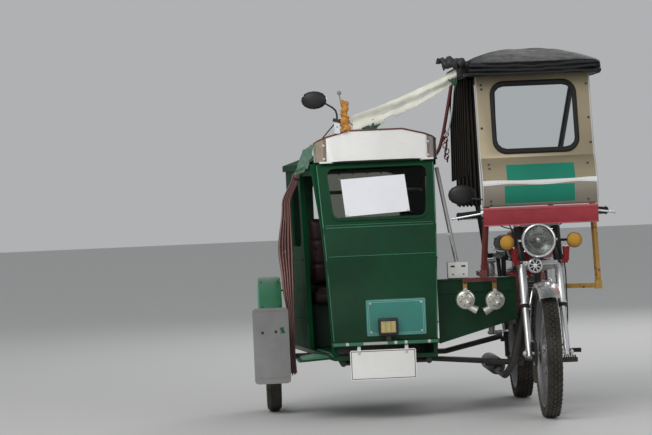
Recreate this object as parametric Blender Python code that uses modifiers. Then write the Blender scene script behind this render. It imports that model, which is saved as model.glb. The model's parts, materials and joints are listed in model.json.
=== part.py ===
"""Motorcycle with a passenger sidecar: every sub-part as its own named solid.

Metres, +Z up, front towards -Y, sidecar towards -X. Places are written from the point
where the front tyre meets the ground; the empty `vehicle` carries them into the part's
own frame, whose origin is on the ground under the middle of the whole vehicle.
"""
import math

import bmesh
import bpy
from mathutils import Matrix, Vector

# Overall
WHEELBASE = 1.28             # front axle to rear axle
GRIP_REACH = 0.352           # bike centre plane to the end of a grip
TAIL_OVERHANG = 0.326        # rear axle to the tip of the rear mudguard
TAIL_REACH = WHEELBASE + TAIL_OVERHANG
GAP = 0.0006                 # left between pieces that rest on each other
RUN = 0.0009                 # running clearance round an axle
OVERRUN = 0.010              # how far a cutter runs past what it cuts
WELD = 0.00001               # merge distance

# Wheels
TYRE_R = 0.295
FRONT_TYRE_W = 0.070
REAR_TYRE_W = 0.084
SIDE_TYRE_W = 0.072
TYRE_WALL = 0.056            # height of the tyre above the rim's edge
RIM_DEPTH = 0.014
HUB_FLANGE_R = 0.052
HUB_HALF_W = 0.040
HUB_BARREL_R = 0.026
AXLE_R = 0.008
AXLE_OUT = 0.016             # axle and nut outside the fork leg
SPOKE_R = 0.0022
SPOKE_PAIRS = 6              # crossing pairs on each side of the hub
FRONT_DRUM_R = 0.062
FRONT_DRUM_W = 0.044
REAR_DRUM_R = 0.075
REAR_DRUM_W = 0.048
SIDE_WHEEL_X = -1.24
SIDE_WHEEL_Y = 1.12

# Steering
RAKE = math.radians(26.0)
CROWN_OFFSET = 0.040         # steering axis to the plane of the fork legs
LEG_HALF_SPAN = 0.086
SLIDER_R = 0.0150
COVER_R = 0.0200
STANCHION_R = 0.0130
COVER_START = 0.245          # the next four run up the leg, from the axle
COVER_END = 0.430
BRIDGE_AT = 0.640
LEG_TOP = 0.665
CROWN_THICK = 0.022
STEM_R = 0.0130
HEAD_TUBE_R = 0.026
HEAD_BORE_R = 0.0165
HEAD_PLAY = 0.0009           # head tube's ends to the crowns

# Front mudguard
GUARD_R = 0.322              # inside radius, about the axle
GUARD_W = 0.092
GUARD_SKIRT = 0.020
GUARD_THICK = 0.002
GUARD_FRONT = math.radians(127.0)    # angles from straight back, going up and forward
GUARD_BACK = math.radians(-8.0)
STAY_R = 0.004
FLAP_DROP = 0.115            # rubber flap below the front mudguard
FLAP_THICK = 0.004

# Headlight, indicators and horn
LAMP_Z = 0.806
LAMP_FRONT_Y = 0.050
LAMP_R = 0.0775
LAMP_DEPTH = 0.105
LENS_R = 0.066
LENS_SINK = 0.010
INDICATOR_HALF_SPAN = 0.155
INDICATOR_R = 0.034
INDICATOR_DEPTH = 0.040
INDICATOR_Z = 0.800
INDICATOR_Y = 0.120
HORN_DISC_R = 0.034
HORN_DISC_Z = 0.691
HORN_DISC_Y = 0.086
HORN_DISC_DEPTH = 0.024

# Handlebar
BAR_R = 0.011
BAR_Z = 0.925
BAR_GRIP_Y = 0.440
BAR_CLAMP_Y = 0.330
BAR_CLAMP_Z = 0.905
BAR_RISE_HALF = 0.070        # half of the bar's straight middle
BAR_BEND_HALF = 0.150
GRIP_R = 0.0165
GRIP_LENGTH = 0.120
SWITCH_R = 0.020
SWITCH_LENGTH = 0.045
LEVER_R = 0.005
LEVER_AHEAD = 0.055
LEVER_TIP_X = 0.385
GAUGE_R = 0.045
GAUGE_DEPTH = 0.050
MIRROR_X = -0.330
MIRROR_Z = 1.026
MIRROR_W = 0.120
MIRROR_H = 0.085
MIRROR_D = 0.034

# Bike frame, engine and body
TUBE_R = 0.015
SPINE_R = 0.020
ENGINE_W = 0.200
ENGINE_Y0 = 0.500
ENGINE_Z0 = 0.230
ENGINE_Z1 = 0.400
BARREL_W = 0.130
BARREL_L = 0.120
BARREL_TOP = 0.600
FIN_COUNT = 7
FIN_THICK = 0.006
FIN_OUT = 0.016
SWING_LENGTH = 0.350         # swing arm's pivot to the rear axle
PIVOT_Y = WHEELBASE - SWING_LENGTH
ENGINE_TO_PIVOT = 0.070
ENGINE_Y1 = PIVOT_Y - ENGINE_TO_PIVOT
PIVOT_Z = 0.330
TANK_Y0 = 0.365
TANK_Y1 = 0.780
TANK_W = 0.250
TANK_Z0 = 0.700
TANK_Z1 = 0.865
SEAT_Y0 = 0.790
SEAT_OVERHANG = 0.140        # rear axle to the end of the seat
SEAT_Y1 = WHEELBASE + SEAT_OVERHANG
SEAT_W = 0.250
SEAT_Z0 = 0.735
SEAT_Z1 = 0.815

# Canopy over the rider
SHEET = 0.0016
PANEL_X = 0.012              # middle of the windshield panel
PANEL_W = 0.533
PANEL_TOP_Y = 0.330
PANEL_TOP_Z = 1.592
WINDOW_W = 0.382
WINDOW_Z0 = 1.216
WINDOW_Z1 = 1.536
WINDOW_CORNER = 0.055
GASKET_W = 0.020
GASKET_THICK = 0.012
GLASS_THICK = 0.004
PANEL_KNEE_Z = 1.190
PANEL_KNEE_Y = 0.232
RIDGE_Z = 1.085
RIDGE_Y = 0.158
PANEL_LOW_Z = 0.965
PANEL_LOW_Y = 0.172
PANEL_SWELL_SHARE = 0.62     # how far the round nose stands out, of knee to ridge
PANEL_SWELL_POWER = 0.8
VALANCE_Z0 = 0.876
VALANCE_THICK = 0.008
POST_W = 0.022
POST_Y = 0.200
POST_RIGHT_X = 0.268
POST_LEFT_X = -0.262
POST_FOOT_Z = 0.584
ROOF_X0 = -0.322
ROOF_X1 = 0.346
ROOF_Y0 = 0.235
ROOF_Y1 = 1.420
ROOF_RIM_Z = 1.572
ROOF_EAVE_Z = 1.628
ROOF_CROWN = 0.088
STAY_TUBE_R = 0.014
STAY_TOP_Y = 1.120
STAY_TOP_HALF = 0.290

# Sidecar
FLOOR_Z = 0.300
FLOOR_THICK = 0.020
CAR_FRONT_Y = 0.300
CAR_BACK_Y = 1.560
CAR_IN_X = -0.480
CAR_IN_BACK_X = -0.425
CAR_OUT_X = -0.962
CAR_OUT_BACK_X = -1.128
FRONT_LOW_Z = 0.362
LEDGE_Z = 0.905
LEDGE_Y = 0.335
BROW_Z = 1.195
BROW_Y = 0.500
BROW_IN_X = -0.451
BROW_OUT_X = -1.003
WALL = 0.020                 # sidecar walls, sheet and frame together
CAR_EAVE_Z = 1.200
CAR_CROWN = 0.070
DOOR_Y1 = 1.000
PANEL_WALL = 0.012           # sidecar front, sheet and frame together
PANEL_HEM = 0.015            # windshield panel's side edges, folded back
ROOF_THICK = 0.014
ROOF_CORNER = 0.090
CREASE_Z = 0.755
CREASE_STEP = 0.010
CAR_WINDOW_Z0 = 0.930
CAR_WINDOW_Z1 = 1.176
CAR_WINDOW_LOW_W = 0.441
CAR_WINDOW_EDGE = 0.033        # panel's edge to the window's top corners
CAR_WINDOW_TOP_W = BROW_IN_X - BROW_OUT_X - CAR_WINDOW_EDGE * 2
CAR_WINDOW_CORNER = 0.045
CAR_GASKET_W = 0.014
LIP_OUT = 0.030
LIP_DEEP = 0.016
ROOF_SHEET = 0.004
CAR_OVERHANG = 0.012
CAR_FOLD = 0.026
CAR_ROOF_Y0 = 0.618
WINDOW_SIDE_Y0 = 0.640
WINDOW_SIDE_Z0 = 0.800
WINDOW_SIDE_EDGE = 0.080
STEP_OUT_X = -1.124
STEP_FRONT_Z = 0.282
STEP_BACK_Z = 0.262
STEP_THICK = 0.006

# Sign board over the sidecar's windshield
SIGN_X0 = -1.008
SIGN_X1 = -0.429
SIGN_Z0 = 1.203
SIGN_TOP_Z = 1.350
SIGN_AHEAD = 0.020
SIGN_BACK = 0.110
SIGN_THICK = 0.005
SIGN_SHARES = (              # across, top, back
    (-1.00, 0.64, 1.0), (-0.93, 0.72, 0.32), (-0.80, 0.82, 0.06), (-0.44, 1.0, 0.0), (0.0, 1.0, 0.0),
    (0.44, 1.0, 0.0), (0.80, 0.82, 0.06), (0.93, 0.72, 0.32), (1.00, 0.64, 1.0))

# Between the sidecar and the bike
BRIDGE_X0 = -0.4636
BRIDGE_X1 = -0.094
BRIDGE_Y = 0.400
BRIDGE_TOP = 0.634
BRIDGE_LOW_OUT = 0.335
BRIDGE_LOW_IN = 0.437
BRIDGE_THICK = 0.008
BRIDGE_LEDGE = 0.070
RAIL_R = 0.015
RAIL_IN_X = -0.520
RAIL_OUT_X = -0.920
RAIL_Y0 = 0.340
RAIL_Y1 = 1.530
RAIL_CROSS_SHARES = (0.06, 0.36, 0.655, 0.96)
LINK_FRONT_Y = 0.520
LINK_FRONT_Z = 0.222
LINK_REACH = -0.064
LINK_BACK_Y = 1.000
FRAME_HALF = 0.100
BRACE_TOP_Y = 0.620
BRACE_X = -0.361
BRACE_Y = 0.440
BRACE_PLATE = 0.050

# Bench, curtains, guards, plates and lamps
BENCH_D = 0.420
BENCH_H = 0.230
BENCH_PAD = 0.060
BENCH_BACK = 0.420
DOOR_CURTAIN_X = -1.142
DOOR_CURTAIN_Y = 0.960
DOOR_CURTAIN_D = 0.050
DOOR_CURTAIN_W = 0.100
DOOR_CURTAIN_Z0 = 0.187
DOOR_CURTAIN_Z1 = 1.160
DOOR_CURTAIN_SHARES = (      # height, reach inwards, reach outwards
    (0.0, 0.12, 0.05), (0.3, 0.12, 0.20), (0.46, 0.14, 0.36), (0.62, 0.14, 0.46), (0.85, 0.16, 0.16),
    (1.0, 0.724, -0.35))
SIDE_GUARD_R = 0.365
SIDE_GUARD_W = 0.106
SIDE_GUARD_X = -1.242
SIDE_FLAP_X0 = -1.332
SIDE_FLAP_X1 = -1.158
SIDE_FLAP_Z0 = 0.155
SIDE_FLAP_Z1 = 0.520
SIDE_FLAP_Y = 0.802
FLAP_CORNER = 0.018
PLATE_X = -0.737
PLATE_W = 0.306
PLATE_H = 0.139
PLATE_Z1 = 0.327
PLATE_CORNER = 0.008
PLATE_THICK = 0.002
FRANCHISE_X = -0.668
FRANCHISE_Z = 0.474
FRANCHISE_W = 0.278
FRANCHISE_H = 0.170
SPOT_X = -0.708
SPOT_Z = 0.432
SPOT_W = 0.092
SPOT_H = 0.080
SPOT_D = 0.034
ROOF_MIRROR_X = -0.996
ROOF_MIRROR_Z = 1.505
ROOF_MIRROR_FOOT_X = -0.890
TARP_X0 = -0.3226
TARP_Y0 = 0.500
TARP_Z0 = 1.590
TARP_X1 = -0.823
TARP_Y1 = 0.4911
TARP_Z1 = 1.370
TARP_W = 0.090
TARP_SAG = 0.012
TARP_THICK = 0.004

# Small parts of the bike
PEG_REACH = 0.224
PEG_ROOT = 0.150
PEG_BACK = 0.090
PEG_W = 0.030
PEG_ARM_R = 0.008
EXHAUST_R = 0.017
EXHAUST_X = -0.150
EXHAUST_Z = 0.165
SILENCER_R = 0.042
SILENCER_L = 0.560
TANK_CAP_R = 0.026
TANK_SECTION_SHARES = (      # along, width, top, base
    (0.0, 0.42, 0.80, 0.42), (0.05, 0.62, 0.90, 0.22), (0.20, 0.92, 0.99, 0.05), (0.42, 1.0, 1.0, 0.0),
    (0.66, 0.86, 0.90, 0.04), (0.86, 0.66, 0.70, 0.12), (1.0, 0.52, 0.52, 0.20))
SEAT_SECTION_SHARES = (      # along, width, top
    (0.0, 0.62, 0.55), (0.06, 0.72, 0.80), (0.30, 0.92, 0.80), (0.48, 1.0, 0.84), (0.56, 1.0, 1.0),
    (0.90, 0.94, 0.98), (0.97, 0.86, 0.86), (1.0, 0.78, 0.50))
SWING_SIDE = 0.030
SWING_W = 0.030
SHOCK_R = 0.026
SHOCK_COILS = 7
SHOCK_LEAN = 0.080             # top eye ahead of the rear axle
SHOCK_TOP_Y = WHEELBASE - SHOCK_LEAN
SHOCK_TOP_Z = 0.690
REAR_GUARD_R = 0.325
REAR_GUARD_LIFT = 0.030
REAR_GUARD_W = 0.112
TAIL_LAMP = 0.085
POST_FOOT_IN = 0.022
POST_FOOT_Y = 0.345
HORN_BAR_LIFT = 0.072
HORN_BAR_Z = 0.630
HORN_Y = 0.300
HORN_OUT_X = -0.342
HORN_IN_X = -0.205
HORN_OUT_Z = 0.540
HORN_IN_Z = 0.532
HORN_R = 0.048
CURTAIN_X = -0.245
CURTAIN_Y = 1.045
CURTAIN_W = 0.120
CURTAIN_D = 0.050
CURTAIN_LOW_Z = 0.960


def clear_scene():
    for old in list(bpy.data.objects):
        bpy.data.objects.remove(old, do_unlink=True)


def new_collection(name):
    group = bpy.data.collections.new(name)
    bpy.context.scene.collection.children.link(group)
    return group


def material(name, color, roughness, metallic=0.0):
    mat = bpy.data.materials.get(name) or bpy.data.materials.new(name)
    mat.use_nodes = True
    shader = mat.node_tree.nodes["Principled BSDF"]
    shader.inputs["Base Color"].default_value = (*color, 1.0)
    shader.inputs["Roughness"].default_value = roughness
    shader.inputs["Metallic"].default_value = metallic
    return mat


def from_bmesh(name, bm):
    mesh = bpy.data.meshes.new(name)
    bm.to_mesh(mesh)
    bm.free()
    obj = bpy.data.objects.new(name, mesh)
    bpy.context.scene.collection.objects.link(obj)
    return obj


def baked(obj, name=None):
    """The object as a plain mesh, welded and facing out, in place of what it was."""
    bpy.context.view_layer.update()
    graph = bpy.context.evaluated_depsgraph_get()
    mesh = bpy.data.meshes.new_from_object(obj.evaluated_get(graph))
    mesh.transform(obj.matrix_world)
    bm = bmesh.new()
    bm.from_mesh(mesh)
    bmesh.ops.remove_doubles(bm, verts=bm.verts[:], dist=WELD)
    bmesh.ops.recalc_face_normals(bm, faces=bm.faces[:])
    name = name or obj.name
    bpy.data.objects.remove(obj, do_unlink=True)
    bpy.data.meshes.remove(mesh)
    return from_bmesh(name, bm)


def block(low, high):
    """A box between two opposite corners."""
    low, high = Vector(low), Vector(high)
    bm = bmesh.new()
    bmesh.ops.create_cube(bm, size=1.0)
    bmesh.ops.scale(bm, vec=high - low, verts=bm.verts[:])
    bmesh.ops.translate(bm, vec=(low + high) / 2, verts=bm.verts[:])
    return from_bmesh("block", bm)


def rod(start, end, radius, sides=8, end_radius=None):
    """A straight round bar, or a cone frustum, between two points."""
    start, end = Vector(start), Vector(end)
    run = end - start
    bm = bmesh.new()
    bmesh.ops.create_cone(bm, cap_ends=True, segments=sides, radius1=radius,
                          radius2=radius if end_radius is None else end_radius,
                          depth=run.length)
    turn = run.to_track_quat("Z", "Y").to_matrix().to_4x4()
    bmesh.ops.transform(bm, matrix=Matrix.Translation((start + end) / 2) @ turn,
                        verts=bm.verts[:])
    return from_bmesh("rod", bm)


def beam(start, end, width, depth=None):
    """A square or flat bar between two points, its depth nearest to the Y axis."""
    start, end = Vector(start), Vector(end)
    run = end - start
    bm = bmesh.new()
    bmesh.ops.create_cube(bm, size=1.0)
    bmesh.ops.scale(bm, vec=(width, depth or width, run.length), verts=bm.verts[:])
    turn = run.to_track_quat("Z", "Y").to_matrix().to_4x4()
    bmesh.ops.transform(bm, matrix=Matrix.Translation((start + end) / 2) @ turn,
                        verts=bm.verts[:])
    return from_bmesh("beam", bm)


def rounded(points, radius, steps=2):
    """A route whose corners are arcs of the given radius."""
    points = [Vector(p) for p in points]
    route = [points[0]]
    for before, corner, after in zip(points, points[1:], points[2:]):
        back, on = (before - corner).normalized(), (after - corner).normalized()
        half = back.angle(on) / 2
        reach = min(radius / math.tan(half), (before - corner).length * 0.49,
                    (after - corner).length * 0.49)
        start, end = corner + back * reach, corner + on * reach
        for i in range(steps + 1):
            t = i / steps
            route.append(start * (1 - t) ** 2 + corner * 2 * t * (1 - t) + end * t ** 2)
    return route + [points[-1]]


def tube(points, radius, bend=0.0, sides=8):
    """A bent round tube with flat ends along a route of straight runs and arcs."""
    route = rounded(points, bend) if bend else [Vector(p) for p in points]
    curve = bpy.data.curves.new("tube", "CURVE")
    curve.dimensions = "3D"
    curve.bevel_depth = radius
    curve.bevel_resolution = (sides - 4) // 2
    curve.use_fill_caps = True
    spline = curve.splines.new("POLY")
    spline.points.add(len(route) - 1)
    for point, place in zip(spline.points, route):
        point.co = (*place, 1.0)
    obj = bpy.data.objects.new("tube", curve)
    bpy.context.scene.collection.objects.link(obj)
    return baked(obj)


def turned(profile, steps=40, closed=False):
    """A profile of (radius, height) turned about Z; a closed one makes a ring."""
    mesh = bpy.data.meshes.new("turned")
    count = len(profile)
    edges = [(i, i + 1) for i in range(count - 1)] + ([(count - 1, 0)] if closed else [])
    mesh.from_pydata([(r, 0.0, h) for r, h in profile], edges, [])
    obj = bpy.data.objects.new("turned", mesh)
    bpy.context.scene.collection.objects.link(obj)
    screw = obj.modifiers.new("turn", "SCREW")
    screw.steps = steps
    screw.render_steps = steps
    screw.use_merge_vertices = True
    screw.merge_threshold = WELD
    return baked(obj)


def placed(obj, place=(0, 0, 0), axis="Z", turn=0.0, about="X"):
    """Move a piece made about Z onto another axis, tilt it, then to its place."""
    onto = {"Z": Matrix.Identity(4), "X": Matrix.Rotation(math.radians(90), 4, "Y"),
            "Y": Matrix.Rotation(math.radians(90), 4, "X")}[axis]
    obj.data.transform(Matrix.Translation(Vector(place)) @ Matrix.Rotation(turn, 4, about) @ onto)
    return obj


def plate(outline, thickness, plane="XZ", at=0.0):
    """A flat outline with a thickness, centred on a plane: XZ, YZ or XY."""
    curve = bpy.data.curves.new("plate", "CURVE")
    curve.dimensions = "2D"
    curve.fill_mode = "BOTH"
    curve.extrude = thickness / 2
    spline = curve.splines.new("POLY")
    spline.points.add(len(outline) - 1)
    for point, (u, v) in zip(spline.points, outline):
        point.co = (u, v, 0.0, 1.0)
    spline.use_cyclic_u = True
    obj = bpy.data.objects.new("plate", curve)
    bpy.context.scene.collection.objects.link(obj)
    if plane == "XZ":
        obj.matrix_world = Matrix.Translation((0, at, 0)) @ Matrix.Rotation(math.radians(90), 4, "X")
    elif plane == "YZ":
        turn = Matrix(((0, 0, 1), (1, 0, 0), (0, 1, 0))).to_4x4()
        obj.matrix_world = Matrix.Translation((at, 0, 0)) @ turn
    else:
        obj.matrix_world = Matrix.Translation((0, 0, at))
    return baked(obj)


def round_rect(u0, v0, u1, v1, radius, steps=3):
    """Outline of a rectangle with round corners."""
    corners = [(u1 - radius, v0 + radius, -90), (u1 - radius, v1 - radius, 0),
               (u0 + radius, v1 - radius, 90), (u0 + radius, v0 + radius, 180)]
    return [(u + radius * math.cos(math.radians(first + 90 * i / steps)),
             v + radius * math.sin(math.radians(first + 90 * i / steps)))
            for u, v, first in corners for i in range(steps + 1)]


def shell(rows, thickness, offset=0.0):
    """A sheet through rows of points, given its thickness by Solidify."""
    bm = bmesh.new()
    grid = [[bm.verts.new(p) for p in row] for row in rows]
    for low, high in zip(grid, grid[1:]):
        for i in range(len(low) - 1):
            bm.faces.new((low[i], low[i + 1], high[i + 1], high[i]))
    obj = from_bmesh("shell", bm)
    wall = obj.modifiers.new("wall", "SOLIDIFY")
    wall.thickness = thickness
    wall.offset = offset
    wall.use_even_offset = True
    return baked(obj)


def loft(rings, cap=True):
    """A closed skin over rings with the same number of points."""
    bm = bmesh.new()
    grid = [[bm.verts.new(p) for p in ring] for ring in rings]
    count = len(grid[0])
    for low, high in zip(grid, grid[1:]):
        for i in range(count):
            j = (i + 1) % count
            bm.faces.new((low[i], low[j], high[j], high[i]))
    if cap:
        bm.faces.new(grid[0][::-1])
        bm.faces.new(grid[-1])
    obj = from_bmesh("loft", bm)
    return baked(obj)


def combine(first, others, operation):
    """Boolean union, cut or common part, applied to the mesh."""
    for other in others:
        change = first.modifiers.new("join", "BOOLEAN")
        change.operation = operation
        change.solver = "EXACT"
        change.object = other
        first = baked(first)
        bpy.data.objects.remove(other, do_unlink=True)
    return first


def union(first, *others):
    return combine(first, others, "UNION")


def cut(first, *others):
    return combine(first, others, "DIFFERENCE")


def soften(obj, width, segments=2, angle=math.radians(40)):
    bevel = obj.modifiers.new("edge", "BEVEL")
    bevel.width = width
    bevel.segments = segments
    bevel.limit_method = "ANGLE"
    bevel.angle_limit = angle
    return baked(obj)


def part(obj, name, mat, group, parent):
    """Name a finished piece and hang it on its parent without moving its faces."""
    bpy.context.view_layer.update()
    obj.name = name
    obj.data.name = name
    obj.data.materials.clear()
    obj.data.materials.append(mat)
    obj.data.transform(parent["at"].inverted())
    obj.parent = parent["empty"]
    obj.data.shade_smooth()
    obj.data.set_sharp_from_angle(angle=math.radians(35))
    for old in list(obj.users_collection):
        old.objects.unlink(obj)
    group.objects.link(obj)
    return obj


def joint_frame(name, place, vehicle, turn=0.0, under=None):
    """An empty on a joint's axis. `at` is its place measured from the front contact."""
    at = Matrix.Translation(Vector(place)) @ Matrix.Rotation(turn, 4, "X")
    empty = bpy.data.objects.new(name, None)
    bpy.context.scene.collection.objects.link(empty)
    if under:
        empty.parent = under["empty"]
        empty.matrix_local = under["at"].inverted() @ at
    elif vehicle:
        empty.parent = vehicle["empty"]
        empty.matrix_local = at
    return {"empty": empty, "at": at}


def tyre(width):
    """A ring with a round crown, turned about X."""
    tread = [(TYRE_R - TYRE_WALL * (1 - math.cos(a)) * 0.62, width / 2 * math.sin(a))
             for a in (math.radians(d) for d in range(-90, 91, 30))]
    bead_r = TYRE_R - TYRE_WALL
    profile = [(bead_r, width * 0.30), *reversed(tread), (bead_r, -width * 0.30)]
    return placed(turned(profile, steps=36, closed=True), axis="X")


def spoked_wheel(width, drum_r, drum_w):
    """Rim, hub and crossing spokes as one piece, turned about X."""
    rim_r = TYRE_R - TYRE_WALL - GAP
    half = width * 0.30
    well = rim_r - RIM_DEPTH
    rim = turned([(rim_r, half), (well, half * 0.5), (well, -half * 0.5), (rim_r, -half),
                  (well - RIM_DEPTH * 0.4, -half * 0.5), (well - RIM_DEPTH * 0.4, half * 0.5)],
                 steps=36, closed=True)
    bore = AXLE_R + RUN
    flange = HUB_FLANGE_R * 0.92
    hub = turned([(bore, HUB_HALF_W), (flange, HUB_HALF_W), (HUB_FLANGE_R, HUB_HALF_W * 0.9),
                  (flange, HUB_HALF_W * 0.75), (HUB_BARREL_R, HUB_HALF_W * 0.6),
                  (HUB_BARREL_R, HUB_HALF_W * -0.1), (drum_r, HUB_HALF_W * -0.3),
                  (drum_r, -drum_w), (bore, -drum_w)], steps=20, closed=True)
    bm = bmesh.new()
    reach = well + SPOKE_R
    for side in (1, -1):
        root_r = flange - SPOKE_R if side > 0 else drum_r - SPOKE_R * 2
        root_h = HUB_HALF_W * 0.88 if side > 0 else -drum_w * 0.8
        for i in range(SPOKE_PAIRS):
            for lean in (1, -1):
                base = 2 * math.pi * (i + 0.25 * lean + 0.25 * side) / SPOKE_PAIRS
                tip = base + lean * math.radians(38)
                lift = SPOKE_R * 1.1 * lean
                start = Vector((root_r * math.cos(base), root_r * math.sin(base), root_h + lift))
                end = Vector((reach * math.cos(tip), reach * math.sin(tip), side * half * 0.2 + lift))
                run = end - start
                turn = run.to_track_quat("Z", "Y").to_matrix().to_4x4()
                bmesh.ops.create_cone(bm, cap_ends=True, segments=3, radius1=SPOKE_R, radius2=SPOKE_R,
                                      depth=run.length,
                                      matrix=Matrix.Translation((start + end) / 2) @ turn)
    spokes = from_bmesh("spokes", bm)
    wheel = rim
    for other in (hub, spokes):
        join = wheel.modifiers.new("join", "BOOLEAN")
        join.operation = "UNION"
        join.solver = "EXACT"
        join.use_self = True
        join.object = other
    bpy.context.view_layer.update()
    wheel = baked(wheel)
    for other in (hub, spokes):
        bpy.data.objects.remove(other, do_unlink=True)
    return placed(wheel, axis="X")


def leg_point(side, up, ahead=0.0):
    """A place on a fork leg, `up` along it from the axle."""
    return Vector((side * LEG_HALF_SPAN,
                   up * math.sin(RAKE) - ahead * math.cos(RAKE),
                   TYRE_R + up * math.cos(RAKE) + ahead * math.sin(RAKE)))


def stem_point(up):
    """A place on the steering axis, level along the fork with leg_point."""
    return Vector((0, up * math.sin(RAKE) + CROWN_OFFSET * math.cos(RAKE),
                   TYRE_R + up * math.cos(RAKE) - CROWN_OFFSET * math.sin(RAKE)))


def crown(up):
    """A flat yoke that carries both legs and the stem."""
    half = LEG_HALF_SPAN + COVER_R
    outline = [(-half, -COVER_R), (half, -COVER_R), (half, COVER_R * 0.8),
               (STEM_R * 2, CROWN_OFFSET + STEM_R), (-STEM_R * 2, CROWN_OFFSET + STEM_R),
               (-half, COVER_R * 0.8)]
    yoke = soften(plate(outline, CROWN_THICK, "XY"), COVER_R * 0.2)
    tilt = Matrix.Rotation(-RAKE, 4, "X")
    yoke.data.transform(Matrix.Translation(Vector((0, leg_point(0, up).y, leg_point(0, up).z))) @ tilt)
    return yoke


def front_fork():
    axle = rod((-LEG_HALF_SPAN - AXLE_OUT, 0, TYRE_R), (LEG_HALF_SPAN + AXLE_OUT, 0, TYRE_R), AXLE_R, 12)
    pieces = [axle]
    profile = [(0, -SLIDER_R * 1.3), (SLIDER_R * 0.9, -SLIDER_R * 1.1), (SLIDER_R, SLIDER_R),
               (SLIDER_R, COVER_START), (COVER_R, COVER_START + SLIDER_R * 0.3),
               (COVER_R, COVER_END), (STANCHION_R, COVER_END + SLIDER_R * 0.3),
               (STANCHION_R, LEG_TOP - STANCHION_R * 0.3), (STANCHION_R * 0.7, LEG_TOP), (0, LEG_TOP)]
    for side in (-1, 1):
        leg = turned(profile[::-1], steps=12)
        pieces.append(placed(leg, leg_point(side, 0), turn=-RAKE))
        pieces.append(rod(leg_point(side, COVER_END + SLIDER_R), leg_point(side, BRIDGE_AT),
                          COVER_R * 0.9, 12))
    stem = rod(stem_point(COVER_END + COVER_R), stem_point(BRIDGE_AT), STEM_R, 12)
    lamp_side = Vector((0, LAMP_FRONT_Y + LAMP_DEPTH * 0.42, LAMP_Z))
    ear_low = leg_point(1, (LAMP_Z - TYRE_R) / math.cos(RAKE))
    for side in (-1, 1):
        ear = Vector((side * ear_low.x, ear_low.y, ear_low.z))
        foot = Vector((side * (LAMP_R + STAY_R * 0.8) - STAY_R * 4, lamp_side.y, lamp_side.z))
        pieces.append(beam(ear, foot, STAY_R * 4, STAY_R * 2))
    horn = placed(turned([(0, HORN_DISC_DEPTH), (HORN_DISC_R * 0.8, HORN_DISC_DEPTH),
                          (HORN_DISC_R, HORN_DISC_DEPTH * 0.6), (HORN_DISC_R * 0.9, 0), (0, 0)], 20),
                  (-HORN_DISC_R, HORN_DISC_Y + HORN_DISC_DEPTH, HORN_DISC_Z), "Y")
    hold = leg_point(0, COVER_END + COVER_R * 0.6)
    arm = beam((-HORN_DISC_R, HORN_DISC_Y + HORN_DISC_DEPTH * 0.5, HORN_DISC_Z),
               (-HORN_DISC_R * 0.8, hold.y - COVER_R * 0.5, hold.z), STAY_R * 4, STAY_R * 2)
    fork = union(pieces[0], *pieces[1:], crown(COVER_END + COVER_R * 0.6), crown(BRIDGE_AT), stem, horn,
                 arm)
    return fork


def guard_point(angle, out=0.0):
    """A place on the front mudguard's middle line, its angle from straight back."""
    r = GUARD_R + out
    return Vector((0, r * math.cos(angle), TYRE_R + r * math.sin(angle)))


def front_mudguard():
    rows = []
    steps = 11
    shares = [(-0.5, -1.0), (-0.5, -0.25), (-0.36, 0.0), (0.0, 0.25), (0.36, 0.0), (0.5, -0.25),
              (0.5, -1.0)]
    for i in range(steps + 1):
        angle = GUARD_BACK + (GUARD_FRONT - GUARD_BACK) * i / steps
        rows.append([guard_point(angle, drop * GUARD_SKIRT) + Vector((across * GUARD_W, 0, 0))
                     for across, drop in shares])
    guard = shell(rows, GUARD_THICK)
    struts = []
    for side in (-1, 1):
        for degrees in (20, 62):
            edge = guard_point(math.radians(degrees),
                               -GUARD_SKIRT * 0.4) + Vector((side * GUARD_W * 0.5, 0, 0))
            foot = leg_point(side, SLIDER_R * 4 if degrees < 40 else COVER_START * 0.9)
            foot.x -= side * (SLIDER_R + STAY_R + GAP)
            struts.append(tube([edge, foot + Vector((0, STAY_R * 6, 0)), foot], STAY_R, STAY_R * 2, 8))
    return union(guard, *struts)


def front_flap():
    """Rubber flap that hangs from the guard's back end."""
    top = guard_point(GUARD_BACK, 0)
    y = guard_point(0, GUARD_SKIRT * 0.25 + GUARD_THICK / 2).y - GAP * 2 + FLAP_THICK / 2
    outline = round_rect(-GUARD_W * 0.42, top.z - FLAP_DROP, GUARD_W * 0.42, top.z + GUARD_SKIRT * 2,
                         GUARD_SKIRT * 0.5)
    return plate(outline, FLAP_THICK, "XZ", y)


def headlight():
    back = LAMP_DEPTH
    wall = LENS_SINK * 0.3
    profile = [(0, back), (LAMP_R * 0.45, back * 0.97), (LAMP_R * 0.8, back * 0.75),
               (LAMP_R * 0.95, back * 0.35),
               (LAMP_R * 0.95, LENS_SINK), (LAMP_R, LENS_SINK * 0.8), (LAMP_R, LENS_SINK * 0.2),
               (LAMP_R * 0.97, 0), (LENS_R + GAP, 0), (LENS_R + GAP, LENS_SINK),
               (LENS_R - wall, LENS_SINK * 1.4), (LENS_R * 0.7, back * 0.6), (0, back * 0.8)]
    return placed(turned([(r, -h) for r, h in profile], 26), (-STAY_R * 4, LAMP_FRONT_Y, LAMP_Z), "Y")


def headlight_lens():
    profile = [(0, LENS_SINK * 0.8), (LENS_R * 0.6, LENS_SINK * 0.5), (LENS_R * 0.95, -LENS_SINK * 0.1),
               (LENS_R, -LENS_SINK * 0.5), (LENS_R, -LENS_SINK + GAP), (0, -LENS_SINK + GAP)]
    return placed(turned(profile, 26), (-STAY_R * 4, LAMP_FRONT_Y, LAMP_Z), "Y")


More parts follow.
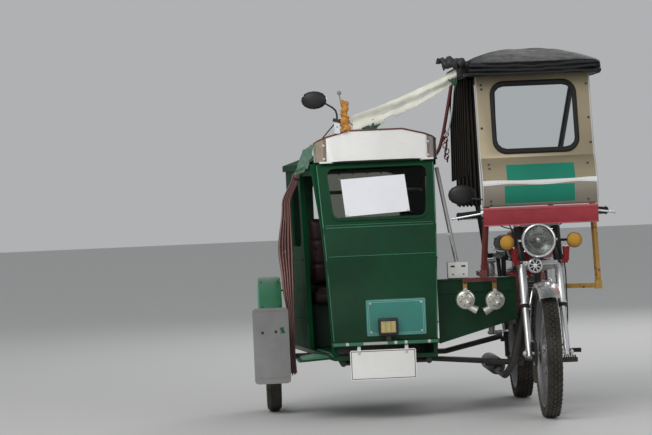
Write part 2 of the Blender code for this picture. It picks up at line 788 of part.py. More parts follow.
def indicator(side):
    """Round amber lamp on a short stalk from the fork's ear."""
    lamp = placed(turned([(0, INDICATOR_DEPTH * 0.6), (INDICATOR_R * 0.55, INDICATOR_DEPTH * 0.5),
                          (INDICATOR_R * 0.9, INDICATOR_DEPTH * 0.2), (INDICATOR_R, 0),
                          (INDICATOR_R * 0.9, -INDICATOR_DEPTH * 0.3),
                          (INDICATOR_R * 0.4, -INDICATOR_DEPTH * 0.8),
                          (0, -INDICATOR_DEPTH)], 24),
                  (side * INDICATOR_HALF_SPAN, INDICATOR_Y, INDICATOR_Z), "Y")
    ear = leg_point(side, (INDICATOR_Z - TYRE_R) / math.cos(RAKE))
    start = Vector((side * (LEG_HALF_SPAN + COVER_R + GAP * 0.2), ear.y, INDICATOR_Z))
    elbow = Vector((side * (INDICATOR_HALF_SPAN - INDICATOR_R * 0.3), ear.y - STAY_R * 5, INDICATOR_Z))
    end = Vector((side * INDICATOR_HALF_SPAN, INDICATOR_Y + INDICATOR_DEPTH * 0.5, INDICATOR_Z))
    return union(lamp, tube([start, elbow, end], STAY_R * 1.4, STAY_R * 4, 8))


def bar_route(end_x):
    rise = Vector((0, BAR_GRIP_Y, BAR_Z))
    half = [Vector((BAR_RISE_HALF, BAR_CLAMP_Y, BAR_CLAMP_Z)),
            Vector((BAR_BEND_HALF, BAR_CLAMP_Y, BAR_CLAMP_Z + BAR_R * 3)),
            Vector((BAR_BEND_HALF * 1.5, (BAR_CLAMP_Y + BAR_GRIP_Y) / 2, BAR_Z + BAR_R)),
            Vector((end_x, rise.y, rise.z))]
    return [Vector((-p.x, p.y, p.z)) for p in reversed(half)] + half


def bar_axis():
    """Start and direction of the left-hand end of the bar, where the grip is."""
    route = bar_route(GRIP_REACH - GAP * 4)
    return route[-1], (route[-2] - route[-1]).normalized()


def handlebar():
    bar = tube(bar_route(GRIP_REACH - GAP * 4), BAR_R, BAR_R * 4, 8)
    pieces = []
    for side in (-1, 1):
        clamp_top = Vector((side * BAR_RISE_HALF * 0.6, BAR_CLAMP_Y, BAR_CLAMP_Z))
        lift = CROWN_THICK * 0.5 + BAR_R * 0.56
        over = Vector((side * BAR_RISE_HALF * 0.6, lift * math.sin(RAKE), lift * math.cos(RAKE)))
        foot = leg_point(0, BRIDGE_AT) + over
        pieces.append(beam(clamp_top + Vector((0, 0, BAR_R * 1.5)), foot, BAR_R * 2, BAR_R * 2.6))
        end, inward = bar_axis()
        end = Vector((side * end.x, end.y, end.z))
        inward = Vector((side * inward.x, inward.y, inward.z))
        near = end + inward * (GRIP_LENGTH + GAP)
        pieces.append(rod(near, near + inward * SWITCH_LENGTH, SWITCH_R, 14))
        root = near + inward * SWITCH_LENGTH * 0.5 + Vector((0, -SWITCH_R * 0.8, 0))
        tip = Vector((side * LEVER_TIP_X, end.y - LEVER_AHEAD, BAR_Z - LEVER_R * 2))
        pieces.append(tube([root, root + Vector((side * SWITCH_R, -LEVER_AHEAD * 0.75, 0)), tip],
                           LEVER_R, SWITCH_R, 8))
    gauge_at = leg_point(0, BRIDGE_AT) + Vector((0, -GAUGE_R, CROWN_THICK))
    gauge = placed(turned([(0, GAUGE_DEPTH), (GAUGE_R * 0.9, GAUGE_DEPTH), (GAUGE_R, GAUGE_DEPTH * 0.9),
                           (GAUGE_R, GAUGE_DEPTH * 0.3), (GAUGE_R * 0.6, 0), (0, 0)], 24), gauge_at,
                           turn=math.radians(25))
    post = beam(gauge_at + Vector((0, GAUGE_R * 0.4, GAUGE_DEPTH * 0.5)), (0, BAR_CLAMP_Y, BAR_CLAMP_Z),
                BAR_R * 2, BAR_R)
    return union(bar, *pieces, gauge, post)


def grip(side):
    end, inward = bar_axis()
    end = Vector((side * end.x, end.y, end.z))
    inward = Vector((side * inward.x, inward.y, inward.z))
    sleeve = rod(end - inward * GAP * 4, end + inward * GRIP_LENGTH, GRIP_R, 12)
    bore = rod(end - inward * GAP, end + inward * (GRIP_LENGTH + OVERRUN), BAR_R + GAP, 12)
    return cut(sleeve, bore)


def pebble(centre, size, drop=1.0):
    """A soft closed form from a coarse cage, such as a mirror's back or a lamp's pod."""
    bm = bmesh.new()
    bmesh.ops.create_cube(bm, size=1.0)
    bmesh.ops.scale(bm, vec=Vector(size), verts=bm.verts[:])
    bmesh.ops.translate(bm, vec=Vector(centre), verts=bm.verts[:])
    obj = from_bmesh("pebble", bm)
    soft = obj.modifiers.new("soft", "SUBSURF")
    soft.levels = 2
    soft.render_levels = 2
    return baked(obj)


def bar_mirror():
    head = pebble((MIRROR_X, BAR_GRIP_Y - SWITCH_R * 2, MIRROR_Z),
                  (MIRROR_W * 1.3, MIRROR_D * 1.3, MIRROR_H * 1.3))
    end, inward = bar_axis()
    along = Vector((-inward.x, inward.y, inward.z))
    foot = Vector((-end.x, end.y, end.z)) + along * (GRIP_LENGTH + SWITCH_LENGTH * 0.5)
    foot.z += SWITCH_R + STAY_R * 0.5
    stalk = tube([foot, foot + Vector((0, -SWITCH_R, SWITCH_R * 2)),
                  Vector((MIRROR_X + MIRROR_W * 0.2, BAR_GRIP_Y - SWITCH_R * 2,
                          MIRROR_Z - MIRROR_H * 0.2))],
                 STAY_R, SWITCH_R, 8)
    return union(head, stalk)


def wheel_axle(x, y, half, r=AXLE_R):
    return rod((x - half, y, TYRE_R), (x + half, y, TYRE_R), r, 12)


def frame_front():
    """Head tube with its bore, and the single downtube to the engine."""
    low = stem_point(COVER_END + COVER_R * 0.6 + CROWN_THICK / 2 + HEAD_PLAY)
    high = stem_point(BRIDGE_AT - CROWN_THICK / 2 - HEAD_PLAY)
    along = (high - low).normalized()
    head = rod(low, high, HEAD_TUBE_R, 24)
    mid = low + along * HEAD_TUBE_R * 1.2
    down = tube([mid, Vector((0, ENGINE_Y0 - TUBE_R * 2, ENGINE_Z1)),
                 Vector((0, ENGINE_Y0 - TUBE_R * 1.5, ENGINE_Z0 + TUBE_R))], TUBE_R * 1.1, TUBE_R * 4, 12)
    bore = rod(low - along * OVERRUN, high + along * OVERRUN, HEAD_BORE_R, 20)
    return cut(union(head, down), bore)


def frame_spine():
    """Backbone under the tank and the two seat rails, flattened into one welded piece."""
    head = stem_point(BRIDGE_AT - CROWN_THICK * 4)
    head += Vector((0, (HEAD_TUBE_R + SPINE_R * math.sin(RAKE)) / math.cos(RAKE) + GAP * 2, 0))
    spine = tube([head, (0, TANK_Y1 * 0.75, TANK_Z0 - SPINE_R * 0.4),
                  (0, SEAT_Y0, SEAT_Z0 - SPINE_R * 2.2)],
                 SPINE_R, SPINE_R * 3, 12)
    rails = []
    half = FRAME_HALF
    rail_z = SEAT_Z0 - TUBE_R * 1.6
    for side in (-1, 1):
        rails.append(tube([(0, SEAT_Y0 - SPINE_R, rail_z - TUBE_R), (side * half, SEAT_Y0 + half, rail_z),
                           (side * half, SEAT_Y1 - TUBE_R, rail_z)], TUBE_R * 0.8, TUBE_R * 3, 10))
    rails.append(rod((-half - TUBE_R, SEAT_Y1 - TUBE_R * 2, rail_z),
                     (half + TUBE_R, SEAT_Y1 - TUBE_R * 2, rail_z),
                     TUBE_R * 0.8, 10))
    return union(spine, *rails)


def frame_side(side):
    """Down tube from the seat rail, pivot plate and the peg that it carries."""
    x = side * FRAME_HALF
    rail_z = SEAT_Z0 - TUBE_R * 1.6
    down = tube([(x, SEAT_Y0 + SEAT_W * 0.5, rail_z), (x, PIVOT_Y, PIVOT_Z + SPINE_R),
                 (x, PIVOT_Y - SPINE_R, ENGINE_Z0)],
                TUBE_R * 0.8, TUBE_R * 4, 8)
    strut = tube([(x, PIVOT_Y, PIVOT_Z + SPINE_R * 2), (x, SEAT_Y1 - SEAT_W * 0.8, rail_z)],
                 TUBE_R * 0.7, 0, 8)
    peg_z = ENGINE_Z0 - SPINE_R
    bar = tube([(x, PIVOT_Y - SPINE_R, ENGINE_Z0 + SPINE_R * 0.2), (x, ENGINE_Y1 - PEG_BACK, peg_z),
                (side * PEG_REACH, ENGINE_Y1 - PEG_BACK, peg_z)], PEG_ARM_R, PEG_ARM_R * 3, 8)
    pad = soften(block((min(side * PEG_REACH, side * PEG_ROOT), ENGINE_Y1 - PEG_BACK - PEG_W / 2,
                        peg_z - PEG_W * 0.4),
                       (max(side * PEG_REACH, side * PEG_ROOT), ENGINE_Y1 - PEG_BACK + PEG_W / 2,
                        peg_z + PEG_W * 0.4)),
                 PEG_W * 0.12)
    return union(down, strut, bar, pad)


def engine():
    """Crankcase, finned barrel and head, with its covers on both sides."""
    half = ENGINE_W / 2
    mid_y = (ENGINE_Y0 + ENGINE_Y1) / 2
    case = soften(block((-half * 0.62, ENGINE_Y0, ENGINE_Z0), (half * 0.62, ENGINE_Y1, ENGINE_Z1)), FIN_OUT)
    crank = rod((-half, ENGINE_Y0 + ENGINE_Z1 * 0.28, (ENGINE_Z0 + ENGINE_Z1) / 2),
                (half, ENGINE_Y0 + ENGINE_Z1 * 0.28, (ENGINE_Z0 + ENGINE_Z1) / 2),
                (ENGINE_Z1 - ENGINE_Z0) * 0.52, 22)
    clutch = rod((-half * 0.95, ENGINE_Y1 - ENGINE_Z1 * 0.3, (ENGINE_Z0 + ENGINE_Z1) / 2 - FIN_OUT * 0.4),
                 (half * 0.8, ENGINE_Y1 - ENGINE_Z1 * 0.3, (ENGINE_Z0 + ENGINE_Z1) / 2 - FIN_OUT * 0.4),
                 (ENGINE_Z1 - ENGINE_Z0) * 0.44, 20)
    barrel_y = ENGINE_Y0 + FIN_OUT * 2
    barrel = soften(block((-BARREL_W / 2 + FIN_OUT, barrel_y + FIN_OUT, ENGINE_Z1 - FIN_OUT),
                          (BARREL_W / 2 - FIN_OUT, barrel_y + BARREL_L - FIN_OUT, BARREL_TOP)),
                          FIN_OUT * 0.4)
    fins = []
    pitch = (BARREL_TOP - ENGINE_Z1) / FIN_COUNT
    for i in range(FIN_COUNT):
        z = ENGINE_Z1 + pitch * (i + 0.5)
        fins.append(block((-BARREL_W / 2, barrel_y, z - FIN_THICK / 2),
                          (BARREL_W / 2, barrel_y + BARREL_L, z + FIN_THICK / 2)))
    carb = rod((0, barrel_y + BARREL_L - FIN_OUT * 2, BARREL_TOP - pitch * 1.6),
               (0, barrel_y + BARREL_L * 1.9, BARREL_TOP - pitch * 1.2), FIN_OUT * 1.5, 16)
    lid = soften(block((-BARREL_W * 0.3, barrel_y + FIN_OUT, BARREL_TOP - FIN_THICK),
                       (BARREL_W * 0.3, barrel_y + BARREL_L - FIN_OUT, BARREL_TOP + FIN_OUT * 1.5)),
                       FIN_OUT * 0.5)
    mount = block((-TUBE_R * 0.6, ENGINE_Y0 - TUBE_R * 0.36, ENGINE_Z0 + FIN_OUT * 1.2),
                  (TUBE_R * 0.6, ENGINE_Y0 + FIN_OUT, ENGINE_Z0 + FIN_OUT * 3))
    return union(case, crank, clutch, barrel, *fins, carb, lid, mount)


def exhaust():
    """Header pipe that loops down before the engine, and the silencer along the left."""
    head = Vector((-BARREL_W * 0.36, ENGINE_Y0 + FIN_OUT * 2 - GAP * 4, BARREL_TOP - FIN_OUT * 2.4))
    y0 = ENGINE_Y0 - EXHAUST_R * 1.6
    x = EXHAUST_X
    pipe = tube([head, (head.x, y0, head.z - EXHAUST_R), (x * 0.75, y0, ENGINE_Z0),
                 (x, ENGINE_Y0 + EXHAUST_R, EXHAUST_Z),
                 (x, PIVOT_Y, EXHAUST_Z)], EXHAUST_R, EXHAUST_R * 4, 12)
    can = placed(turned([(0, SILENCER_L), (SILENCER_R * 0.45, SILENCER_L), (SILENCER_R, SILENCER_L * 0.9),
                         (SILENCER_R, SILENCER_L * 0.15), (EXHAUST_R, 0), (0, 0)], 24),
                 (x, PIVOT_Y + SILENCER_L - EXHAUST_R, EXHAUST_Z + EXHAUST_R), "Y")
    return union(pipe, can)


def fuel_tank():
    """Teardrop tank: sections across the bike, widest at the knees, low and flat below."""
    length = TANK_Y1 - TANK_Y0
    high = TANK_Z1 - TANK_Z0
    rings = []
    for along_share, width_share, top_share, base_share in TANK_SECTION_SHARES:
        y = TANK_Y0 + length * along_share
        half = TANK_W / 2 * width_share
        base = TANK_Z0 + high * base_share
        top = TANK_Z0 + high * top_share
        ring = []
        for i in range(12):
            a = math.radians(-90 + 30 * i)
            u, v = math.cos(a), math.sin(a)
            soft = 0.62
            ring.append((half * math.copysign(abs(u) ** soft, u), y,
                         (base + top) / 2 + (top - base) / 2 * math.copysign(abs(v) ** soft, v)))
        rings.append(ring)
    tank = loft(rings)
    cap = rod((0, TANK_Y0 + length * 0.42, TANK_Z1 - high * 0.12),
              (0, TANK_Y0 + length * 0.42, TANK_Z1 + high * 0.07),
              TANK_CAP_R, 20)
    saddle = block((-SPINE_R - GAP, TANK_Y0 - OVERRUN, TANK_Z0 - high),
                   (SPINE_R + GAP, TANK_Y1 + OVERRUN, TANK_Z0 + high * 0.52))
    return cut(union(tank, cap), saddle)


def seat():
    """Long rider's seat, stepped up behind, on its pan."""
    length = SEAT_Y1 - SEAT_Y0
    high = SEAT_Z1 - SEAT_Z0
    rings = []
    for along_share, width_share, top_share in SEAT_SECTION_SHARES:
        y = SEAT_Y0 + length * along_share
        half = SEAT_W / 2 * width_share
        top = SEAT_Z0 + high * top_share
        ring = [(-half * 0.9, y, SEAT_Z0), (half * 0.9, y, SEAT_Z0),
                (half, y, SEAT_Z0 + (top - SEAT_Z0) * 0.4),
                (half * 0.92, y, SEAT_Z0 + (top - SEAT_Z0) * 0.85), (half * 0.5, y, top),
                (-half * 0.5, y, top),
                (-half * 0.92, y, SEAT_Z0 + (top - SEAT_Z0) * 0.85),
                (-half, y, SEAT_Z0 + (top - SEAT_Z0) * 0.4)]
        rings.append(ring)
    pan = block((-FRAME_HALF + TUBE_R * 0.1, SEAT_Y0 + FRAME_HALF, SEAT_Z0 - TUBE_R * 0.8),
                (FRAME_HALF - TUBE_R * 0.1, SEAT_Y1 - TUBE_R * 5, SEAT_Z0 + TUBE_R * 0.5))
    return union(loft(rings), pan)


def side_covers():
    """Battery box and air box between the frame's sides, with a cover each side."""
    half = FRAME_HALF - TUBE_R * 0.8 - GAP
    y0 = ENGINE_Y1 + GAP
    low = soften(block((-half, y0 - SEAT_W * 0.2, ENGINE_Z1 + FIN_OUT * 2),
                       (half, y0 + SEAT_W * 0.45, SEAT_Z0 - TUBE_R * 6)), FIN_OUT)
    return low


def swing_arm():
    half = REAR_TYRE_W / 2 + SWING_SIDE
    pieces = []
    for side in (-1, 1):
        arm = beam((side * half, PIVOT_Y, PIVOT_Z), (side * half, WHEELBASE + SWING_W, TYRE_R),
                   SWING_W * 0.7, SWING_W)
        pieces.append(arm)
        pieces.append(rod((side * half, WHEELBASE, TYRE_R),
                          (side * (half + AXLE_OUT * 1.6), WHEELBASE, TYRE_R), AXLE_R * 1.6, 8))
        lug_y = WHEELBASE - SWING_W * 0.5
        pieces.append(block((min(side * half, side * (half + SWING_W * 0.39)), lug_y - SWING_W * 0.35,
                             TYRE_R),
                            (max(side * half, side * (half + SWING_W * 0.39)), lug_y + SWING_W * 0.35,
                             TYRE_R + SWING_W * 1.5)))
    reach = FRAME_HALF - TUBE_R * 0.8 - GAP
    cross = rod((-reach, PIVOT_Y, PIVOT_Z), (reach, PIVOT_Y, PIVOT_Z), SWING_W * 0.5, 12)
    axle = wheel_axle(0, WHEELBASE, half)
    chain_low = block((half - SWING_W * 0.3, PIVOT_Y + SWING_W, PIVOT_Z + SWING_W * 0.3),
                      (half + SWING_W * 0.4, WHEELBASE, PIVOT_Z + SWING_W * 2.2))
    return union(cross, *pieces, axle, soften(chain_low, SWING_W * 0.2))


def shock(side):
    """Rear spring with its rod and eyes; the coil is turned as ribs on one body."""
    x = side * (FRAME_HALF + TUBE_R + SHOCK_R)
    low = Vector((x, WHEELBASE - SWING_W * 0.5, TYRE_R + SWING_W * 1.2))
    high = Vector((x, SHOCK_TOP_Y, SHOCK_TOP_Z))
    length = (high - low).length
    profile = [(0, 0), (SHOCK_R * 0.6, 0), (SHOCK_R * 0.6, length * 0.12)]
    ribs = SHOCK_COILS
    for i in range(ribs):
        h = length * (0.14 + 0.6 * i / ribs)
        step = length * 0.6 / ribs
        profile += [(SHOCK_R * 0.62, h), (SHOCK_R, h + step * 0.25), (SHOCK_R, h + step * 0.6),
                    (SHOCK_R * 0.62, h + step * 0.85)]
    profile += [(SHOCK_R * 0.9, length * 0.76), (SHOCK_R * 0.9, length * 0.95), (0, length)]
    spring = turned(profile[::-1], 9)
    run = (high - low).normalized()
    spring.data.transform(Matrix.Translation(low) @ run.to_track_quat("Z", "Y").to_matrix().to_4x4())
    inner = side * (REAR_TYRE_W / 2 + SWING_SIDE + SWING_W * 0.4 + GAP)
    eye = rod((inner, low.y, low.z), (x + side * SHOCK_R * 0.5, low.y, low.z), SHOCK_R * 0.45, 8)
    top = rod((side * (FRAME_HALF + TUBE_R * 0.8 + GAP), high.y, high.z),
              (x + side * SHOCK_R * 0.5, high.y, high.z), SHOCK_R * 0.45, 8)
    return union(spring, eye, top)


def rear_mudguard():
    rows = []
    r = REAR_GUARD_R
    steps = 16
    first, last = math.radians(150), math.radians(12)
    for i in range(steps + 1):
        a = first + (last - first) * i / steps
        centre = Vector((0, WHEELBASE + r * math.cos(a), TYRE_R + REAR_GUARD_LIFT + r * math.sin(a)))
        out = Vector((0, math.cos(a), math.sin(a)))
        rows.append([centre + out * (drop * GUARD_SKIRT) + Vector((across * REAR_GUARD_W, 0, 0))
                     for across,
                     drop in [(-0.5, -1.6), (-0.5, -0.3), (-0.3, 0.15), (0.0, 0.35), (0.3, 0.15),
                              (0.5, -0.3), (0.5, -1.6)]])
    guard = shell(rows, GUARD_THICK)
    a = math.radians(38)
    back = Vector((0, WHEELBASE + r * math.cos(a), TYRE_R + REAR_GUARD_LIFT + r * math.sin(a)))
    lamp = soften(block(back + Vector((-TAIL_LAMP / 2, -TAIL_LAMP * 0.1, -TAIL_LAMP * 0.2)),
                        back + Vector((TAIL_LAMP / 2, TAIL_LAMP * 0.55, TAIL_LAMP * 0.55))),
                        TAIL_LAMP * 0.1)
    bracket = block((-REAR_GUARD_W * 0.25, WHEELBASE - TAIL_LAMP * 0.4, TYRE_R + REAR_GUARD_LIFT + r),
                    (REAR_GUARD_W * 0.25, WHEELBASE, SEAT_Z0 - TUBE_R * 0.8 - GAP))
    return union(guard, lamp, bracket)


def panel_profile():
    """Side view of the windshield panel: straight above, a knee, then a round nose."""
    nose = []
    for i in range(9):
        t = i / 8
        z = PANEL_KNEE_Z + (PANEL_LOW_Z - PANEL_KNEE_Z) * t
        swell = (PANEL_KNEE_Y - RIDGE_Y) * PANEL_SWELL_SHARE * math.sin(math.pi * t) ** PANEL_SWELL_POWER
        y = PANEL_KNEE_Y + (PANEL_LOW_Y - PANEL_KNEE_Y) * t - swell
        nose.append((y, z))
    return [(PANEL_TOP_Y, PANEL_TOP_Z), *nose]


def panel_y(z):
    """The panel's straight upper part at a height."""
    share = (z - PANEL_KNEE_Z) / (PANEL_TOP_Z - PANEL_KNEE_Z)
    return PANEL_KNEE_Y + (PANEL_TOP_Y - PANEL_KNEE_Y) * share


def lean(obj):
    """Tip a flat piece made upright at the window's middle into the panel's slope."""
    mid = (WINDOW_Z0 + WINDOW_Z1) / 2
    slope = math.atan2(PANEL_TOP_Y - PANEL_KNEE_Y, PANEL_TOP_Z - PANEL_KNEE_Z)
    obj.data.transform(Matrix.Translation((PANEL_X, panel_y(mid), mid)) @ Matrix.Rotation(-slope, 4, "X"))
    return obj


def window_outline(grow=0.0):
    half_w = WINDOW_W / 2 + grow
    half_h = (WINDOW_Z1 - WINDOW_Z0) / 2 + grow
    return round_rect(-half_w, -half_h, half_w, half_h, WINDOW_CORNER + grow, 3)


def windshield_panel():
    half = PANEL_W / 2
    rows = []
    for y, z in panel_profile():
        rows.append([(PANEL_X - half, y + PANEL_HEM, z), (PANEL_X - half, y, z), (PANEL_X + half, y, z),
                     (PANEL_X + half, y + PANEL_HEM, z)])
    sheet = shell(rows, SHEET)
    return cut(sheet, lean(plate(window_outline(), GASKET_THICK * 4)))


def windshield_gasket():
    """Rubber strip with a slot that grips the sheet outside and the glass inside."""
    ring = plate(window_outline(GASKET_W * 0.5), GASKET_THICK)
    ring = cut(ring, plate(window_outline(-GASKET_W * 0.5), GASKET_THICK * 2))
    slot = plate(window_outline(GASKET_W), SHEET + GAP * 4)
    slot = cut(slot, plate(window_outline(-GAP), GASKET_THICK * 2))
    pane = plate(window_outline(-GASKET_W * 0.3), GLASS_THICK + GAP)
    return lean(cut(ring, slot, pane))


def windshield_glass():
    return lean(plate(window_outline(-GASKET_W * 0.3 - GAP), GLASS_THICK))


def valance():
    half = PANEL_W / 2
    y = PANEL_LOW_Y
    rows = []
    for share, forward_share in ((0.0, 0.0), (0.3, 0.6), (0.7, 0.8), (1.0, 0.3)):
        z = PANEL_LOW_Z - GAP - SHEET * 0.3 + (VALANCE_Z0 - PANEL_LOW_Z + VALANCE_THICK) * share
        depth = y - VALANCE_THICK * forward_share
        rows.append([(PANEL_X + half * (step / 2 - 1), depth, z) for step in range(5)])
    return shell(rows, VALANCE_THICK)


def canopy_post(side):
    """Front post: foot by the bike's frame, up behind the panel to the roof."""
    x = POST_RIGHT_X if side > 0 else POST_LEFT_X
    back = SHEET * 1.5 + POST_W / 2
    y_top = panel_y(ROOF_EAVE_Z - ROOF_THICK) + back
    y_mid = PANEL_KNEE_Y + back
    x_in = PANEL_X + side * (PANEL_W / 2 - POST_W)
    foot_z = POST_FOOT_Z if side > 0 else POST_FOOT_Z + HORN_BAR_LIFT
    upper = beam((x_in, y_mid, PANEL_KNEE_Z), (x_in, y_top, ROOF_EAVE_Z - ROOF_THICK - GAP * 4), POST_W)
    lower = beam((x_in, y_mid, PANEL_KNEE_Z + POST_W * 0.2), (x_in, POST_Y + POST_W, PANEL_LOW_Z),
                 POST_W * 0.96)
    leg = beam((x_in, POST_Y + POST_W, PANEL_LOW_Z + POST_W * 0.2), (x, POST_Y, foot_z - POST_W / 2),
               POST_W * 0.92)
    if side > 0:
        end = (POST_FOOT_IN, POST_FOOT_Y, foot_z)
    else:
        end = (x, BRIDGE_Y + BRIDGE_LEDGE, foot_z)
    foot = beam((x, POST_Y, foot_z), end, POST_W * 0.96)
    corner = block((x - POST_W * 0.7, POST_Y - POST_W * 0.7, foot_z - POST_W * 0.7),
                   (x + POST_W * 0.7, POST_Y + POST_W * 0.7, foot_z + POST_W))
    return union(upper, lower, leg, foot, corner)


def canopy_stay(side):
    """Rear stay from the seat rail out and forward to the roof."""
    x = (ROOF_X0 + ROOF_X1) / 2 + side * STAY_TOP_HALF
    top = Vector((x, STAY_TOP_Y, ROOF_EAVE_Z - ROOF_THICK - STAY_TUBE_R - GAP * 0.5))
    rail_z = SEAT_Z0 - TUBE_R * 1.6
    foot = Vector((side * (FRAME_HALF + STAY_TUBE_R * 3), SEAT_Y1 - TUBE_R * 2, rail_z))
    end = Vector((side * (FRAME_HALF + TUBE_R + GAP), foot.y, foot.z))
    rail = rod((x, ROOF_Y0 + POST_W * 7, top.z), (x, ROOF_Y1 - POST_W * 2, top.z), STAY_TUBE_R, 8)
    leg = tube([top, foot, end], STAY_TUBE_R, STAY_TUBE_R * 1.5, 8)
    return union(rail, leg)


def canopy_roof():
    """Padded vinyl roof: a crowned lid whose hem rolls down over the eaves."""
    outer = loft_dome(ROOF_X0, ROOF_X1, ROOF_Y0, ROOF_Y1, ROOF_RIM_Z, ROOF_EAVE_Z, ROOF_CROWN, ROOF_CORNER)
    inner = loft_dome(ROOF_X0 + ROOF_THICK, ROOF_X1 - ROOF_THICK, ROOF_Y0 + ROOF_THICK,
                      ROOF_Y1 - ROOF_THICK,
                      ROOF_RIM_Z - OVERRUN, ROOF_EAVE_Z - ROOF_THICK, GAP, ROOF_CORNER * 0.5)
    return cut(outer, inner)


def loft_dome(x0, x1, y0, y1, z0, z1, crown, corner):
    """Upright walls on a round-cornered plan, closed by a crown of shrinking rings."""
    rings = []
    cx, cy = (x0 + x1) / 2, (y0 + y1) / 2
    plan = round_rect(x0, y0, x1, y1, corner, 3)
    for shrink, rise in ((1.0, None), (1.0, 0.0), (0.985, 0.16), (0.90, 0.42), (0.72, 0.72),
                         (0.45, 0.93), (0.18, 1.0)):
        z = z0 if rise is None else z1 + crown * rise
        rings.append([(cx + (x - cx) * shrink, cy + (y - cy) * shrink, z) for x, y in plan])
    return loft(rings)


def rider_curtain():
    """Black curtain gathered at the canopy's rear corner next to the sidecar."""
    top = ROOF_EAVE_Z - ROOF_THICK - STAY_TUBE_R * 2 - GAP
    rings = []
    for z, spread in ((CURTAIN_LOW_Z, 1.0), ((CURTAIN_LOW_Z + top) / 2, 0.9), (top, 0.75)):
        half = CURTAIN_W / 2 * spread
        rings.append([(CURTAIN_X + u * half, CURTAIN_Y + v * CURTAIN_D, z)
                      for u, v in ((-1, -0.4), (-0.6, -0.5), (-0.2, -0.35), (0.2, -0.5), (0.6, -0.35),
                                   (1, -0.4),
                                   (1, 0.4), (0.6, 0.5), (0.2, 0.35), (-0.2, 0.5), (-0.6, 0.35),
                                   (-1, 0.4))])
    return loft(rings)


def twin_horns():
    """Two snail horns hung from a bent bracket on the left post."""
    z = HORN_BAR_Z
    y = HORN_Y
    bar = beam((HORN_OUT_X - POST_W * 0.5, y, z), (HORN_IN_X + POST_W * 0.5, y, z), POST_W * 0.9,
               POST_W * 0.9)
    hanger = block((POST_LEFT_X - POST_W * 0.4, y - POST_W * 0.3, z + POST_W * 0.3),
                   (POST_LEFT_X + POST_W * 0.4, y + POST_W * 0.3,
                    POST_FOOT_Z + HORN_BAR_LIFT - POST_W * 0.48 - GAP))
    pieces = []
    for x, disc_z, turn in ((HORN_OUT_X, HORN_OUT_Z, -1), (HORN_IN_X, HORN_IN_Z, 1)):
        pieces.append(beam((x, y, z), (x, y, disc_z + HORN_R * 0.7), POST_W, STAY_R * 2))
        snail = placed(turned([(0, HORN_R * 0.55), (HORN_R * 0.35, HORN_R * 0.55),
                               (HORN_R * 0.45, HORN_R * 0.3),
                               (HORN_R * 0.92, HORN_R * 0.25), (HORN_R, 0), (HORN_R * 0.85, -HORN_R * 0.5),
                               (0, -HORN_R * 0.55)], 18), (x, y, disc_z), "Y")
        pieces.append(snail)
        mouth = rod((x, y + HORN_R * 0.2, disc_z - HORN_R * 0.65),
                    (x - turn * HORN_R * 1.15, y + HORN_R * 0.1, disc_z - HORN_R * 1.15), HORN_R * 0.3,
                    12, HORN_R * 0.42)
        pieces.append(mouth)
    return union(bar, hanger, *pieces)


def wall_x(inner, y, z):
    """Outside face of a sidecar side wall: it spreads towards the back and the top."""
    front, back = (CAR_IN_X, CAR_IN_BACK_X) if inner else (CAR_OUT_X, CAR_OUT_BACK_X)
    brow = (BROW_IN_X - CAR_IN_X) if inner else (BROW_OUT_X - CAR_OUT_X)
    along = (y - CAR_FRONT_Y) / (CAR_BACK_Y - CAR_FRONT_Y)
    lean_share = (z - FLOOR_Z) / (BROW_Z - FLOOR_Z) * (1 - along)
    return front + (back - front) * along + brow * lean_share


def side_wall(inner, outline, windows=()):
    """A side wall from its outline in (Y, Z), bent to the body's taper."""
    wall = plate(outline, WALL, "YZ", 0.0)
    for hole in windows:
        wall = cut(wall, plate(hole, WALL * 3, "YZ", 0.0))
    shift = -WALL / 2 if inner else WALL / 2
    for vert in wall.data.vertices:
        vert.co.x += shift + wall_x(inner, vert.co.y, vert.co.z)
    return wall


def round_poly(points, radius, steps=3):
    """A closed outline with its corners rounded."""
    flat = [Vector((u, v, 0)) for u, v in points]
    route = []
    for i, corner in enumerate(flat):
        before, after = flat[i - 1], flat[(i + 1) % len(flat)]
        back, on = (before - corner).normalized(), (after - corner).normalized()
        reach = radius / math.tan(back.angle(on) / 2)
        start, end = corner + back * reach, corner + on * reach
        for k in range(steps + 1):
            t = k / steps
            p = start * (1 - t) ** 2 + corner * 2 * t * (1 - t) + end * t ** 2
            route.append((p.x, p.y))
    return route


def slope_y(z):
    """Front face of the sidecar at a height: upright below, leaning back above."""
    if z <= CREASE_Z:
        return CAR_FRONT_Y
    if z <= LEDGE_Z:
        return CAR_FRONT_Y + (LEDGE_Y - CAR_FRONT_Y) * (z - CREASE_Z) / (LEDGE_Z - CREASE_Z)
    return LEDGE_Y + (BROW_Y - LEDGE_Y) * (z - LEDGE_Z) / (BROW_Z - LEDGE_Z)


def front_x(inner, z):
    share = (z - FRONT_LOW_Z) / (BROW_Z - FRONT_LOW_Z)
    if inner:
        return CAR_IN_X + (BROW_IN_X - CAR_IN_X) * share
    return CAR_OUT_X + (BROW_OUT_X - CAR_OUT_X) * share


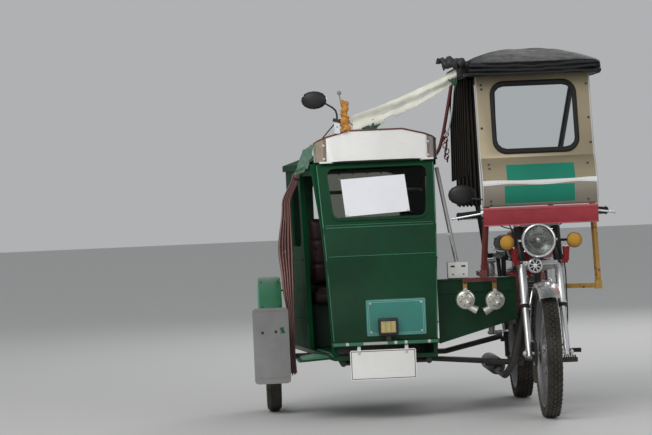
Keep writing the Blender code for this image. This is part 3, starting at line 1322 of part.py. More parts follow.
def car_window(grow, thickness):
    """A slab in the plane of the leaning sidecar windshield, round at its corners."""
    mid_z = (CAR_WINDOW_Z0 + CAR_WINDOW_Z1) / 2
    slope = math.atan2(BROW_Y - LEDGE_Y, BROW_Z - LEDGE_Z)
    stretch = 1 / math.cos(slope)
    mid_x = (CAR_IN_X + CAR_OUT_X) / 2
    low, high = (CAR_WINDOW_Z0 - mid_z) * stretch - grow, (CAR_WINDOW_Z1 - mid_z) * stretch + grow
    outline = round_poly([(-CAR_WINDOW_LOW_W / 2 - grow, low), (CAR_WINDOW_LOW_W / 2 + grow, low),
                          (CAR_WINDOW_TOP_W / 2 + grow, high), (-CAR_WINDOW_TOP_W / 2 - grow, high)],
                         CAR_WINDOW_CORNER + grow, 3)
    slab = plate(outline, thickness, "XZ", 0.0)
    place = Matrix.Translation((mid_x, slope_y(mid_z) + PANEL_WALL / 2 / math.cos(slope), mid_z))
    slab.data.transform(place @ Matrix.Rotation(-slope, 4, "X"))
    return slab


def car_front_panel():
    """Green front: flat lower panel with a crease, ledge and leaning windshield frame."""
    levels = [FRONT_LOW_Z, CREASE_Z - CREASE_STEP, CREASE_Z, LEDGE_Z - CREASE_STEP, LEDGE_Z, BROW_Z]
    rows = []
    for i, z in enumerate(levels):
        out = -CREASE_STEP * 0.5 if i in (1, 3) else 0.0
        y = slope_y(z) + out + PANEL_WALL / 2
        left, right = front_x(False, z), front_x(True, z)
        rows.append([(left + (right - left) * step / 4, y, z) for step in range(5)])
    panel = shell(rows, PANEL_WALL)
    panel = cut(panel, car_window(0, PANEL_WALL * 4))
    lip = soften(block((CAR_OUT_X - LIP_OUT * 0.3, CAR_FRONT_Y - LIP_OUT, FRONT_LOW_Z - LIP_DEEP),
                       (CAR_IN_X + LIP_OUT * 0.3, CAR_FRONT_Y + PANEL_WALL,
                        FRONT_LOW_Z + LIP_DEEP * 0.3)), LIP_DEEP * 0.2)
    return union(panel, lip)


def car_window_gasket():
    ring = cut(car_window(CAR_GASKET_W / 2, PANEL_WALL + CAR_GASKET_W * 0.6),
               car_window(-CAR_GASKET_W / 2, PANEL_WALL * 4))
    slot = cut(car_window(CAR_GASKET_W, PANEL_WALL + GAP * 4), car_window(-GAP, PANEL_WALL * 3))
    pane = car_window(-CAR_GASKET_W * 0.3, GLASS_THICK + GAP)
    return cut(ring, slot, pane)


def car_window_glass():
    return car_window(-CAR_GASKET_W * 0.3 - GAP, GLASS_THICK)


def sign_board():
    """Arched board over the windshield whose ends bend back round the roof."""
    mid = (SIGN_X0 + SIGN_X1) / 2
    half = (SIGN_X1 - SIGN_X0) / 2
    rows = [[], []]
    for across_share, top_share, back_share in SIGN_SHARES:
        x = mid + half * across_share
        y = BROW_Y - SIGN_AHEAD + SIGN_BACK * back_share
        rows[0].append((x, y, SIGN_Z0))
        rows[1].append((x, y + SIGN_AHEAD * 0.3, SIGN_Z0 + (SIGN_TOP_Z - SIGN_Z0) * top_share))
    board = shell(rows, SIGN_THICK)
    foot = block((mid - half * 0.93, BROW_Y - SIGN_AHEAD, CAR_EAVE_Z + GAP),
                 (mid + half * 0.93, CAR_ROOF_Y0 - GAP, CAR_EAVE_Z + SIGN_THICK * 2))
    return union(board, foot)


def car_crown(x, y, z_edge):
    """Height of the sidecar roof over a place in plan."""
    x_in, x_out = wall_x(True, y, BROW_Z), wall_x(False, y, BROW_Z)
    u = (x - (x_in + x_out) / 2) / ((x_in - x_out) / 2)
    return z_edge + CAR_CROWN * max(0.0, 1 - u * u)


def car_roof():
    """Low crowned metal roof with its edges folded down over the side walls."""
    rows = []
    for i in range(7):
        y = CAR_ROOF_Y0 + (CAR_BACK_Y + CAR_OVERHANG - CAR_ROOF_Y0) * i / 6
        x_in = wall_x(True, y, BROW_Z) + CAR_OVERHANG
        x_out = wall_x(False, y, BROW_Z) - CAR_OVERHANG
        mid, half = (x_in + x_out) / 2, (x_in - x_out) / 2
        row = [(mid - half, y, CAR_EAVE_Z - CAR_FOLD)]
        for k in range(9):
            u = -1 + k / 4
            row.append((mid + half * u, y, CAR_EAVE_Z + ROOF_SHEET / 2 + GAP + CAR_CROWN * (1 - u * u)))
        row.append((mid + half, y, CAR_EAVE_Z - CAR_FOLD))
        rows.append(row)
    return shell(rows, ROOF_SHEET)


def car_inner_wall():
    """Wall beside the rider, low in front with a round-cornered opening above."""
    back = CAR_BACK_Y - WALL - GAP
    z0 = FLOOR_Z + GAP
    front = CAR_FRONT_Y + PANEL_WALL + GAP * 2
    outline = [(front, z0), (back, z0), (back, CAR_EAVE_Z), (BROW_Y + PANEL_WALL * 1.36, CAR_EAVE_Z),
               (slope_y(LEDGE_Z) + PANEL_WALL * 1.36, LEDGE_Z), (front, CREASE_Z)]
    hole = round_poly([(WINDOW_SIDE_Y0, WINDOW_SIDE_Z0), (back - WINDOW_SIDE_EDGE, WINDOW_SIDE_Z0),
                       (back - WINDOW_SIDE_EDGE, CAR_EAVE_Z - WINDOW_SIDE_EDGE),
                       (WINDOW_SIDE_Y0 + WINDOW_SIDE_EDGE * 1.6, CAR_EAVE_Z - WINDOW_SIDE_EDGE)],
                       WINDOW_SIDE_EDGE * 0.8)
    return side_wall(True, outline, [hole])


def car_outer_wall():
    """Kerb-side wall: a door opening in front, the rear quarter with its window behind."""
    back = CAR_BACK_Y - WALL - GAP
    z0 = FLOOR_Z + GAP
    front = CAR_FRONT_Y + PANEL_WALL + GAP * 2
    edge = WINDOW_SIDE_EDGE * 0.45
    outline = [(DOOR_Y1, z0), (back, z0), (back, CAR_EAVE_Z), (BROW_Y + PANEL_WALL * 1.36, CAR_EAVE_Z),
               (slope_y(LEDGE_Z) + PANEL_WALL * 1.36, LEDGE_Z), (front, CREASE_Z), (front, z0),
               (front + edge, z0), (front + edge, CREASE_Z - edge * 0.2),
               (LEDGE_Y + PANEL_WALL + edge, LEDGE_Z - edge * 0.3),
               (BROW_Y + edge * 1.4, CAR_EAVE_Z - edge * 1.5), (DOOR_Y1, CAR_EAVE_Z - edge * 1.5)]
    hole = round_poly([(DOOR_Y1 + WINDOW_SIDE_EDGE, WINDOW_SIDE_Z0),
                       (back - WINDOW_SIDE_EDGE, WINDOW_SIDE_Z0),
                       (back - WINDOW_SIDE_EDGE, CAR_EAVE_Z - WINDOW_SIDE_EDGE),
                       (DOOR_Y1 + WINDOW_SIDE_EDGE, CAR_EAVE_Z - WINDOW_SIDE_EDGE)], WINDOW_SIDE_EDGE * 0.8)
    return side_wall(False, outline, [hole])


def car_rear_wall():
    x_in, x_out = wall_x(True, CAR_BACK_Y, BROW_Z), wall_x(False, CAR_BACK_Y, BROW_Z)
    mid, half = (x_in + x_out) / 2, (x_in - x_out) / 2
    arch = [(mid + half * (1 - k / 4), CAR_EAVE_Z + CAR_CROWN * (1 - (1 - k / 4) ** 2)) for k in range(9)]
    outline = [(x_out, FLOOR_Z + GAP), (x_in, FLOOR_Z + GAP), *arch]
    wall = plate(outline, WALL, "XZ", CAR_BACK_Y - WALL / 2)
    hole = round_rect(mid - half * 0.62, WINDOW_SIDE_Z0 + WINDOW_SIDE_EDGE * 0.5, mid + half * 0.62,
                      CAR_EAVE_Z - WINDOW_SIDE_EDGE * 0.6, WINDOW_SIDE_EDGE * 0.8)
    return cut(wall, plate(hole, WALL * 3, "XZ", CAR_BACK_Y - WALL / 2))


def car_floor():
    """Floor plate with the sill that slopes down and out as a step."""
    front = CAR_FRONT_Y + PANEL_WALL + GAP
    outline = [(CAR_OUT_X + WALL * 0.1, front), (CAR_IN_X, front), (CAR_IN_BACK_X, CAR_BACK_Y),
               (CAR_OUT_BACK_X, CAR_BACK_Y),
               (wall_x(False, DOOR_Y1, FLOOR_Z), DOOR_Y1)]
    floor = plate(outline, FLOOR_THICK, "XY", FLOOR_Z - FLOOR_THICK / 2)
    step_front = front + WINDOW_SIDE_EDGE * 0.45 + GAP * 4
    step = shell([[(CAR_OUT_X + WALL, step_front, FLOOR_Z - FLOOR_THICK * 0.4),
                   (STEP_OUT_X, step_front, STEP_FRONT_Z)],
                  [(CAR_OUT_X - WALL, DOOR_Y1 * 0.94, FLOOR_Z - FLOOR_THICK * 0.4),
                   (STEP_OUT_X, DOOR_Y1 * 0.94, STEP_BACK_Z)]],
                 STEP_THICK)
    return union(floor, step)


def bridge_panel():
    """Green skirt that closes the gap to the bike, with a narrow ledge on top."""
    outline = [(BRIDGE_X0, BRIDGE_LOW_OUT), (BRIDGE_X1, BRIDGE_LOW_IN), (BRIDGE_X1, BRIDGE_TOP),
               (BRIDGE_X0, BRIDGE_TOP)]
    skirt = plate(outline, BRIDGE_THICK, "XZ", BRIDGE_Y)
    ledge = block((BRIDGE_X0 + BRIDGE_THICK * 0.3, BRIDGE_Y, BRIDGE_TOP - BRIDGE_THICK),
                  (BRIDGE_X1 - BRIDGE_THICK, BRIDGE_Y + BRIDGE_LEDGE, BRIDGE_TOP + BRIDGE_THICK * 0.2))
    return union(skirt, ledge)


def chassis():
    """Tube ladder under the sidecar with its axle and the links to the bike."""
    z = FLOOR_Z - FLOOR_THICK - GAP - RAIL_R
    pieces = []
    for x in (RAIL_IN_X, RAIL_OUT_X):
        pieces.append(rod((x, RAIL_Y0, z), (x, RAIL_Y1, z), RAIL_R, 8))
    for share in RAIL_CROSS_SHARES:
        y = RAIL_Y0 + (RAIL_Y1 - RAIL_Y0) * share
        pieces.append(rod((RAIL_OUT_X, y, z), (RAIL_IN_X, y, z), RAIL_R * 0.85, 8))
    hub_face = SIDE_WHEEL_X + HUB_HALF_W + RUN * 2
    pieces.append(rod((hub_face + RAIL_R, SIDE_WHEEL_Y, TYRE_R),
                      (SIDE_WHEEL_X - HUB_HALF_W - AXLE_OUT, SIDE_WHEEL_Y, TYRE_R), AXLE_R, 12))
    pieces.append(rod((RAIL_OUT_X, SIDE_WHEEL_Y, z), (hub_face + RAIL_R * 1.2, SIDE_WHEEL_Y, z),
                      RAIL_R * 0.95, 8))
    pieces.append(block((hub_face, SIDE_WHEEL_Y - RAIL_R * 1.3, z - RAIL_R * 1.2),
                        (hub_face + RAIL_R * 1.3, SIDE_WHEEL_Y + RAIL_R * 1.3, TYRE_R + RAIL_R)))
    pieces.append(rod((RAIL_IN_X, LINK_FRONT_Y, z), (LINK_REACH, LINK_FRONT_Y, LINK_FRONT_Z),
                      RAIL_R * 0.9, 8))
    pieces.append(tube([(RAIL_IN_X, LINK_BACK_Y, z), (CAR_IN_BACK_X + RAIL_R * 2, LINK_BACK_Y, z),
                        (-FRAME_HALF - TUBE_R - RAIL_R * 0.4, PIVOT_Y, PIVOT_Z)], RAIL_R * 0.9, RAIL_R, 8))
    return union(*pieces)


def bench():
    """Padded bench across the back of the cabin with its backrest and box."""
    back = CAR_BACK_Y - WALL - GAP * 3
    y0 = back - BENCH_D
    x0 = wall_x(False, y0, FLOOR_Z) + WALL + GAP * 8
    x1 = wall_x(True, y0, FLOOR_Z) - WALL - GAP * 8
    box = block((x0 + GAP * 2, y0 + BENCH_PAD, FLOOR_Z + GAP),
                (x1 - GAP * 2, back - GAP * 2, FLOOR_Z + BENCH_H))
    pad = soften(block((x0, y0, FLOOR_Z + BENCH_H - BENCH_PAD * 0.3),
                       (x1, back - BENCH_PAD * 0.2, FLOOR_Z + BENCH_H + BENCH_PAD)), BENCH_PAD * 0.3, 2)
    rest = soften(block((x0 + GAP, back - BENCH_PAD, FLOOR_Z + BENCH_H + BENCH_PAD * 0.4),
                        (x1 - GAP, back, FLOOR_Z + BENCH_H + BENCH_BACK)), BENCH_PAD * 0.3, 2)
    return union(box, pad, rest)


def door_curtain():
    """Pleated curtain tied back at the rear edge of the door opening."""
    rings = []
    for height_share, inner_share, outer_share in DOOR_CURTAIN_SHARES:
        z = DOOR_CURTAIN_Z0 + (DOOR_CURTAIN_Z1 - DOOR_CURTAIN_Z0) * height_share
        x1 = DOOR_CURTAIN_X + DOOR_CURTAIN_W * inner_share
        x0 = DOOR_CURTAIN_X - DOOR_CURTAIN_W * outer_share
        ring = []
        for k in range(8):
            ring.append((x0 + (x1 - x0) * k / 7,
                         DOOR_CURTAIN_Y - DOOR_CURTAIN_D * (0.5 if k % 2 else 0.32), z))
        for k in range(8):
            ring.append((x1 - (x1 - x0) * k / 7,
                         DOOR_CURTAIN_Y + DOOR_CURTAIN_D * (0.5 if k % 2 else 0.32), z))
        rings.append(ring)
    return loft(rings)


def side_mudguard():
    """Green guard over the sidecar wheel, square in section with turned-in edges."""
    rows = []
    steps = 14
    first, last = math.radians(149.5), math.radians(10)
    for i in range(steps + 1):
        a = first + (last - first) * i / steps
        centre = Vector((SIDE_GUARD_X, SIDE_WHEEL_Y + SIDE_GUARD_R * math.cos(a),
                         TYRE_R + SIDE_GUARD_R * math.sin(a)))
        out = Vector((0, math.cos(a), math.sin(a)))
        rows.append([centre + out * (drop * GUARD_SKIRT) + Vector((across * SIDE_GUARD_W, 0, 0))
                     for across,
                     drop in [(-0.5, -1.2), (-0.5, -0.15), (-0.42, 0.0), (0.42, 0.0), (0.5, -0.15),
                              (0.5, -1.2)]])
    guard = shell(rows, GUARD_THICK)
    z = FLOOR_Z - FLOOR_THICK - GAP - RAIL_R
    pieces = []
    for a in (math.radians(55), math.radians(125)):
        rim = Vector((SIDE_GUARD_X + SIDE_GUARD_W * 0.5,
                      SIDE_WHEEL_Y + (SIDE_GUARD_R - GUARD_SKIRT * 0.6) * math.cos(a),
                      TYRE_R + (SIDE_GUARD_R - GUARD_SKIRT * 0.6) * math.sin(a)))
        wall = Vector((wall_x(False, rim.y + STAY_R * 2, rim.z) - GAP * 3, rim.y, rim.z))
        if rim.y > DOOR_Y1 - STAY_R * 4:
            pieces.append(beam(rim, wall, STAY_R * 4, STAY_R * 2))
    return union(guard, *pieces)


def mud_flap():
    """Grey sheet that hangs in front of the sidecar tyre from the mudguard's lip."""
    outline = round_rect(SIDE_FLAP_X0, SIDE_FLAP_Z0, SIDE_FLAP_X1, SIDE_FLAP_Z1, FLAP_CORNER)
    return plate(outline, FLAP_THICK, "XZ", SIDE_FLAP_Y)


def city_plate():
    outline = round_rect(PLATE_X - PLATE_W / 2, PLATE_Z1 - PLATE_H, PLATE_X + PLATE_W / 2, PLATE_Z1,
                         PLATE_CORNER)
    y = CAR_FRONT_Y - LIP_OUT * 0.6
    pieces = [plate(outline, PLATE_THICK, "XZ", y)]
    for side in (-1, 1):
        x = PLATE_X + side * PLATE_W * 0.36
        pieces.append(block((x - LIP_DEEP * 0.5, y - PLATE_THICK * 0.4, PLATE_Z1 - PLATE_CORNER),
                            (x + LIP_DEEP * 0.5, y + PLATE_THICK * 0.4, FRONT_LOW_Z - LIP_DEEP - GAP)))
    return union(*pieces)


def franchise_plate():
    outline = round_rect(FRANCHISE_X - FRANCHISE_W / 2, FRANCHISE_Z - FRANCHISE_H / 2,
                         FRANCHISE_X + FRANCHISE_W / 2,
                         FRANCHISE_Z + FRANCHISE_H / 2, PLATE_CORNER)
    return plate(outline, PLATE_THICK, "XZ", CAR_FRONT_Y - CREASE_STEP * 0.25 - PLATE_THICK / 2 - GAP)


def spot_lamp():
    """Small square work lamp on a bracket that stands on the bumper lip."""
    y = CAR_FRONT_Y - LIP_OUT * 0.55
    body = soften(block((SPOT_X - SPOT_W / 2, y - SPOT_D, SPOT_Z - SPOT_H / 2),
                        (SPOT_X + SPOT_W / 2, y, SPOT_Z + SPOT_H / 2)), SPOT_H * 0.08)
    recess = block((SPOT_X - SPOT_W * 0.38, y - SPOT_D - OVERRUN, SPOT_Z - SPOT_H * 0.34),
                   (SPOT_X + SPOT_W * 0.38, y - SPOT_D * 0.8, SPOT_Z + SPOT_H * 0.34))
    stem = block((SPOT_X - SPOT_W * 0.12, y - SPOT_D * 0.6, FRONT_LOW_Z + LIP_DEEP * 0.3 + GAP),
                 (SPOT_X + SPOT_W * 0.12, y - SPOT_D * 0.2, SPOT_Z - SPOT_H * 0.45))
    return union(cut(body, recess), stem)


def roof_mirror():
    """Black round mirror on a bowed stalk from the sidecar roof's front corner."""
    foot = Vector((ROOF_MIRROR_FOOT_X, CAR_ROOF_Y0 + STAY_R * 4, CAR_EAVE_Z))
    foot.z = car_crown(foot.x, foot.y, CAR_EAVE_Z) + ROOF_SHEET * 1.7 + GAP
    head = pebble((ROOF_MIRROR_X, foot.y, ROOF_MIRROR_Z), (MIRROR_W * 1.2, MIRROR_D * 1.3, MIRROR_H * 1.2))
    stalk = tube([foot, foot + Vector((0, 0, ROOF_MIRROR_Z - foot.z - MIRROR_H * 0.6)),
                  Vector((ROOF_MIRROR_X + MIRROR_W * 0.2, foot.y, ROOF_MIRROR_Z))], STAY_R * 1.2,
                  MIRROR_H * 0.5, 8)
    base = rod(foot, foot + Vector((0, 0, STAY_R * 4)), STAY_R * 2.5, 14)
    return union(head, stalk, base)


def tarp_strip():
    """Torn strip of tarpaulin tied from the canopy's corner to the sidecar roof."""
    start = Vector((TARP_X0, TARP_Y0, TARP_Z0))
    end = Vector((TARP_X1, TARP_Y1, TARP_Z1))
    rows = []
    for i in range(9):
        t = i / 8
        p = start.lerp(end, t) - Vector((0, 0, TARP_SAG * math.sin(math.pi * t)))
        half = TARP_W / 2 * (0.6 + 0.5 * t)
        lean_y = half * 0.25 * (1 - t)
        rows.append([p + Vector((0, -lean_y, half)), p, p + Vector((0, lean_y, -half))])
    return shell(rows, TARP_THICK)


def brace_pipe():
    """Slanting pipe from the sidecar's brow down to its bracket on the bridge ledge."""
    top = Vector((wall_x(True, BRACE_TOP_Y, BROW_Z) + RAIL_R + GAP * 2, BRACE_TOP_Y,
                  CAR_EAVE_Z - CAR_FOLD - RAIL_R))
    low = Vector((BRACE_X, BRACE_Y, BRIDGE_TOP + BRACE_PLATE))
    pipe = tube([top, low], RAIL_R * 0.7, 0, 8)
    bracket = soften(block((BRACE_X - BRACE_PLATE, BRACE_Y - BRACE_PLATE * 0.3,
                            BRIDGE_TOP + BRIDGE_THICK * 0.2 + GAP),
                           (BRACE_X + BRACE_PLATE, BRACE_Y + BRACE_PLATE * 0.3,
                            BRIDGE_TOP + BRACE_PLATE * 1.6)), BRACE_PLATE * 0.05, 1)
    return union(pipe, bracket)


PAINT = {                    # color, roughness, metallic
    "black_paint": ((0.020, 0.020, 0.022), 0.45, 0.0),
    "chrome": ((0.78, 0.78, 0.80), 0.14, 1.0),
    "silver_alloy": ((0.50, 0.50, 0.51), 0.38, 0.9),
    "stainless_sheet": ((0.56, 0.52, 0.45), 0.30, 0.9),
    "green_paint": ((0.010, 0.085, 0.040), 0.32, 0.0),
    "bright_green": ((0.020, 0.200, 0.095), 0.25, 0.0),
    "red_paint": ((0.300, 0.015, 0.015), 0.28, 0.0),
    "maroon_paint": ((0.130, 0.018, 0.020), 0.60, 0.0),
    "yellow_rust": ((0.330, 0.150, 0.030), 0.70, 0.0),
    "grey_sheet": ((0.250, 0.250, 0.260), 0.55, 0.1),
    "white_board": ((0.800, 0.790, 0.770), 0.45, 0.0),
    "green_plate": ((0.020, 0.250, 0.200), 0.40, 0.0),
    "rubber": ((0.022, 0.022, 0.023), 0.85, 0.0),
    "tyre_rubber": ((0.030, 0.029, 0.028), 0.90, 0.0),
    "black_vinyl": ((0.030, 0.030, 0.032), 0.50, 0.0),
    "red_vinyl": ((0.350, 0.040, 0.055), 0.65, 0.0),
    "black_cloth": ((0.020, 0.018, 0.020), 0.95, 0.0),
    "purple_cloth": ((0.110, 0.045, 0.060), 0.95, 0.0),
    "cream_tarp": ((0.650, 0.630, 0.560), 0.80, 0.0),
    "clear_glass": ((0.800, 0.850, 0.840), 0.05, 0.0),
    "amber": ((0.600, 0.300, 0.060), 0.30, 0.0),
    "black_plastic": ((0.025, 0.025, 0.027), 0.40, 0.0),
}


def build():
    clear_scene()
    group = new_collection("sidecar_tricycle")
    vehicle = {"empty": bpy.data.objects.new("vehicle", None), "at": Matrix.Identity(4)}
    bpy.context.scene.collection.objects.link(vehicle["empty"])
    vehicle["empty"].location = (-(SIDE_FLAP_X0 + LEVER_TIP_X) / 2, (TYRE_R - TAIL_REACH) / 2, 0)
    steering = joint_frame("steering_axis", stem_point(COVER_END), vehicle, -RAKE)
    front = joint_frame("front_axle", (0, 0, TYRE_R), vehicle, 0.0, steering)
    rear = joint_frame("rear_axle", (0, WHEELBASE, TYRE_R), vehicle)
    side = joint_frame("sidecar_axle", (SIDE_WHEEL_X, SIDE_WHEEL_Y, TYRE_R), vehicle)

    def add(name, obj, finish, parent=vehicle):
        return part(obj, name, material(finish, *PAINT[finish]), group, parent)

    def on_axle(obj, centre):
        obj.data.transform(Matrix.Translation(Vector(centre)))
        return obj

    front_hub, rear_hub = (0, 0, TYRE_R), (0, WHEELBASE, TYRE_R)
    side_hub = (SIDE_WHEEL_X, SIDE_WHEEL_Y, TYRE_R)
    add("front_tyre", on_axle(tyre(FRONT_TYRE_W), front_hub), "tyre_rubber", front)
    add("front_wheel_rim", on_axle(spoked_wheel(FRONT_TYRE_W, FRONT_DRUM_R, FRONT_DRUM_W), front_hub),
        "chrome", front)
    add("rear_tyre", on_axle(tyre(REAR_TYRE_W), rear_hub), "tyre_rubber", rear)
    add("rear_wheel_rim", on_axle(spoked_wheel(REAR_TYRE_W, REAR_DRUM_R, REAR_DRUM_W), rear_hub),
        "chrome", rear)
    add("sidecar_tyre", on_axle(tyre(SIDE_TYRE_W), side_hub), "tyre_rubber", side)
    add("sidecar_wheel_rim", on_axle(spoked_wheel(SIDE_TYRE_W, FRONT_DRUM_R, FRONT_DRUM_W), side_hub),
        "silver_alloy", side)

    add("front_fork", front_fork(), "chrome", steering)
    add("front_mudguard", front_mudguard(), "chrome", steering)
    add("front_mudflap", front_flap(), "rubber", steering)
    add("headlight", headlight(), "chrome", steering)
    add("headlight_lens", headlight_lens(), "clear_glass", steering)
    add("indicator_left", indicator(1), "amber", steering)
    add("indicator_right", indicator(-1), "amber", steering)
    add("handlebar", handlebar(), "chrome", steering)
    add("grip_left", grip(1), "rubber", steering)
    add("grip_right", grip(-1), "rubber", steering)
    add("handlebar_mirror", bar_mirror(), "black_plastic", steering)

    add("frame_front", frame_front(), "black_paint")
    add("frame_rear", union(frame_spine(), frame_side(1), frame_side(-1)), "black_paint")
    add("engine", engine(), "silver_alloy")
    add("exhaust", exhaust(), "black_paint")
    add("fuel_tank", fuel_tank(), "red_paint")
    add("seat", seat(), "black_vinyl")
    add("side_covers", side_covers(), "red_paint")
    add("swing_arm", swing_arm(), "black_paint")
    add("shock_left", shock(1), "chrome")
    add("shock_right", shock(-1), "chrome")
    add("rear_mudguard", rear_mudguard(), "chrome")

    add("windshield_panel", windshield_panel(), "stainless_sheet")
    add("windshield_gasket", windshield_gasket(), "rubber")
    add("windshield_glass", windshield_glass(), "clear_glass")
    add("valance", valance(), "red_vinyl")
    add("canopy_post_left", canopy_post(1), "yellow_rust")
    add("canopy_post_right", canopy_post(-1), "yellow_rust")
    add("canopy_stay_left", canopy_stay(1), "black_paint")
    add("canopy_stay_right", canopy_stay(-1), "black_paint")
    add("canopy_roof", canopy_roof(), "black_vinyl")
    add("rider_curtain", rider_curtain(), "black_cloth")
    add("twin_horns", twin_horns(), "chrome")

    add("sidecar_chassis", chassis(), "black_paint")
    add("sidecar_floor", car_floor(), "bright_green")
    add("sidecar_front_panel", car_front_panel(), "green_paint")
    add("sidecar_window_gasket", car_window_gasket(), "rubber")
    add("sidecar_window_glass", car_window_glass(), "clear_glass")
    add("sign_board", sign_board(), "white_board")
    add("sidecar_roof", car_roof(), "green_paint")
    add("sidecar_inner_wall", car_inner_wall(), "green_paint")
    add("sidecar_outer_wall", car_outer_wall(), "green_paint")
    add("sidecar_rear_wall", car_rear_wall(), "green_paint")
    add("bridge_panel", bridge_panel(), "green_paint")
    add("sidecar_bench", bench(), "black_vinyl")
    add("door_curtain", door_curtain(), "purple_cloth")
    add("sidecar_mudguard", side_mudguard(), "bright_green")
    add("sidecar_mud_flap", mud_flap(), "grey_sheet")
    add("front_plate", city_plate(), "white_board")
    add("green_plate", franchise_plate(), "green_plate")
    add("spot_lamp", spot_lamp(), "black_plastic")
    add("roof_mirror", roof_mirror(), "black_plastic")
    add("tarp_strip", tarp_strip(), "cream_tarp")
    add("brace_pipe", brace_pipe(), "grey_sheet")


build()
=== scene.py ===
import json
import bmesh, bpy
from math import atan2, cos, exp, pi, radians, sin, tau
from mathutils import Matrix, Vector
from mathutils.bvhtree import BVHTree
from mathutils.noise import noise as bumpNoise

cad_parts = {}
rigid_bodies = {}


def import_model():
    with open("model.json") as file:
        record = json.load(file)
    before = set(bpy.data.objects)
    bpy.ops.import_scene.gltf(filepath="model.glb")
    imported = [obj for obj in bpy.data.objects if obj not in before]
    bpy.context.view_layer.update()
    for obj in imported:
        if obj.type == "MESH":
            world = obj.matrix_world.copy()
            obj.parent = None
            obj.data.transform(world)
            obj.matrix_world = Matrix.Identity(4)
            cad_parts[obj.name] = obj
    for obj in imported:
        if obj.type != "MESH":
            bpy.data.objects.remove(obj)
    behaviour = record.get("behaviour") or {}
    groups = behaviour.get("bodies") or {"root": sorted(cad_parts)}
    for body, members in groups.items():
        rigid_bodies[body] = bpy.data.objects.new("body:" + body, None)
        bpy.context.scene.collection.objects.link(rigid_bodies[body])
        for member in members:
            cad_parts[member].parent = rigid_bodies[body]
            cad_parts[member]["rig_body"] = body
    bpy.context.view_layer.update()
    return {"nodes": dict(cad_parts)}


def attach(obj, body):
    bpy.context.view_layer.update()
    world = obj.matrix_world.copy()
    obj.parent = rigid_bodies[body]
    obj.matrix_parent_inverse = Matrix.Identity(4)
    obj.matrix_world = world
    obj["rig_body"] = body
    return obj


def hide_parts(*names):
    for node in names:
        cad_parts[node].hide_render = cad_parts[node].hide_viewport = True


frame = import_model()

scene = bpy.context.scene
rowShift = Vector((.4735, -.6555, 0.0))     # front tyre's contact point, in the row frame
up, ahead, astern = Vector((0, 0, 1)), Vector((0, -1, 0)), Vector((0, 1, 0))
across = Vector((1, 0, 0))


# camera, light and floor
camera = {"place": (-.92449692, -13.60558796, 1.1014735),
          "turn": (1.5593191385269165, .04326289892196655, -.03253483399748802),
          "lens": 157.914}
lamps = (                     # name, place, aim, width, watts, colour
    ("skyLight", (-3.5, -6.0, 7.0), (0, 0, .8), 6.0, 330, (1.0, .99, .97)),
    ("streetFill", (6.0, -7.5, 3.5), (0, 0, .7), 5.0, 120, (.97, .99, 1.0)),
    ("frontFill", (-1.5, -11.0, 2.2), (0, 0, .6), 4.0, 60, (1.0, 1.0, 1.0)),
    ("backLight", (2.5, 7.0, 5.0), (0, 0, 1.0), 4.0, 160, (1.0, 1.0, 1.0)))


def setStage():
    eye = bpy.data.cameras.new("camera")
    eye.lens, eye.sensor_width, eye.clip_end = camera["lens"], 36.0, 200.0
    holder = bpy.data.objects.new("camera", eye)
    holder.location, holder.rotation_euler = camera["place"], camera["turn"]
    scene.collection.objects.link(holder)
    scene.camera = holder
    for name, place, aim, width, watts, colour in lamps:
        light = bpy.data.lights.new(name, "AREA")
        light.shape, light.size, light.energy, light.color = "DISK", width, watts, colour
        lamp = bpy.data.objects.new(name, light)
        lamp.location = place
        lamp.rotation_euler = (Vector(aim) - Vector(place)).to_track_quat("-Z", "Y").to_euler()
        scene.collection.objects.link(lamp)
    world = bpy.data.worlds.new("studio")
    world.use_nodes = True
    sky = world.node_tree.nodes["Background"]
    sky.inputs["Color"].default_value = (.86, .88, .9, 1)
    sky.inputs["Strength"].default_value = .5
    scene.world = world
    scene.view_settings.view_transform = "Standard"
    bm = bmesh.new()
    bmesh.ops.create_grid(bm, x_segments=2, y_segments=2, size=45)
    mesh = bpy.data.meshes.new("floor")
    bm.to_mesh(mesh); bm.free()
    floor = bpy.data.objects.new("floor", mesh)
    scene.collection.objects.link(floor)
    paint = bpy.data.materials.new("paleFloor")
    paint.use_nodes = True
    shader = paint.node_tree.nodes["Principled BSDF"]
    shader.inputs["Base Color"].default_value = (.56, .56, .55, 1)
    shader.inputs["Roughness"].default_value = .85
    mesh.materials.append(paint)


setStage()
print("stage set")


# shader node groups shared by the finishes
def newGroup(name, inputs, outputs):
    tree = bpy.data.node_groups.new(name, "ShaderNodeTree")
    for label, value in inputs:
        tree.interface.new_socket(name=label, in_out="INPUT", socket_type="NodeSocketFloat").default_value = value
    for label, kind in outputs:
        tree.interface.new_socket(name=label, in_out="OUTPUT", socket_type="NodeSocket" + kind)
    return tree, tree.nodes.new("NodeGroupInput"), tree.nodes.new("NodeGroupOutput")


def node(tree, kind, settings=None, feeds=None):   # kind is the node's type name without ShaderNode
    made = tree.nodes.new("ShaderNode" + kind)
    for key, value in (settings or {}).items():
        setattr(made, key, value)
    for key, value in (feeds or {}).items():
        if isinstance(value, bpy.types.NodeSocket):
            tree.links.new(value, made.inputs[key])
        else:
            made.inputs[key].default_value = value
    return made


def maths(tree, job, a, b=0.0, c=None):
    feeds = {0: a, 1: b}
    if c is not None:
        feeds[2] = c
    return node(tree, "Math", {"operation": job}, feeds).outputs[0]


def spread(tree, value, low, high, toLow=0.0, toHigh=1.0):
    return node(tree, "MapRange", {}, {0: value, 1: low, 2: high, 3: toLow, 4: toHigh}).outputs[0]


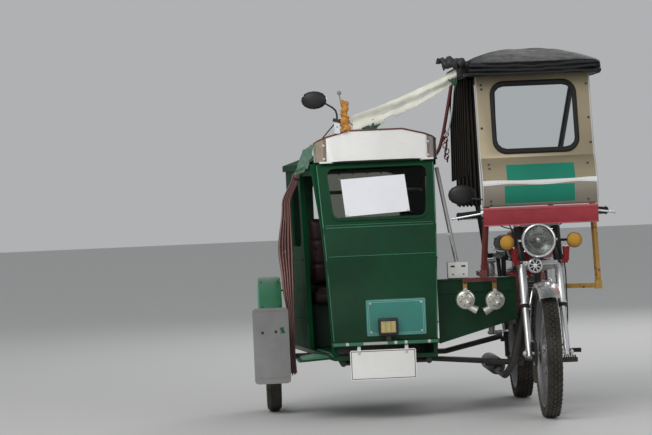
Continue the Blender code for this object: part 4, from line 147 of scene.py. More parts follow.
def spot(tree, scale, detail=4.0, rough=.55, stretch=None):
    # noise on object coordinates, stretched where a stretch is given
    place = node(tree, "TexCoord").outputs["Object"]
    if stretch:
        place = node(tree, "Mapping", {}, {"Vector": place, "Scale": stretch}).outputs[0]
    feeds = {"Vector": place, "Scale": scale, "Detail": detail, "Roughness": rough, "Distortion": 0.0}
    return node(tree, "TexNoise", {}, feeds).outputs[0]


def roadWear():   # chips, dust that gathers low down, and a slow change of tone
    tree, given, out = newGroup("roadWear", (("Chips", .3), ("Dust", .3), ("Fineness", 1.0)),
                                (("Chips", "Float"), ("Dust", "Float"), ("Tone", "Float")))
    fine = given.outputs["Fineness"]
    coarse = spot(tree, maths(tree, "MULTIPLY", fine, 9.0), 8.0, .65)
    specks = spot(tree, maths(tree, "MULTIPLY", fine, 55.0), 6.0, .7)
    mixed = maths(tree, "MULTIPLY_ADD", specks, .45, maths(tree, "MULTIPLY", coarse, .6))
    edge = maths(tree, "SUBTRACT", .74, maths(tree, "MULTIPLY", given.outputs["Chips"], .2))
    tree.links.new(spread(tree, mixed, edge, maths(tree, "ADD", edge, .035)), out.inputs["Chips"])
    height = node(tree, "SeparateXYZ", {}, {0: node(tree, "TexCoord").outputs["Object"]}).outputs[2]
    low = spread(tree, height, .05, .75, 1.0, .25)
    film = spread(tree, spot(tree, 5.0, 7.0, .6), .3, .75)
    dust = maths(tree, "MULTIPLY", maths(tree, "MULTIPLY", low, film), given.outputs["Dust"])
    tree.links.new(dust, out.inputs["Dust"])
    tree.links.new(spread(tree, spot(tree, maths(tree, "MULTIPLY", fine, 3.0), 5.0), .3, .7), out.inputs["Tone"])
    return tree


def hideGrain():   # pebbled grain of coated cloth and soft plastic
    tree, given, out = newGroup("hideGrain", (("Scale", 300.0),), (("Height", "Float"), ("Shade", "Float")))
    place = node(tree, "TexCoord").outputs["Object"]
    cells = node(tree, "TexVoronoi", {}, {"Vector": place, "Scale": given.outputs["Scale"]}).outputs["Distance"]
    drift = spot(tree, maths(tree, "MULTIPLY", given.outputs["Scale"], .12), 4.0)
    tree.links.new(maths(tree, "MULTIPLY_ADD", drift, .8, cells), out.inputs["Height"])
    tree.links.new(spread(tree, drift, .35, .65), out.inputs["Shade"])
    return tree


def wovenCloth():   # over and under threads, with slubs
    tree, given, out = newGroup("wovenCloth", (("Scale", 300.0),), (("Height", "Float"), ("Shade", "Float")))
    waves = []
    for lie in ("X", "Z"):
        waves.append(node(tree, "TexWave", {"bands_direction": lie},
                          {"Vector": node(tree, "TexCoord").outputs["Object"], "Scale": given.outputs["Scale"],
                           "Distortion": .6, "Detail": 1.0}).outputs["Fac"])
    slub = spot(tree, maths(tree, "MULTIPLY", given.outputs["Scale"], .15), 3.0)
    threads = maths(tree, "MAXIMUM", waves[0], waves[1])
    tree.links.new(maths(tree, "MULTIPLY_ADD", slub, .5, threads), out.inputs["Height"])
    tree.links.new(spread(tree, slub, .35, .65), out.inputs["Shade"])
    return tree


def rolledMetal():   # fine lines and soft dents of rolled or polished metal
    tree, given, out = newGroup("rolledMetal", (("Scale", 60.0),), (("Height", "Float"), ("Shade", "Float")))
    lines = spot(tree, given.outputs["Scale"], 3.0, .6, (1.0, 1.0, 14.0))
    dents = spot(tree, 11.0, 3.0, .45)
    tree.links.new(maths(tree, "MULTIPLY_ADD", dents, 2.2, maths(tree, "MULTIPLY", lines, .12)), out.inputs["Height"])
    tree.links.new(spread(tree, lines, .3, .7), out.inputs["Shade"])
    return tree


def paintSkin():   # slow waves and orange peel of brushed-on enamel over sheet
    tree, given, out = newGroup("paintSkin", (("Scale", 60.0),), (("Height", "Float"), ("Shade", "Float")))
    peel = spot(tree, given.outputs["Scale"], 3.0, .5)
    sheetWaves = spot(tree, 6.0, 2.0, .4)
    tree.links.new(maths(tree, "MULTIPLY_ADD", sheetWaves, 6.0, maths(tree, "MULTIPLY", peel, .35)),
                   out.inputs["Height"])
    tree.links.new(spread(tree, spot(tree, 14.0, 6.0, .6), .3, .75), out.inputs["Shade"])
    return tree


groups = {"wear": roadWear(), "grain": hideGrain(), "weave": wovenCloth(),
          "metal": rolledMetal(), "paint": paintSkin()}
print("node groups made")


# finishes: material slot, colour, colour where worn, and the skin that gives the bump
finishColumns = ("slot", "base", "worn", "rough", "chips", "dust", "tone", "skin", "scale", "lift",
                 "shine", "metal", "coat")
finishRows = {
    "blackPaint": ("black_paint", (.012, .012, .013), (.085, .045, .03), .38, .42, .55, .25, "paint", 90, .1, .42),
    "chrome": ("chrome", (.74, .74, .75), (.32, .24, .17), .16, .26, .35, .12, "metal", 70, .05, .5, 1.0),
    "satinChrome": ("chrome", (.66, .66, .67), (.3, .24, .18), .3, .3, .4, .15, "metal", 90, .06, .5, 1.0),
    "castAlloy": ("silver_alloy", (.34, .34, .345), (.12, .1, .085), .5, .55, .8, .35, "grain", 420, .12, .5, .85),
    "silverRim": ("silver_alloy", (.2, .2, .205), (.12, .09, .07), .42, .4, .55, .2, "metal", 80, .05, .5, .8),
    "beigeSteel": ("stainless_sheet", (.295, .246, .162), (.2, .16, .11), .38, .22, .2, .16, "metal", 120, .09, .5,
                   .5),
    # painted highlight: near-white steel for the highlight on the windshield ridge
    "ridgeHighlightSteel": ("stainless_sheet", (.86, .85, .83), (.6, .56, .5), .2, .2, .1, .12, "metal", 120, .06, .5, .35,
                   .6),
    "greenPaint": ("green_paint", (.0014, .041, .014), (.022, .075, .04), .3, .16, .1, .34, "paint", 120, .05,
                   .16, 0, .05),
    "greenMatt": ("green_paint", (.0016, .05, .0165), (.024, .085, .045), .5, .18, .04, .34, "paint", 120, .05,
                  .04),
    # painted shade: a darker steel for the strip below the windshield ridge
    "paintedShadeSteel": ("stainless_sheet", (.27, .24, .195), (.2, .16, .12), .34, .22, .15, .16, "metal", 120, .09, .5,
                   .6),
    "greenInside": ("green_paint", (.004, .032, .018), (.03, .04, .03), .5, .42, .4, .3, "paint", 120, .06, .2),
    "brightGreen": ("bright_green", (.012, .15, .066), (.08, .15, .1), .28, .34, .35, .22, "paint", 110, .05, .4, 0,
                    .3),
    # painted highlight: a lighter green for the raised beads and edges of the sidecar front
    "highlightGreen": ("green_paint", (.018, .135, .065), (.16, .3, .22), .22, .3, .1, .3, "paint", 120, .04, .5, 0, .3),
    "mintEdge": ("bright_green", (.13, .42, .3), (.25, .45, .36), .3, .25, .2, .15, "paint", 120, .04),
    "tapeGreen": ("bright_green", (.004, .19, .12), (.03, .22, .16), .36, .08, .04, .16, "paint", 160, .03, .3),
    "redPaint": ("red_paint", (.25, .007, .008), (.1, .02, .02), .24, .18, .15, .2, "paint", 110, .04, .3, 0, .12),
    "maroonPaint": ("red_paint", (.125, .016, .014), (.24, .11, .03), .42, .45, .35, .3, "paint", 120, .08),
    "rustyYellow": ("yellow_rust", (.42, .235, .045), (.135, .045, .018), .55, .86, .25, .45, "paint", 140, .18),
    "greySheet": ("grey_sheet", (.285, .285, .29), (.19, .18, .17), .62, .25, .5, .25, "paint", 120, .1),
    "zincSheet": ("grey_sheet", (.5, .5, .48), (.24, .16, .11), .42, .42, .35, .25, "metal", 90, .08, .5, .55),
    "whiteBoard": ("white_board", (.83, .82, .8), (.42, .36, .32), .24, .16, .1, .1, "paint", 120, .03, .5, 0, .4),
    "signEnd": ("white_board", (.46, .37, .27), (.16, .07, .045), .16, .42, .15, .3, "metal", 50, .09, .5, .45, .4),
    "paper": ("white_board", (.8, .81, .85), (.66, .67, .7), .78, .1, .06, .08, "paint", 40, .05),
    "redBrownTrim": ("red_paint", (.13, .032, .022), (.25, .12, .07), .45, .3, .2, .25, "paint", 160, .05),
    "tealPlate": ("green_plate", (.018, .215, .175), (.1, .3, .26), .35, .24, .3, .18, "paint", 140, .04, .5, 0,
                  .2),
    "plateEdge": ("green_plate", (.2, .42, .37), (.12, .26, .22), .4, .3, .3, .15, "paint", 140, .03),
    "blackRubber": ("rubber", (.011, .011, .011), (.045, .042, .038), .62, .22, .22, .2, "grain", 500, .1, .3),
    "oliveRubber": ("rubber", (.03, .03, .02), (.09, .08, .055), .7, .35, .8, .3, "grain", 400, .12),
    "tyreRubber": ("tyre_rubber", (.016, .0155, .015), (.07, .062, .052), .8, .38, 1.0, .3, "grain", 380, .12, .25),
    "blackVinyl": ("black_vinyl", (.014, .014, .015), (.055, .053, .05), .42, .22, .22, .3, "grain", 330, .14, .35),
    "roofVinyl": ("black_vinyl", (.01, .01, .011), (.045, .045, .043), .52, .22, .03, .4, "grain", 260, .13, .05),
    "rollVinyl": ("black_vinyl", (.007, .007, .008), (.045, .045, .043), .24, .22, .02, .4, "grain", 120, .22, .45),
    "redVinyl": ("red_vinyl", (.36, .035, .05), (.48, .14, .14), .48, .34, .2, .35, "weave", 95, .6, .35),
    "maroonVinyl": ("black_vinyl", (.03, .012, .013), (.09, .05, .045), .44, .22, .25, .3, "grain", 300, .14, .35),
    "redPiping": ("red_vinyl", (.45, .1, .12), (.5, .24, .22), .42, .24, .15, .25, "grain", 260, .15),
    "tornWrap": ("black_vinyl", (.02, .019, .019), (.3, .28, .25), .36, .62, .05, .5, "weave", 150, .25),
    "blackCloth": ("black_cloth", (.055, .05, .043), (.14, .125, .105), .9, .25, .25, .35, "weave", 150, .16, .2),
    "purpleCloth": ("purple_cloth", (.37, .215, .198), (.6, .46, .42), .88, .5, .25, .45, "weave", 120, .22, .1),
    "creamTarp": ("cream_tarp", (.76, .755, .66), (.4, .4, .3), .55, .4, .15, .3, "weave", 170, .12),
    "greenTarp": ("cream_tarp", (.035, .1, .055), (.28, .36, .28), .6, .55, .2, .4, "weave", 170, .16),
    "amberCord": ("amber", (.55, .24, .035), (.17, .055, .02), .45, .62, .1, .4, "weave", 220, .22),
    "blackPlastic": ("black_plastic", (.013, .013, .014), (.06, .06, .058), .38, .2, .25, .2, "grain", 520, .06, .4),
    "whitePlastic": ("white_board", (.7, .72, .74), (.4, .38, .36), .4, .2, .15, .15, "grain", 520, .04),
    "hornFace": ("chrome", (.68, .665, .61), (.33, .26, .19), .24, .42, .3, .25, "metal", 60, .08, .5, .8),
    "darkEngine": ("silver_alloy", (.075, .073, .068), (.17, .145, .11), .6, .55, 1.0, .4, "grain", 380, .18, .5,
                   .5),
    "sunBleached": ("green_paint", (.12, .22, .16), (.42, .44, .38), .55, .6, .3, .4, "weave", 120, .2),
}
glassColumns = ("slot", "base", "rough", "through", "metal", "flutes", "ior")
glassRows = {
    "clearGlass": ("clear_glass", (.86, .9, .9), .02, 1.0),
    # painted shade: dark glass stands for the shade in the cabin behind the sidecar window; the dust on it is real
    "dustyShadedGlass": ("clear_glass", (.2, .21, .17), .05, 1.0),
    "amberLens": ("amber", (.56, .3, .045), .22, .15),
    "redLens": ("red_paint", (.6, .02, .015), .14, .5),
    "yellowLens": ("clear_glass", (.8, .7, .34), .12, .5),
    "flutedGlass": ("clear_glass", (.9, .93, .93), .04, 1.0, 0, 260.0, 1.35),
    "reflectorBowl": ("chrome", (.42, .42, .4), .22, 0.0, 1.0),
    "mirrorGlass": ("chrome", (.8, .82, .84), .03, 0.0, 1.0),
}
dustColour = (.2, .175, .14, 1)


def tint(tree, factor, a, b):
    return node(tree, "Mix", {"data_type": "RGBA"}, {0: factor, 6: a, 7: b}).outputs[2]


def makeFinish(name, v):
    mat = bpy.data.materials.new(name)
    mat.use_nodes = True
    tree, shader = mat.node_tree, mat.node_tree.nodes["Principled BSDF"]
    wear = node(tree, "Group", {"node_tree": groups["wear"]}, {"Chips": v["chips"], "Dust": v["dust"]})
    skin = node(tree, "Group", {"node_tree": groups[v["skin"]]}, {"Scale": v["scale"]})
    base = v["base"]
    dark = tuple(c * (1 - v["tone"]) for c in base) + (1,)
    light = tuple(min(1.0, c * (1 + v["tone"])) for c in base) + (1,)
    colour = tint(tree, wear.outputs["Tone"], dark, light)
    shade = maths(tree, "MULTIPLY", skin.outputs["Shade"], .3)
    colour = tint(tree, shade, colour, dark)
    colour = tint(tree, wear.outputs["Chips"], colour, (*v["worn"], 1))
    colour = tint(tree, maths(tree, "MULTIPLY", wear.outputs["Dust"], .6), colour, dustColour)
    tree.links.new(colour, shader.inputs["Base Color"])
    rough = maths(tree, "MULTIPLY_ADD", skin.outputs["Shade"], .1, v["rough"])
    rough = maths(tree, "MULTIPLY_ADD", wear.outputs["Chips"], .22, rough)
    rough = node(tree, "Math", {"operation": "MULTIPLY_ADD", "use_clamp": True},
                 {0: wear.outputs["Dust"], 1: .35, 2: rough}).outputs[0]
    tree.links.new(rough, shader.inputs["Roughness"])
    if v.get("metal"):
        cover = maths(tree, "MULTIPLY", wear.outputs["Dust"], .7)
        bare = node(tree, "Math", {"operation": "SUBTRACT", "use_clamp": True}, {0: 1.0, 1: cover}).outputs[0]
        tree.links.new(maths(tree, "MULTIPLY", bare, v["metal"]), shader.inputs["Metallic"])
    shader.inputs["Specular IOR Level"].default_value = v.get("shine", .5)
    if v.get("coat"):
        shader.inputs["Coat Weight"].default_value = v["coat"]
        shader.inputs["Coat Roughness"].default_value = .08
    height = maths(tree, "MULTIPLY_ADD", wear.outputs["Chips"], -.5, skin.outputs["Height"])
    bump = node(tree, "Bump", {}, {"Height": height, "Strength": v["lift"], "Distance": .002})
    tree.links.new(bump.outputs[0], shader.inputs["Normal"])
    return mat


def makeGlass(name, v):
    mat = bpy.data.materials.new(name)
    mat.use_nodes = True
    tree, shader = mat.node_tree, mat.node_tree.nodes["Principled BSDF"]
    wear = node(tree, "Group", {"node_tree": groups["wear"]}, {"Chips": .1, "Dust": .35})
    colour = tint(tree, maths(tree, "MULTIPLY", wear.outputs["Dust"], .5), (*v["base"], 1), dustColour)
    tree.links.new(colour, shader.inputs["Base Color"])
    tree.links.new(maths(tree, "MULTIPLY_ADD", wear.outputs["Dust"], .3, v["rough"]), shader.inputs["Roughness"])
    shader.inputs["Transmission Weight"].default_value = v["through"]
    shader.inputs["Metallic"].default_value = v.get("metal", 0.0)
    shader.inputs["IOR"].default_value = v.get("ior", 1.2)
    if v.get("flutes"):
        ribs = node(tree, "TexWave", {"bands_direction": "X", "wave_profile": "SIN"},
                    {"Vector": node(tree, "TexCoord").outputs["Object"], "Scale": v["flutes"] / 8})
        bump = node(tree, "Bump", {}, {"Height": ribs.outputs["Fac"], "Strength": .6, "Distance": .002})
        tree.links.new(bump.outputs[0], shader.inputs["Normal"])
    return mat


finishes = {name: makeFinish(name, dict(zip(finishColumns, row))) for name, row in finishRows.items()}
finishes.update({name: makeGlass(name, dict(zip(glassColumns, row))) for name, row in glassRows.items()})
print(len(finishes), "finishes made")


# modelling helpers
def at(x, y, z):
    return Vector((x, y, z)) + rowShift


def facing(axis):
    return up.rotation_difference(Vector(axis).normalized()).to_matrix().to_4x4()


def drum(bm, centre, axis, radius, depth, sides=32, farRadius=None):
    # a closed cylinder or cone; its far end lies along axis
    far = radius if farRadius is None else farRadius
    return bmesh.ops.create_cone(bm, cap_ends=True, segments=sides, radius1=radius, radius2=far, depth=depth,
                                 matrix=Matrix.Translation(centre) @ facing(axis))["verts"]


def ball(bm, centre, size, sides=24):
    matrix = Matrix.Translation(centre) @ Matrix.Diagonal((*size, 1))
    return bmesh.ops.create_uvsphere(bm, u_segments=sides, v_segments=sides // 2, radius=1, matrix=matrix)["verts"]


def brick(bm, centre, size, turn=None):
    matrix = Matrix.Translation(centre) @ (turn or Matrix.Identity(4)) @ Matrix.Diagonal((*size, 1))
    return bmesh.ops.create_cube(bm, size=1, matrix=matrix)["verts"]


def lathe(bm, profile, centre, axis, steps=48):
    # spins (radius, height) points round an axis; a point on the axis closes its pole
    before = set(bm.verts)
    verts = [bm.verts.new((r, 0, h)) for r, h in profile]
    edges = [bm.edges.new(pair) for pair in zip(verts, verts[1:])]
    bmesh.ops.spin(bm, geom=verts + edges, cent=(0, 0, 0), axis=(0, 0, 1), angle=tau,
                   steps=steps, use_merge=True)
    bmesh.ops.remove_doubles(bm, verts=[v for v in bm.verts if v not in before], dist=1e-6)
    new = [v for v in bm.verts if v not in before]
    bmesh.ops.recalc_face_normals(bm, faces=list({f for v in new for f in v.link_faces}))
    bmesh.ops.transform(bm, matrix=Matrix.Translation(centre) @ facing(axis), verts=new)
    return new


def stick(bm, start, end, radius, sides=6):
    start, end = Vector(start), Vector(end)
    return drum(bm, (start + end) / 2, end - start, radius, (end - start).length, sides)


def hexBolt(bm, place, axis, radius, height):
    axis = Vector(axis).normalized()
    drum(bm, Vector(place) + axis * height * .5, axis, radius, height, 6)
    drum(bm, Vector(place) + axis * height * .15, axis, radius * 1.45, height * .3, 16)
    drum(bm, Vector(place) + axis * height * 1.1, axis, radius * .5, height * .5, 12)


def softEdges(bm, degrees):
    limit = radians(degrees)
    for face in bm.faces:
        face.smooth = True
    for edge in bm.edges:
        edge.smooth = len(edge.link_faces) == 2 and edge.calc_face_angle(9.0) < limit


def enrol(piece, finish, body, replaced):   # material, body and the CAD nodes that the piece stands for
    scene.collection.objects.link(piece)
    piece.data.materials.append(finishes[finish])
    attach(piece, body)
    if replaced:
        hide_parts(replaced)
    return piece


def finishPiece(name, bm, finish, body="root", replaced=None, bevel=0.0, levels=0, smooth=38, thick=0.0, moved=True):
    if moved:
        bmesh.ops.translate(bm, vec=rowShift, verts=bm.verts)
    softEdges(bm, smooth)
    mesh = bpy.data.meshes.new(name)
    bm.to_mesh(mesh)
    bm.free()
    piece = enrol(bpy.data.objects.new(name, mesh), finish, body, replaced)
    if thick:
        wall = piece.modifiers.new("wall", "SOLIDIFY")
        wall.thickness, wall.offset = thick, 0.0
    if bevel:
        edge = piece.modifiers.new("edge", "BEVEL")
        edge.width, edge.segments, edge.angle_limit = bevel, 2, radians(32)
        edge.harden_normals = True
    if levels:
        skin = piece.modifiers.new("skin", "SUBSURF")
        skin.levels = skin.render_levels = levels
    return piece


def turned(name, profile, centre, axis, steps, finish, body="root", closed=True, **looks):
    # one lathed piece; a closed profile runs back to its first point
    bm = bmesh.new()
    lathe(bm, profile + profile[:1] if closed else profile, centre, axis, steps)
    finishPiece(name, bm, finish, body, **looks)


def boxes(name, rows, finish, bevel):   # rows of centre, size and an optional turn
    bm = bmesh.new()
    for row in rows:
        brick(bm, *row)
    finishPiece(name, bm, finish, bevel=bevel)


def bolts(name, places, axis, size, finish, bevel=0.0):   # size is (radius, height)
    bm = bmesh.new()
    for place in places:
        hexBolt(bm, place, axis, *size)
    finishPiece(name, bm, finish, bevel=bevel)


def noiseAt(*place):   # smooth noise, -1 to 1
    return bumpNoise(Vector(place))


def pipes(name, runs, finish, body="root", replaced=None, moved=True, curved=True):
    # bent rods: runs are (points, radius)
    line = bpy.data.curves.new(name, "CURVE")
    line.dimensions, line.bevel_resolution, line.use_fill_caps = "3D", 3, True
    line.bevel_depth, line.resolution_u = 1.0, 6
    for points, radius in runs:
        kind = "NURBS" if curved and len(points) > 2 else "POLY"
        path = line.splines.new(kind)
        path.points.add(len(points) - 1)
        for point, place in zip(path.points, points):
            point.co = (*(Vector(place) + (rowShift if moved else Vector())), 1)
            point.radius = radius
        if kind == "NURBS":
            path.order_u, path.use_endpoint_u = min(4, len(points)), True
    return enrol(bpy.data.objects.new(name, line), finish, body, replaced)


def copyNode(nodeName):   # a merged working copy of a CAD node, in the row frame
    bm = bmesh.new()
    bm.from_mesh(frame["nodes"][nodeName].data)
    bmesh.ops.remove_doubles(bm, verts=bm.verts, dist=1e-5)
    bmesh.ops.dissolve_limit(bm, angle_limit=radians(.6), verts=bm.verts, edges=bm.edges)
    return bm


def dress(nodeName, finish, bevel):   # gives a CAD node soft edges in a copy that stands for it
    body = frame["nodes"][nodeName]["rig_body"]
    finishPiece(nodeName + "Body", copyNode(nodeName), finish, body, nodeName, bevel, moved=False)


def faceStrip(name, nodeName, low, high, lift, finish, reach=.35):
    # a thin strip on the front of a CAD node, cut out between two corners (x, z)
    bm = copyNode(nodeName)
    for place, normal in (((low[0], 0, 0), (-1, 0, 0)), ((high[0], 0, 0), (1, 0, 0)),
                          ((0, 0, low[1]), (0, 0, -1)), ((0, 0, high[1]), (0, 0, 1))):
        bmesh.ops.bisect_plane(bm, geom=bm.verts[:] + bm.edges[:] + bm.faces[:], plane_co=at(*place),
                               plane_no=normal, clear_outer=True)
    hidden = [f for f in bm.faces if f.normal.dot(ahead) < reach]
    bmesh.ops.delete(bm, geom=hidden, context="FACES")
    for v in bm.verts:
        v.co += ahead * lift
    finishPiece(name, bm, finish, moved=False)


# wheels
tyreR = .295
wheels = (                     # name, hub, width, drum radius, drum width, body, rib tread
    ("front", (0, 0, tyreR), .07, .062, .044, "front_wheel", False),
    ("rear", (0, 1.28, tyreR), .084, .075, .048, "rear_wheel", False),
    ("sidecar", (-1.24, 1.12, tyreR), .072, 0, 0, "sidecar_wheel", True))
wheelValues = {"wall": .056, "blocks": 64, "treadDeep": .005, "spokes": 36, "spokeR": .0021,
               "flangeR": .05, "hubHalf": .04, "bore": .0095}


def tyrePiece(name, hub, width, body, ribbed):
    half, top = width / 2, tyreR - wheelValues["treadDeep"] * .7
    bead = tyreR - wheelValues["wall"] + .006
    side = [(bead, -half * .56), (bead + .004, -half * .72), (bead + .01, -half * .86), (bead + .012, -half * .9),
            (bead + .014, -half * .875), (bead + .022, -half * .97), (top - .02, -half * .99),
            (top - .012, -half * .93), (top - .0105, -half * .94), (top - .009, -half * .9), (top - .003, -half * .66)]
    if ribbed:
        groove = .0035
        for u in (-.5, -.26, 0, .26, .5):
            side += [(top + .0025, half * (u - .09)), (top + .003, half * (u + .09)),
                     (top - groove, half * (u + .095)), (top - groove, half * (u + .15))]
        side = side[:-2]
    wall = side[:11] if ribbed else side
    ring = side + [(r, -x) for r, x in reversed(wall)]
    bm = bmesh.new()
    lathe(bm, ring + ring[:1], hub, across, 96)
    if not ribbed:
        count, deep = wheelValues["blocks"], wheelValues["treadDeep"]
        rows = ((0, .3, 0, 0, 0), (-.42, .26, .5, .0012, .3), (.42, .26, .5, .0012, -.3),
                (-.78, .2, 0, .0052, .55), (.78, .2, 0, .0052, -.55))
        for off, wide, shift, drop, slant in rows:       # off the middle, as a share of the half width
            for step in range(count):
                turn = Matrix.Rotation(tau * (step + shift) / count, 4, "X")
                place = Vector(hub) + turn @ Vector((off * half, 0, tyreR - deep / 2 - drop))
                tilt = turn @ Matrix.Rotation(slant, 4, "Z") @ Matrix.Rotation(off * .5, 4, "Y")
                brick(bm, place, (wide * width * .5, .0165, deep), tilt)
    finishPiece(name + "TyreTread", bm, "tyreRubber", body, name + "_tyre", smooth=50)


def wheelPiece(name, hub, width, drumR, drumW, body):
    v = wheelValues
    half, edge = width * .36, tyreR - v["wall"]
    rim = [(edge + .006, -half), (edge + .009, -half - .003), (edge + .006, -half - .006), (edge - .002, -half - .003),
           (edge - .004, -half + .004), (edge - .013, -half * .45), (edge - .017, -half * .3), (edge - .017, half * .3),
           (edge - .013, half * .45), (edge - .004, half - .004), (edge - .002, half + .003),
           (edge + .006, half + .006), (edge + .009, half + .003), (edge + .006, half), (edge - .001, half - .008),
           (edge - .012, half * .3), (edge - .012, -half * .3), (edge - .001, -half + .008)]
    turned(name + "RimBand", rim, hub, across, 96, "silverRim", body, replaced=name + "_wheel_rim", smooth=45)
    reach, flange, bore = v["hubHalf"], v["flangeR"], v["bore"]
    hubRing = [(bore, -reach), (.02, -reach), (.022, -reach + .006), (flange, -reach + .008), (flange, -reach + .013),
               (.026, -reach + .018), (.024, 0), (.026, reach - .018), (flange, reach - .013), (flange, reach - .008),
               (.022, reach - .006), (.02, reach), (bore, reach)]
    if drumR:
        hubRing = [(bore, -reach), (drumR * .5, -reach), (drumR * .92, -reach + .004), (drumR, -reach + .008),
                   (drumR, -reach + drumW * .5), (drumR * .96, -reach + drumW * .55), (drumR, -reach + drumW * .6),
                   (drumR, -reach + drumW), (.026, -reach + drumW + .004), (.024, reach - .02),
                   (flange, reach - .013), (flange, reach - .008), (.022, reach - .006), (.02, reach), (bore, reach)]
    turned(name + "Hub", hubRing, hub, across, 40, "castAlloy", body, smooth=40)
    bm = bmesh.new()
    for step in range(v["spokes"]):
        side = 1 if step % 2 else -1
        cross = .34 if (step // 2) % 2 else -.34
        a = tau * step / v["spokes"]
        inner = drumR if (drumR and side < 0) else flange
        start = Vector(hub) + Vector((side * (reach - .01), cos(a - cross) * (inner - .004),
                                      sin(a - cross) * (inner - .004)))
        end = Vector(hub) + Vector((side * .004, cos(a) * (edge - .014), sin(a) * (edge - .014)))
        stick(bm, start, end, v["spokeR"])
        run = (end - start).normalized()
        stick(bm, end - run * .018, end, v["spokeR"] * 1.7)
    finishPiece(name + "Spokes", bm, "silverRim", body, smooth=60)


for name, hub, width, drumR, drumW, body, ribbed in wheels:
    tyrePiece(name, hub, width, body, ribbed)
    wheelPiece(name, hub, width, drumR, drumW, body)
print("wheels made")


# lamp, horn, indicators and fork of the bike
rake = radians(26)
lampValues = {"centre": (-.016, .05, .806), "r": .0775, "lensR": .065, "screws": (.9, -2.2)}
hornValues = {"centre": (-.034, .086, .691), "r": .034, "slots": 8}
forkValues = {"half": .086, "coverStart": .245, "coverEnd": .43, "top": .665}


def legPoint(side, along, off=0.0):   # a place along a fork leg from the axle, or off its front
    return Vector((side * forkValues["half"], along * sin(rake) - off * cos(rake),
                   tyreR + along * cos(rake) + off * sin(rake)))


def headLamp():
    v, centre = lampValues, Vector(lampValues["centre"])
    r, lensR = v["r"], v["lensR"]
    bm = bmesh.new()                                   # bezel with its rolled bead
    ring = [(r * .865, -.004), (r * .87, .003), (r * .91, .0055), (r * .97, .0045), (r * 1.015, -.001),
            (r * 1.02, -.009), (r * .975, -.012)]
    lathe(bm, ring + ring[:1], centre, ahead, 72)
    for turn in v["screws"]:
        out = Vector((sin(turn), 0, cos(turn)))
        hexBolt(bm, centre + out * r * 1.01 + Vector((0, .006, 0)), out, .0028, .004)
    finishPiece("headLampBezel", bm, "chrome", "steering", smooth=50)
    groove = [(r * .94, -.01), (r * 1.0, -.0125), (r * 1.0, -.018), (r * .94, -.018)]
    turned("headLampSeal", groove, centre, ahead, 72, "blackRubber", "steering")
    bm = bmesh.new()                                   # dished reflector with the bulb's cap
    dish = [(0, -.045), (.012, -.044), (.03, -.036), (.048, -.022), (lensR - .003, -.0105), (lensR - .004, -.013),
            (.046, -.026), (.028, -.04), (0, -.049)]
    cap = [(0, -.01), (.01, -.012), (.013, -.018), (.011, -.026), (.008, -.04), (0, -.041)]
    for profile, steps in ((dish, 48), (cap, 24)):
        lathe(bm, profile, centre, ahead, steps)
    finishPiece("headLampReflector", bm, "reflectorBowl", "steering", smooth=60)
    dome = [(0, .0075), (.024, .0068), (.046, .004), (lensR - .003, 0), (lensR, -.004), (lensR - .004, -.0055),
            (.046, .0), (.024, .0028), (0, .0035)]
    turned("headLampGlass", dome, centre, ahead, 64, "flutedGlass", "steering", closed=False,
           replaced="headlight_lens", smooth=60)


def slottedHorn():
    centre, r, slots = (hornValues[key] for key in ("centre", "r", "slots"))
    bm = bmesh.new()
    rim = [(.0255, .005), (.0275, .0068), (.0315, .0056), (r, .001), (r + .002, -.003), (r - .001, -.006),
           (.025, -.0055)]
    boss = [(0, .008), (.006, .0075), (.0095, .0055), (.0095, .002), (0, .002)]
    lathe(bm, rim + rim[:1], centre, ahead, 48)
    lathe(bm, boss, centre, ahead, 28)
    for step in range(slots):
        turn = Matrix.Rotation(tau * (step + .5) / slots, 4, "Y")
        brick(bm, Vector(centre) + turn @ Vector((0, -.0052, .017)), (.004, .003, .018), turn)
    finishPiece("hornCover", bm, "satinChrome", "steering", smooth=50)
    plug = [(0, .0032), (.0262, .003), (.0262, -.0055), (0, -.0055)]
    turned("hornDark", plug, centre, ahead, 40, "blackPlastic", "steering", closed=False)


def indicatorTrim():
    bowl = [(.03, .002), (.0345, .003), (.0355, -.001), (.0335, -.012), (.022, -.03), (.008, -.04), (0, -.041),
            (0, -.036), (.02, -.026), (.031, -.01)]
    for side, name in ((-1, "indicatorLeft"), (1, "indicatorRight")):
        turned(name + "Bowl", bowl, (side * .155, .12, .8), ahead, 40, "blackPlastic", "steering", closed=False,
               smooth=45)


def forkTrim():
    v, bm = forkValues, bmesh.new()
    axis = legPoint(1, 1) - legPoint(1, 0)
    rings = ((v["coverStart"], .0222, .012), (v["coverEnd"], .0228, .014), (v["coverEnd"] - .05, .0212, .006))
    for side in (-1, 1):
        for along, radius, depth in rings:
            drum(bm, legPoint(side, along), axis, radius, depth, 32)
        hexBolt(bm, legPoint(side, v["top"]), axis, .01, .006)
        hexBolt(bm, Vector((side * .102, 0, tyreR)), (side, 0, 0), .013, .01)
        hexBolt(bm, legPoint(side, .01, -.017), astern, .005, .005)
        for along in (.64, .442):
            hexBolt(bm, legPoint(side, along, .021) + Vector((-side * .012, 0, 0)), (0, -1, .4), .0048, .007)
    finishPiece("forkNuts", bm, "satinChrome", "steering", bevel=.0006)
    bm = bmesh.new()
    for side in (-1, 1):                                # dust seals below the covers
        drum(bm, legPoint(side, v["coverStart"] - .012), axis, .0185, .018, 24)
    plate = [(.04, 0), (.06, .002), (.062, .007), (.042, .012), (.02, .013), (.02, 0)]
    lathe(bm, plate + plate[:1], (-.052, 0, tyreR), -across, 36)     # brake plate
    finishPiece("forkSeals", bm, "blackRubber", "steering", bevel=.0008)


headLamp()
slottedHorn()
indicatorTrim()
forkTrim()
print("front of the bike made")


